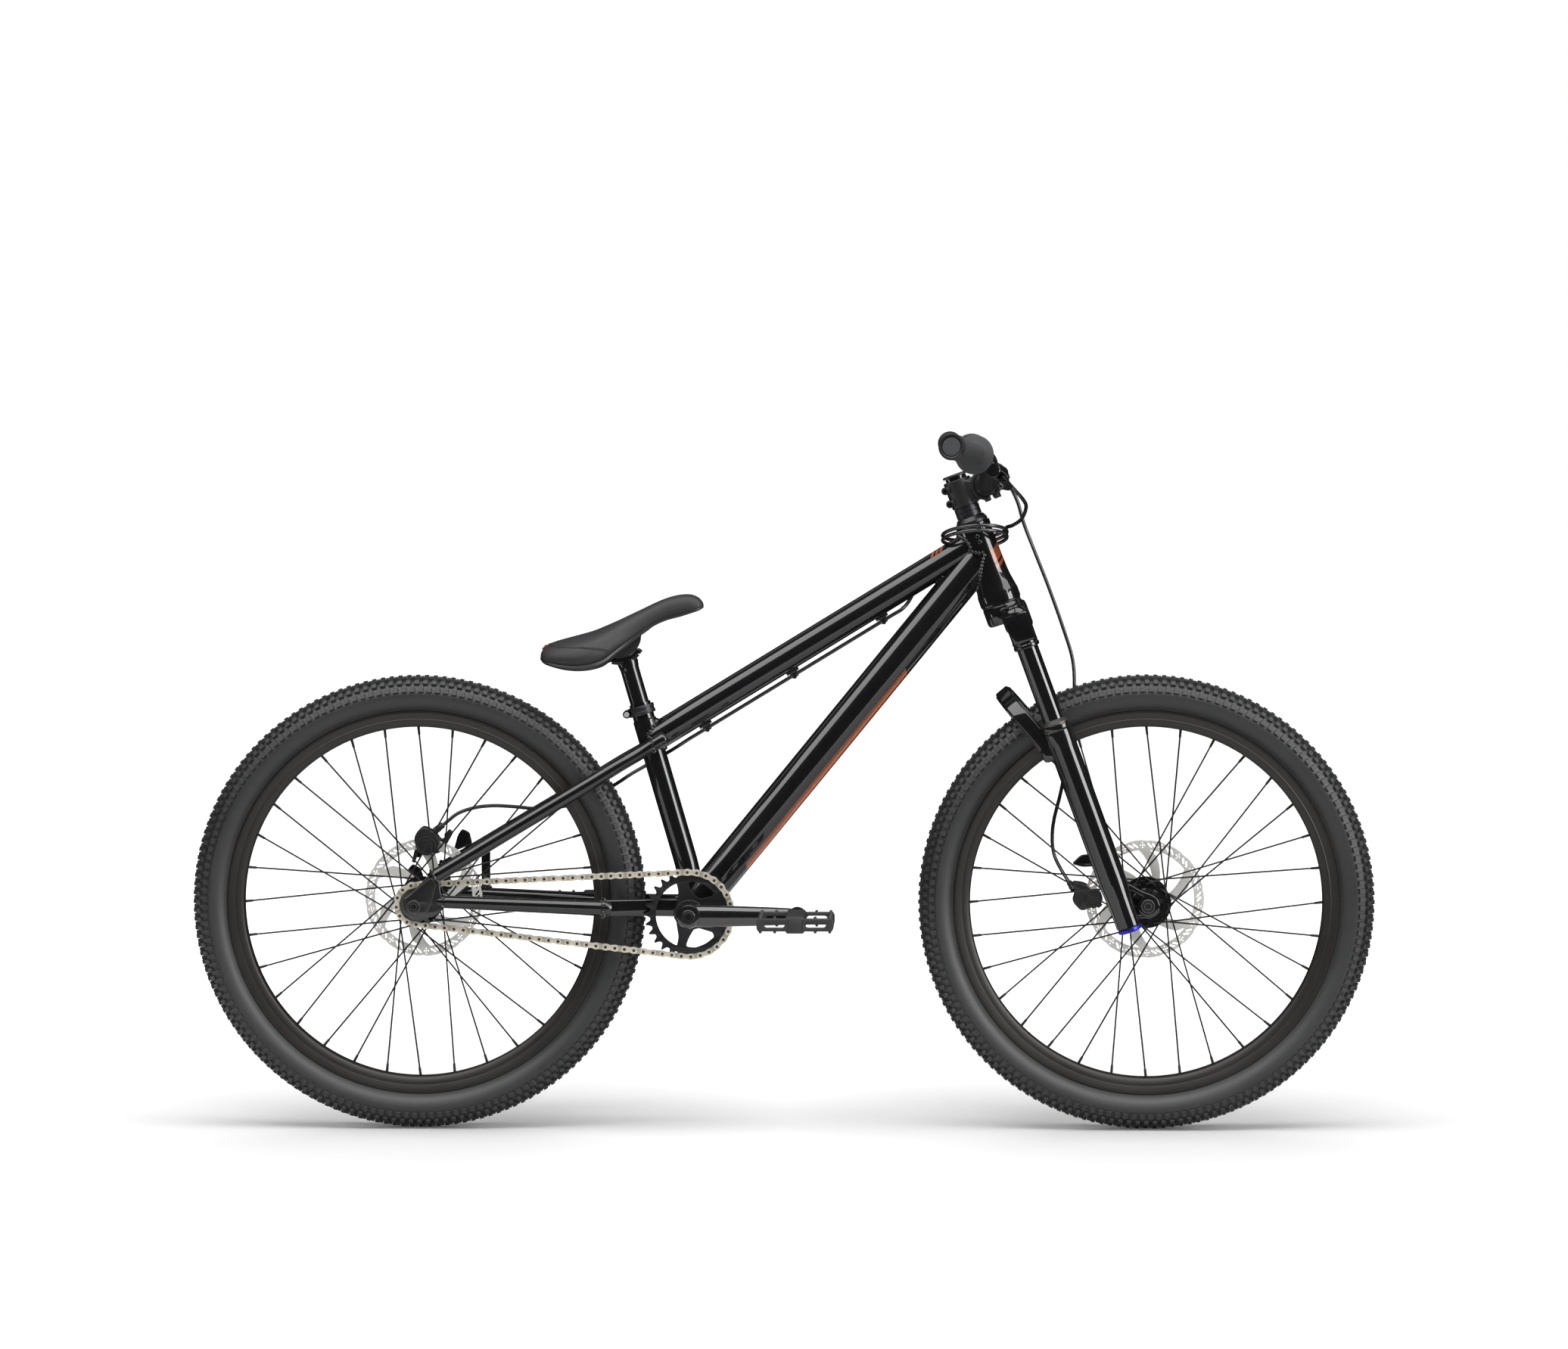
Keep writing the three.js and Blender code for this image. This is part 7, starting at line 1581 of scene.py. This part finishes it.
bar_half = {}
for side in (1, -1):
    foot, knee = bar_place(58, 0, 0, side), bar_place(140, 5, 33, side)
    end = bar_place(366, -47, 52.4, side)
    flat = [(stem_at + left * side * share, radius) for share, radius in
            ((0.0, bar_thick), (0.0295, bar_thick), (0.031, 0.0153), (0.036, 0.012), (0.038, bar_thin))]
    bends = [*soft_corner(stem_at, foot, knee, 0.018), *soft_corner(foot, knee, end)]
    bar_half[side] = [*flat, *((spot, bar_thin) for spot in bends), (end, bar_thin)]
bar_line = [*reversed(bar_half[-1]), *bar_half[1][1:]]
piece("riser_bar", [tube([bar_line], 40)], bar_black, "steering", ["handlebar"])

# Grips
# Slip-on grips moulded in dark grey rubber, with a wide flange at the inner end, a fine
# pattern of low ribs and a rounded end cap.
grip_rubber = finish_of("grip_rubber", (0.05, 0.051, 0.053), 0.72, scale=420, bump=0.4, relief=1e-4,
                        specular=0.35)
cap_black = finish_of("cap_black", (0.016, 0.016, 0.017), 0.34, scale=300, spread=0.08)
grip_inner, grip_outer = 0.236, 0.369
grip_ribs = 34
for side, hand in both_sides:
    start, end = grip_at(grip_inner, side), grip_at(grip_outer, side)
    run = (end - start).length
    way = (end - start).normalized()
    profile = [(0.0113, 0), (0.0243, 0), (0.0255, 0.0012), (0.0255, 0.0028), (0.0243, 0.004),
               (0.0208, 0.0047), (0.0176, 0.0062), (0.016, 0.0095)]
    rib_start, rib_end = 0.012, run - 0.0075
    for i in range(grip_ribs):
        low = rib_start + (rib_end - rib_start) * i / grip_ribs
        step = (rib_end - rib_start) / grip_ribs
        profile += [(0.0151, low), (0.0151, low + step * 0.4), (0.0156, low + step * 0.55),
                    (0.0156, low + step * 0.95)]
    profile += [(0.0152, run - 0.0068), (0.0113, run - 0.0068)]
    end_cap = [(0, run - 0.0066), (0.0158, run - 0.0066), (0.0168, run - 0.0052), (0.0172, run - 0.0032),
               (0.0169, run - 0.0012), (0.016, run + 0.0001), (0.0145, run + 0.0003),
               (0.0131, run - 0.0002), (0.0126, run - 0.0016), (0, run - 0.0016)]
    end_disc = [(0, run - 0.002), (0.0118, run - 0.002), (0.0118, run - 0.0008), (0.0112, run - 0.0003),
                (0, run - 0.0001)]
    piece(f"grip_moulded_{hand}", [ring(profile, start, way, 64)], grip_rubber,
          "steering", [f"grip_{hand}"])
    piece(f"grip_end_cap_{hand}", [turned(end_cap, start, way, 64)], cap_black, "steering")
    piece(f"grip_end_disc_{hand}", [turned(end_disc, start, way, 48)], grip_rubber,
          "steering")

# Brake levers
# Each lever is a black housing clamped to the bar, with a cylinder along it, a fork that
# holds the blade on a pin, and a boot where the hose goes in.
lever_gloss = finish_of("lever_gloss", (0.014, 0.014, 0.015), 0.24, 0.2, scale=300, spread=0.06, coat=0.5)
lever_drop = radians(43)
blade_outline = [
    (-7, -5), (-2, -6.6), (4, -6), (12, -1.5), (24, 8), (40, 12), (60, 15), (80, 17.2), (98, 19),
    (103, 20.5), (105, 25), (102.5, 28.4), (97, 29), (88, 27.6), (72, 26.4), (58, 26), (38, 24.5), (22, 21),
    (12, 14.5), (4, 8), (-1, 7), (-7, 6),
]
hose_starts = {1: front_route[:2], -1: right_lever_route[:2]}
for side, hand in both_sides:
    outward = (grip_at(0.366, side) - grip_at(0.14, side)).normalized()
    slope = Vector((cos(lever_drop), 0, -sin(lever_drop)))
    ahead = (slope - outward * slope.dot(outward)).normalized()
    normal = outward.cross(ahead)
    axes = (outward, ahead, normal)
    hold = grip_at(0.206, side)
    clamp_profile = both_ends([(0.0114, -0.0065), (0.0152, -0.0065), (0.0159, -0.0058)])
    body_start = grip_at(0.158, side) + ahead * 0.027
    body_end = grip_at(0.214, side) + ahead * 0.027
    body_run = (body_end - body_start).length
    cylinder = [
        (0, 0), (0.0062, 0), (0.0074, 0.0012), (0.0078, 0.004), (0.0094, 0.0062), (0.0095, body_run * 0.52),
        (0.0086, body_run * 0.56), (0.0086, body_run - 0.006), (0.0092, body_run - 0.0052),
        (0.0092, body_run - 0.001), (0.0084, body_run), (0, body_run),
    ]
    pivot = grip_at(0.192, side) + ahead * 0.040
    neck_middle = hold + ahead * 0.0195
    housing = [ring(clamp_profile, hold, outward, 48), turned(cylinder, body_start, outward, 40),
               block((0.0128, 0.0125, 0.0165), neck_middle, axes, 0.0035),
               block((0.0108, 0.0065, 0.0215), hold + ahead * 0.0122, axes, 0.002)]
    for rise in (1, -1):
        ear = pivot + normal * rise * 0.0054
        outline = rounded([(-9, -12.5), (9, -12.5), (8.5, 0), (4, 5), (-4, 5), (-8.5, 0)], 0.35)
        housing.append(plate([outline_at(outline)], 0.0022, ear, outward, ahead, 0.0006))
    housing.append(block((0.0165, 0.0065, 0.0128), pivot - ahead * 0.0107, axes, 0.0015))
    reservoir = body_start.lerp(body_end, 0.34) + normal * side * 0.0042 - ahead * 0.001
    housing.append(block((0.029, 0.0155, 0.0125), reservoir, axes, 0.0035))
    hose_from, hose_next = hose_starts[side]
    boot_way = (hose_from - hose_next).normalized()
    boot = [(0.0027, 0.0003), (0.0036, 0.0003), (0.0042, 0.0018), (0.0042, 0.0045), (0.0037, 0.0052),
            (0.0044, 0.006), (0.0044, 0.0125), (0.0052, 0.0128), (0.0052, 0.0158), (0.0027, 0.0158)]
    piece(f"lever_housing_{hand}", housing, lever_gloss, "steering", [f"lever_clamp_{hand}"])
    piece(f"hose_boot_{hand}", [ring(boot, hose_from, boot_way, 32)], wiper_rubber,
          "steering")
    screws = [turned([(0, 0), (0.0026, 0), (0.0028, 0.0005), (0.0028, 0.002), (0, 0.002)],
                     pivot + normal * rise * 0.0062, normal * rise, 20) for rise in (1, -1)]
    screws.append(turned([(0, 0), (0.0028, 0), (0.003, 0.0006), (0.003, 0.004), (0, 0.004)],
                         hold - ahead * 0.0145 + normal * 0.001, -ahead, 20))
    screws.append(block((0.0105, 0.008, 0.011), hold - ahead * 0.0122, axes, 0.002))
    piece(f"lever_screws_{hand}", screws, black_steel, "steering")
    blade = plate([outline_at(rounded(blade_outline, 0.4, 3))], 0.0072, pivot, outward, ahead, 0.0022)
    piece(f"lever_blade_forged_{hand}", [blade], lever_gloss,
          f"brake_lever_{hand}", [f"lever_blade_{hand}"])

# Brake callipers
# Two-piston callipers in matt black on the left side, each over its disc, with round piston
# covers, two mounting bolts and a banjo for the hose.
calliper_black = finish_of("calliper_black", (0.016, 0.016, 0.017), 0.42, scale=350, depth=0.35,
                           spread=0.12, bump=0.3, relief=6e-5)
rear_calliper_outline = [(-12, 86), (-1, 98), (15, 91), (25, 77), (34, 93), (40, 88), (30, 70), (22, 60),
                         (4, 57), (-7, 63), (-13, 46), (-17, 48), (-12, 68)]
front_calliper_outline = [(-98, 24), (-81, 22), (-66, 10), (-60, -6), (-56, -9), (-62, -14), (-66, -10),
                          (-86, -16), (-98, -3), (-94, 10)]


def calliper_form(name, body, hub_at, outline, body_core, sides_at, piston, bolts, replaced, hose_end):
    """A calliper: two halves astride the disc, the outer one under a wider plate, with its covers and
    bolts.
    """
    inner, outer, gap_low, gap_high = sides_at
    parts = []
    for low, high in ((inner, gap_low), (gap_high, outer)):
        thickness = high - low
        middle = Vector((0, (low + high) / 2, 0))
        parts.append(plate([rounded(round_hub(body_core, hub_at), 0.3)], thickness, middle, bevel=0.0018))
    parts.append(plate([rounded(round_hub(outline, hub_at), 0.3)], 0.009, Vector((0, outer - 0.0045, 0)),
                       bevel=0.0015))
    for low, way in ((inner, -left), (outer, left)):
        cover_at = Vector((piston.x, low, piston.z))
        parts.append(turned([(0, -0.001), (0.0128, -0.001), (0.0128, 0.0004), (0.012, 0.0012),
                             (0.0105, 0.0012), (0.0098, 0.0004), (0.0088, 0.0004), (0.0082, 0.001),
                             (0, 0.0012)], cover_at, way, 40))
    for spot in bolts:
        place = Vector((hub_at.x + spot[0] / 1000, outer - 0.0005, hub_at.z + spot[1] / 1000))
        parts.append(turned([(0, 0), (0.0019, 0), (0.0019, 0.002), (0.0036, 0.002), (0.004, 0.0016),
                             (0.004, 0)], place, left, 20))
        place = Vector((place.x, inner - 0.0012, place.z)) if spot[2] else place
        parts.append(turned([(0, 0), (0.0034, 0), (0.0034, 0.003), (0, 0.003)], place, left, 20))
    start, following = hose_end
    way = (start - following).normalized()
    parts.append(ring([(0.0027, 0.0003), (0.0036, 0.0003), (0.0042, 0.0015), (0.0042, 0.007),
                       (0.0048, 0.0075), (0.0048, 0.0148), (0.0027, 0.0148)], start, way, 32))
    return piece(name, parts, calliper_black, body, replaced)


rear_core = [(-12, 84), (-1, 98), (15, 91), (24, 76), (18, 63), (4, 60), (-9, 66)]
calliper_form("rear_calliper_cast", "frame", rear_hub_at, rear_calliper_outline, rear_core,
              (0.040, 0.0665, 0.0498, 0.0545), at(-483.7, 0, 377.2), [(-8.5, 57, 0), (31, 84, 0)],
              ["rear_calliper"], (stay_route[-1], stay_route[-2]))
front_core = [(-98, 24), (-81, 22), (-68, 9), (-66, -8), (-86, -16), (-98, -3), (-94, 10)]
calliper_form("front_calliper_cast", "fork_legs", front_hub_at, front_calliper_outline, front_core,
              (0.027, 0.056, 0.0371, 0.0418), at(419.1, 0, 307.7), [(-90, 15, 1), (-88, -6, 1)],
              ["front_calliper"], (front_route[-1], front_route[-2]))

# Studio
# A white floor and backdrop under three wide soft lamps; the floor's glow is dimmed round the tyres, a
# painted shadow where they touch it. The dark flags and bright boxes round the set are seen by polished
# surfaces alone, which is how black gloss paint is lit.
lamp_height = 3.6
floor_half = 30
flag_glow = 0.02
painted_shadow_glow = 0.04


def background_rays(owner):
    """One for the rays that show the background: seen, mirrored or through something clear."""
    rays = owner.node_tree.nodes.new("ShaderNodeLightPath")
    seen = work_out(owner, "MAXIMUM", rays.outputs["Is Camera Ray"], rays.outputs["Is Glossy Ray"])
    return work_out(owner, "MAXIMUM", seen, rays.outputs["Is Transmission Ray"])


def studio_shader(name, colour):
    """A matt surface that also glows for the rays that show the background, less so near the tyres: a
    painted shadow there.
    """
    material, nodes, link = new_material(name)
    nodes.remove(nodes["Principled BSDF"])
    matt = nodes.new("ShaderNodeBsdfDiffuse")
    set_inputs(matt, Color=(*colour, 1))
    glow = nodes.new("ShaderNodeEmission")
    along = along_way(material, Vector(), forward)
    from_tyre = work_out(material, "SUBTRACT", work_out(material, "ABSOLUTE", along), front_hub_at.x)
    aside = work_out(material, "MULTIPLY", along_way(material, Vector(), left), 0.8)
    squares = work_out(material, "MULTIPLY_ADD", from_tyre, from_tyre,
                       work_out(material, "MULTIPLY", aside, aside))
    # The glow is least at the tyre contacts and full farther out: a painted shadow round where they touch
    # the floor.
    ramp = nodes.new("ShaderNodeMapRange")
    set_inputs(ramp, From_Min=0.05, From_Max=1.5, To_Min=painted_shadow_glow, To_Max=1.0)
    link(work_out(material, "SQRT", squares), ramp.inputs["Value"])
    lit = work_out(material, "MULTIPLY", background_rays(material), ramp.outputs["Result"])
    link(lit, glow.inputs["Strength"])
    both = nodes.new("ShaderNodeAddShader")
    link(matt.outputs[0], both.inputs[0])
    link(glow.outputs[0], both.inputs[1])
    link(both.outputs[0], nodes["Material Output"].inputs["Surface"])
    return material


def flag_shader(name, strength):
    """A dark sheet with a plain dim glow."""
    material, nodes, link = new_material(name)
    nodes.remove(nodes["Principled BSDF"])
    glow = nodes.new("ShaderNodeEmission")
    set_inputs(glow, Strength=strength)
    link(glow.outputs[0], nodes["Material Output"].inputs["Surface"])
    return material


def stage_sheet(name, size, middle, turn, material):
    """A flat sheet of the set."""
    form = bmesh.new()
    bmesh.ops.create_grid(form, x_segments=1, y_segments=1, size=1)
    bmesh.ops.scale(form, vec=(*size, 1), verts=form.verts)
    bmesh.ops.transform(form, matrix=Matrix.Translation(middle) @ Matrix.Rotation(turn[0], 4, turn[1]),
                        verts=form.verts)
    mesh = mesh_from(form, name)
    mesh.materials.append(material)
    sheet = bpy.data.objects.new(name, mesh)
    scene.collection.objects.link(sheet)
    return sheet


def glossy_sheet(name, size, middle, turn, material):
    """A sheet that only polished surfaces see."""
    sheet = stage_sheet(name, size, middle, turn, material)
    sheet.visible_camera = False
    sheet.visible_diffuse = False
    sheet.visible_shadow = False
    sheet.visible_transmission = False


floor_white = studio_shader("floor_white", (0.94, 0.94, 0.94))
upright = (pi / 2, "X")
flat = (0, "X")
stage_sheet("floor", (floor_half, floor_half), (0, 0, 0), flat, floor_white)
flag_black = flag_shader("flag_black", flag_glow)
sideways = (pi / 2, "Y")
flags = [
    ("flag_near", (9, 2.4), (0, -7.5, 2.4), upright), ("flag_far", (9, 2.4), (0, 7.5, 2.4), upright),
    ("flag_left", (2.4, 7.5), (-9, 0, 2.4), sideways), ("flag_right", (2.4, 7.5), (9, 0, 2.4), sideways),
    ("flag_top", (9, 7.5), (0, 0, 4.7), flat), ("flag_floor_near", (9, 3.1), (0, -4.4, 0.004), flat),
    ("flag_floor_far", (9, 3.45), (0, 4.05, 0.004), flat),
    ("flag_floor_left", (3.775, 0.95), (-5.225, -0.35, 0.004), flat),
    ("flag_floor_right", (3.775, 0.95), (5.225, -0.35, 0.004), flat),
]
for name, size, middle, turn in flags:
    glossy_sheet(name, size, middle, turn, flag_black)
boxes = [
    ("box_overhead", (5, 1.8), (0, -2.1, 3.5), flat, 4.8), ("box_far", (5, 0.8), (0, 2.4, 3.5), flat, 0.5),
    ("box_front", (0.7, 0.42), (3.6, -2.7, 2.36), sideways, 7.0),
    ("box_rim", (1.0, 0.95), (3.55, -1.85, 1.35), sideways, 11.0),
    ("box_rear", (0.8, 0.3), (-2.6, -0.05, 0.008), flat, 7.0),
]
for name, size, middle, turn, strength in boxes:
    glossy_sheet(name, size, middle, turn, flag_shader(name, strength))

scene.world = bpy.data.worlds.new("studio")
scene.world.use_nodes = True
world_nodes, world_link = scene.world.node_tree.nodes, scene.world.node_tree.links.new
level = world_nodes.new("ShaderNodeMapRange")
set_inputs(level, To_Min=0.15, To_Max=1.0)
world_link(background_rays(scene.world), level.inputs["Value"])
sky = world_nodes["Background"]
set_inputs(sky, Color=(1, 1, 1, 1))
world_link(level.outputs["Result"], sky.inputs["Strength"])


def soft_lamp(name, width, depth, power, place, aim):
    """A wide soft lamp that points at a place."""
    lamp = bpy.data.lights.new(name, "AREA")
    lamp.shape = "RECTANGLE"
    lamp.size = width
    lamp.size_y = depth
    lamp.energy = power
    lamp_object = bpy.data.objects.new(name, lamp)
    lamp_object.location = place
    lamp_object.rotation_mode = "QUATERNION"
    lamp_object.rotation_quaternion = (aim - place).to_track_quat("-Z", "Y")
    lamp_object.visible_glossy = False
    scene.collection.objects.link(lamp_object)


soft_lamp("overhead_lamp", 5.0, 2.0, 105, Vector((0, -0.8, lamp_height)), Vector((0, -0.3, 0)))
soft_lamp("near_lamp", 5.0, 1.4, 60, Vector((0, -4.6, 2.4)), Vector((0, 0, 0.4)))
soft_lamp("far_lamp", 5.0, 1.4, 40, Vector((0, 4.0, 2.8)), Vector((0, 0, 0.4)))

scene.view_settings.view_transform = "Standard"
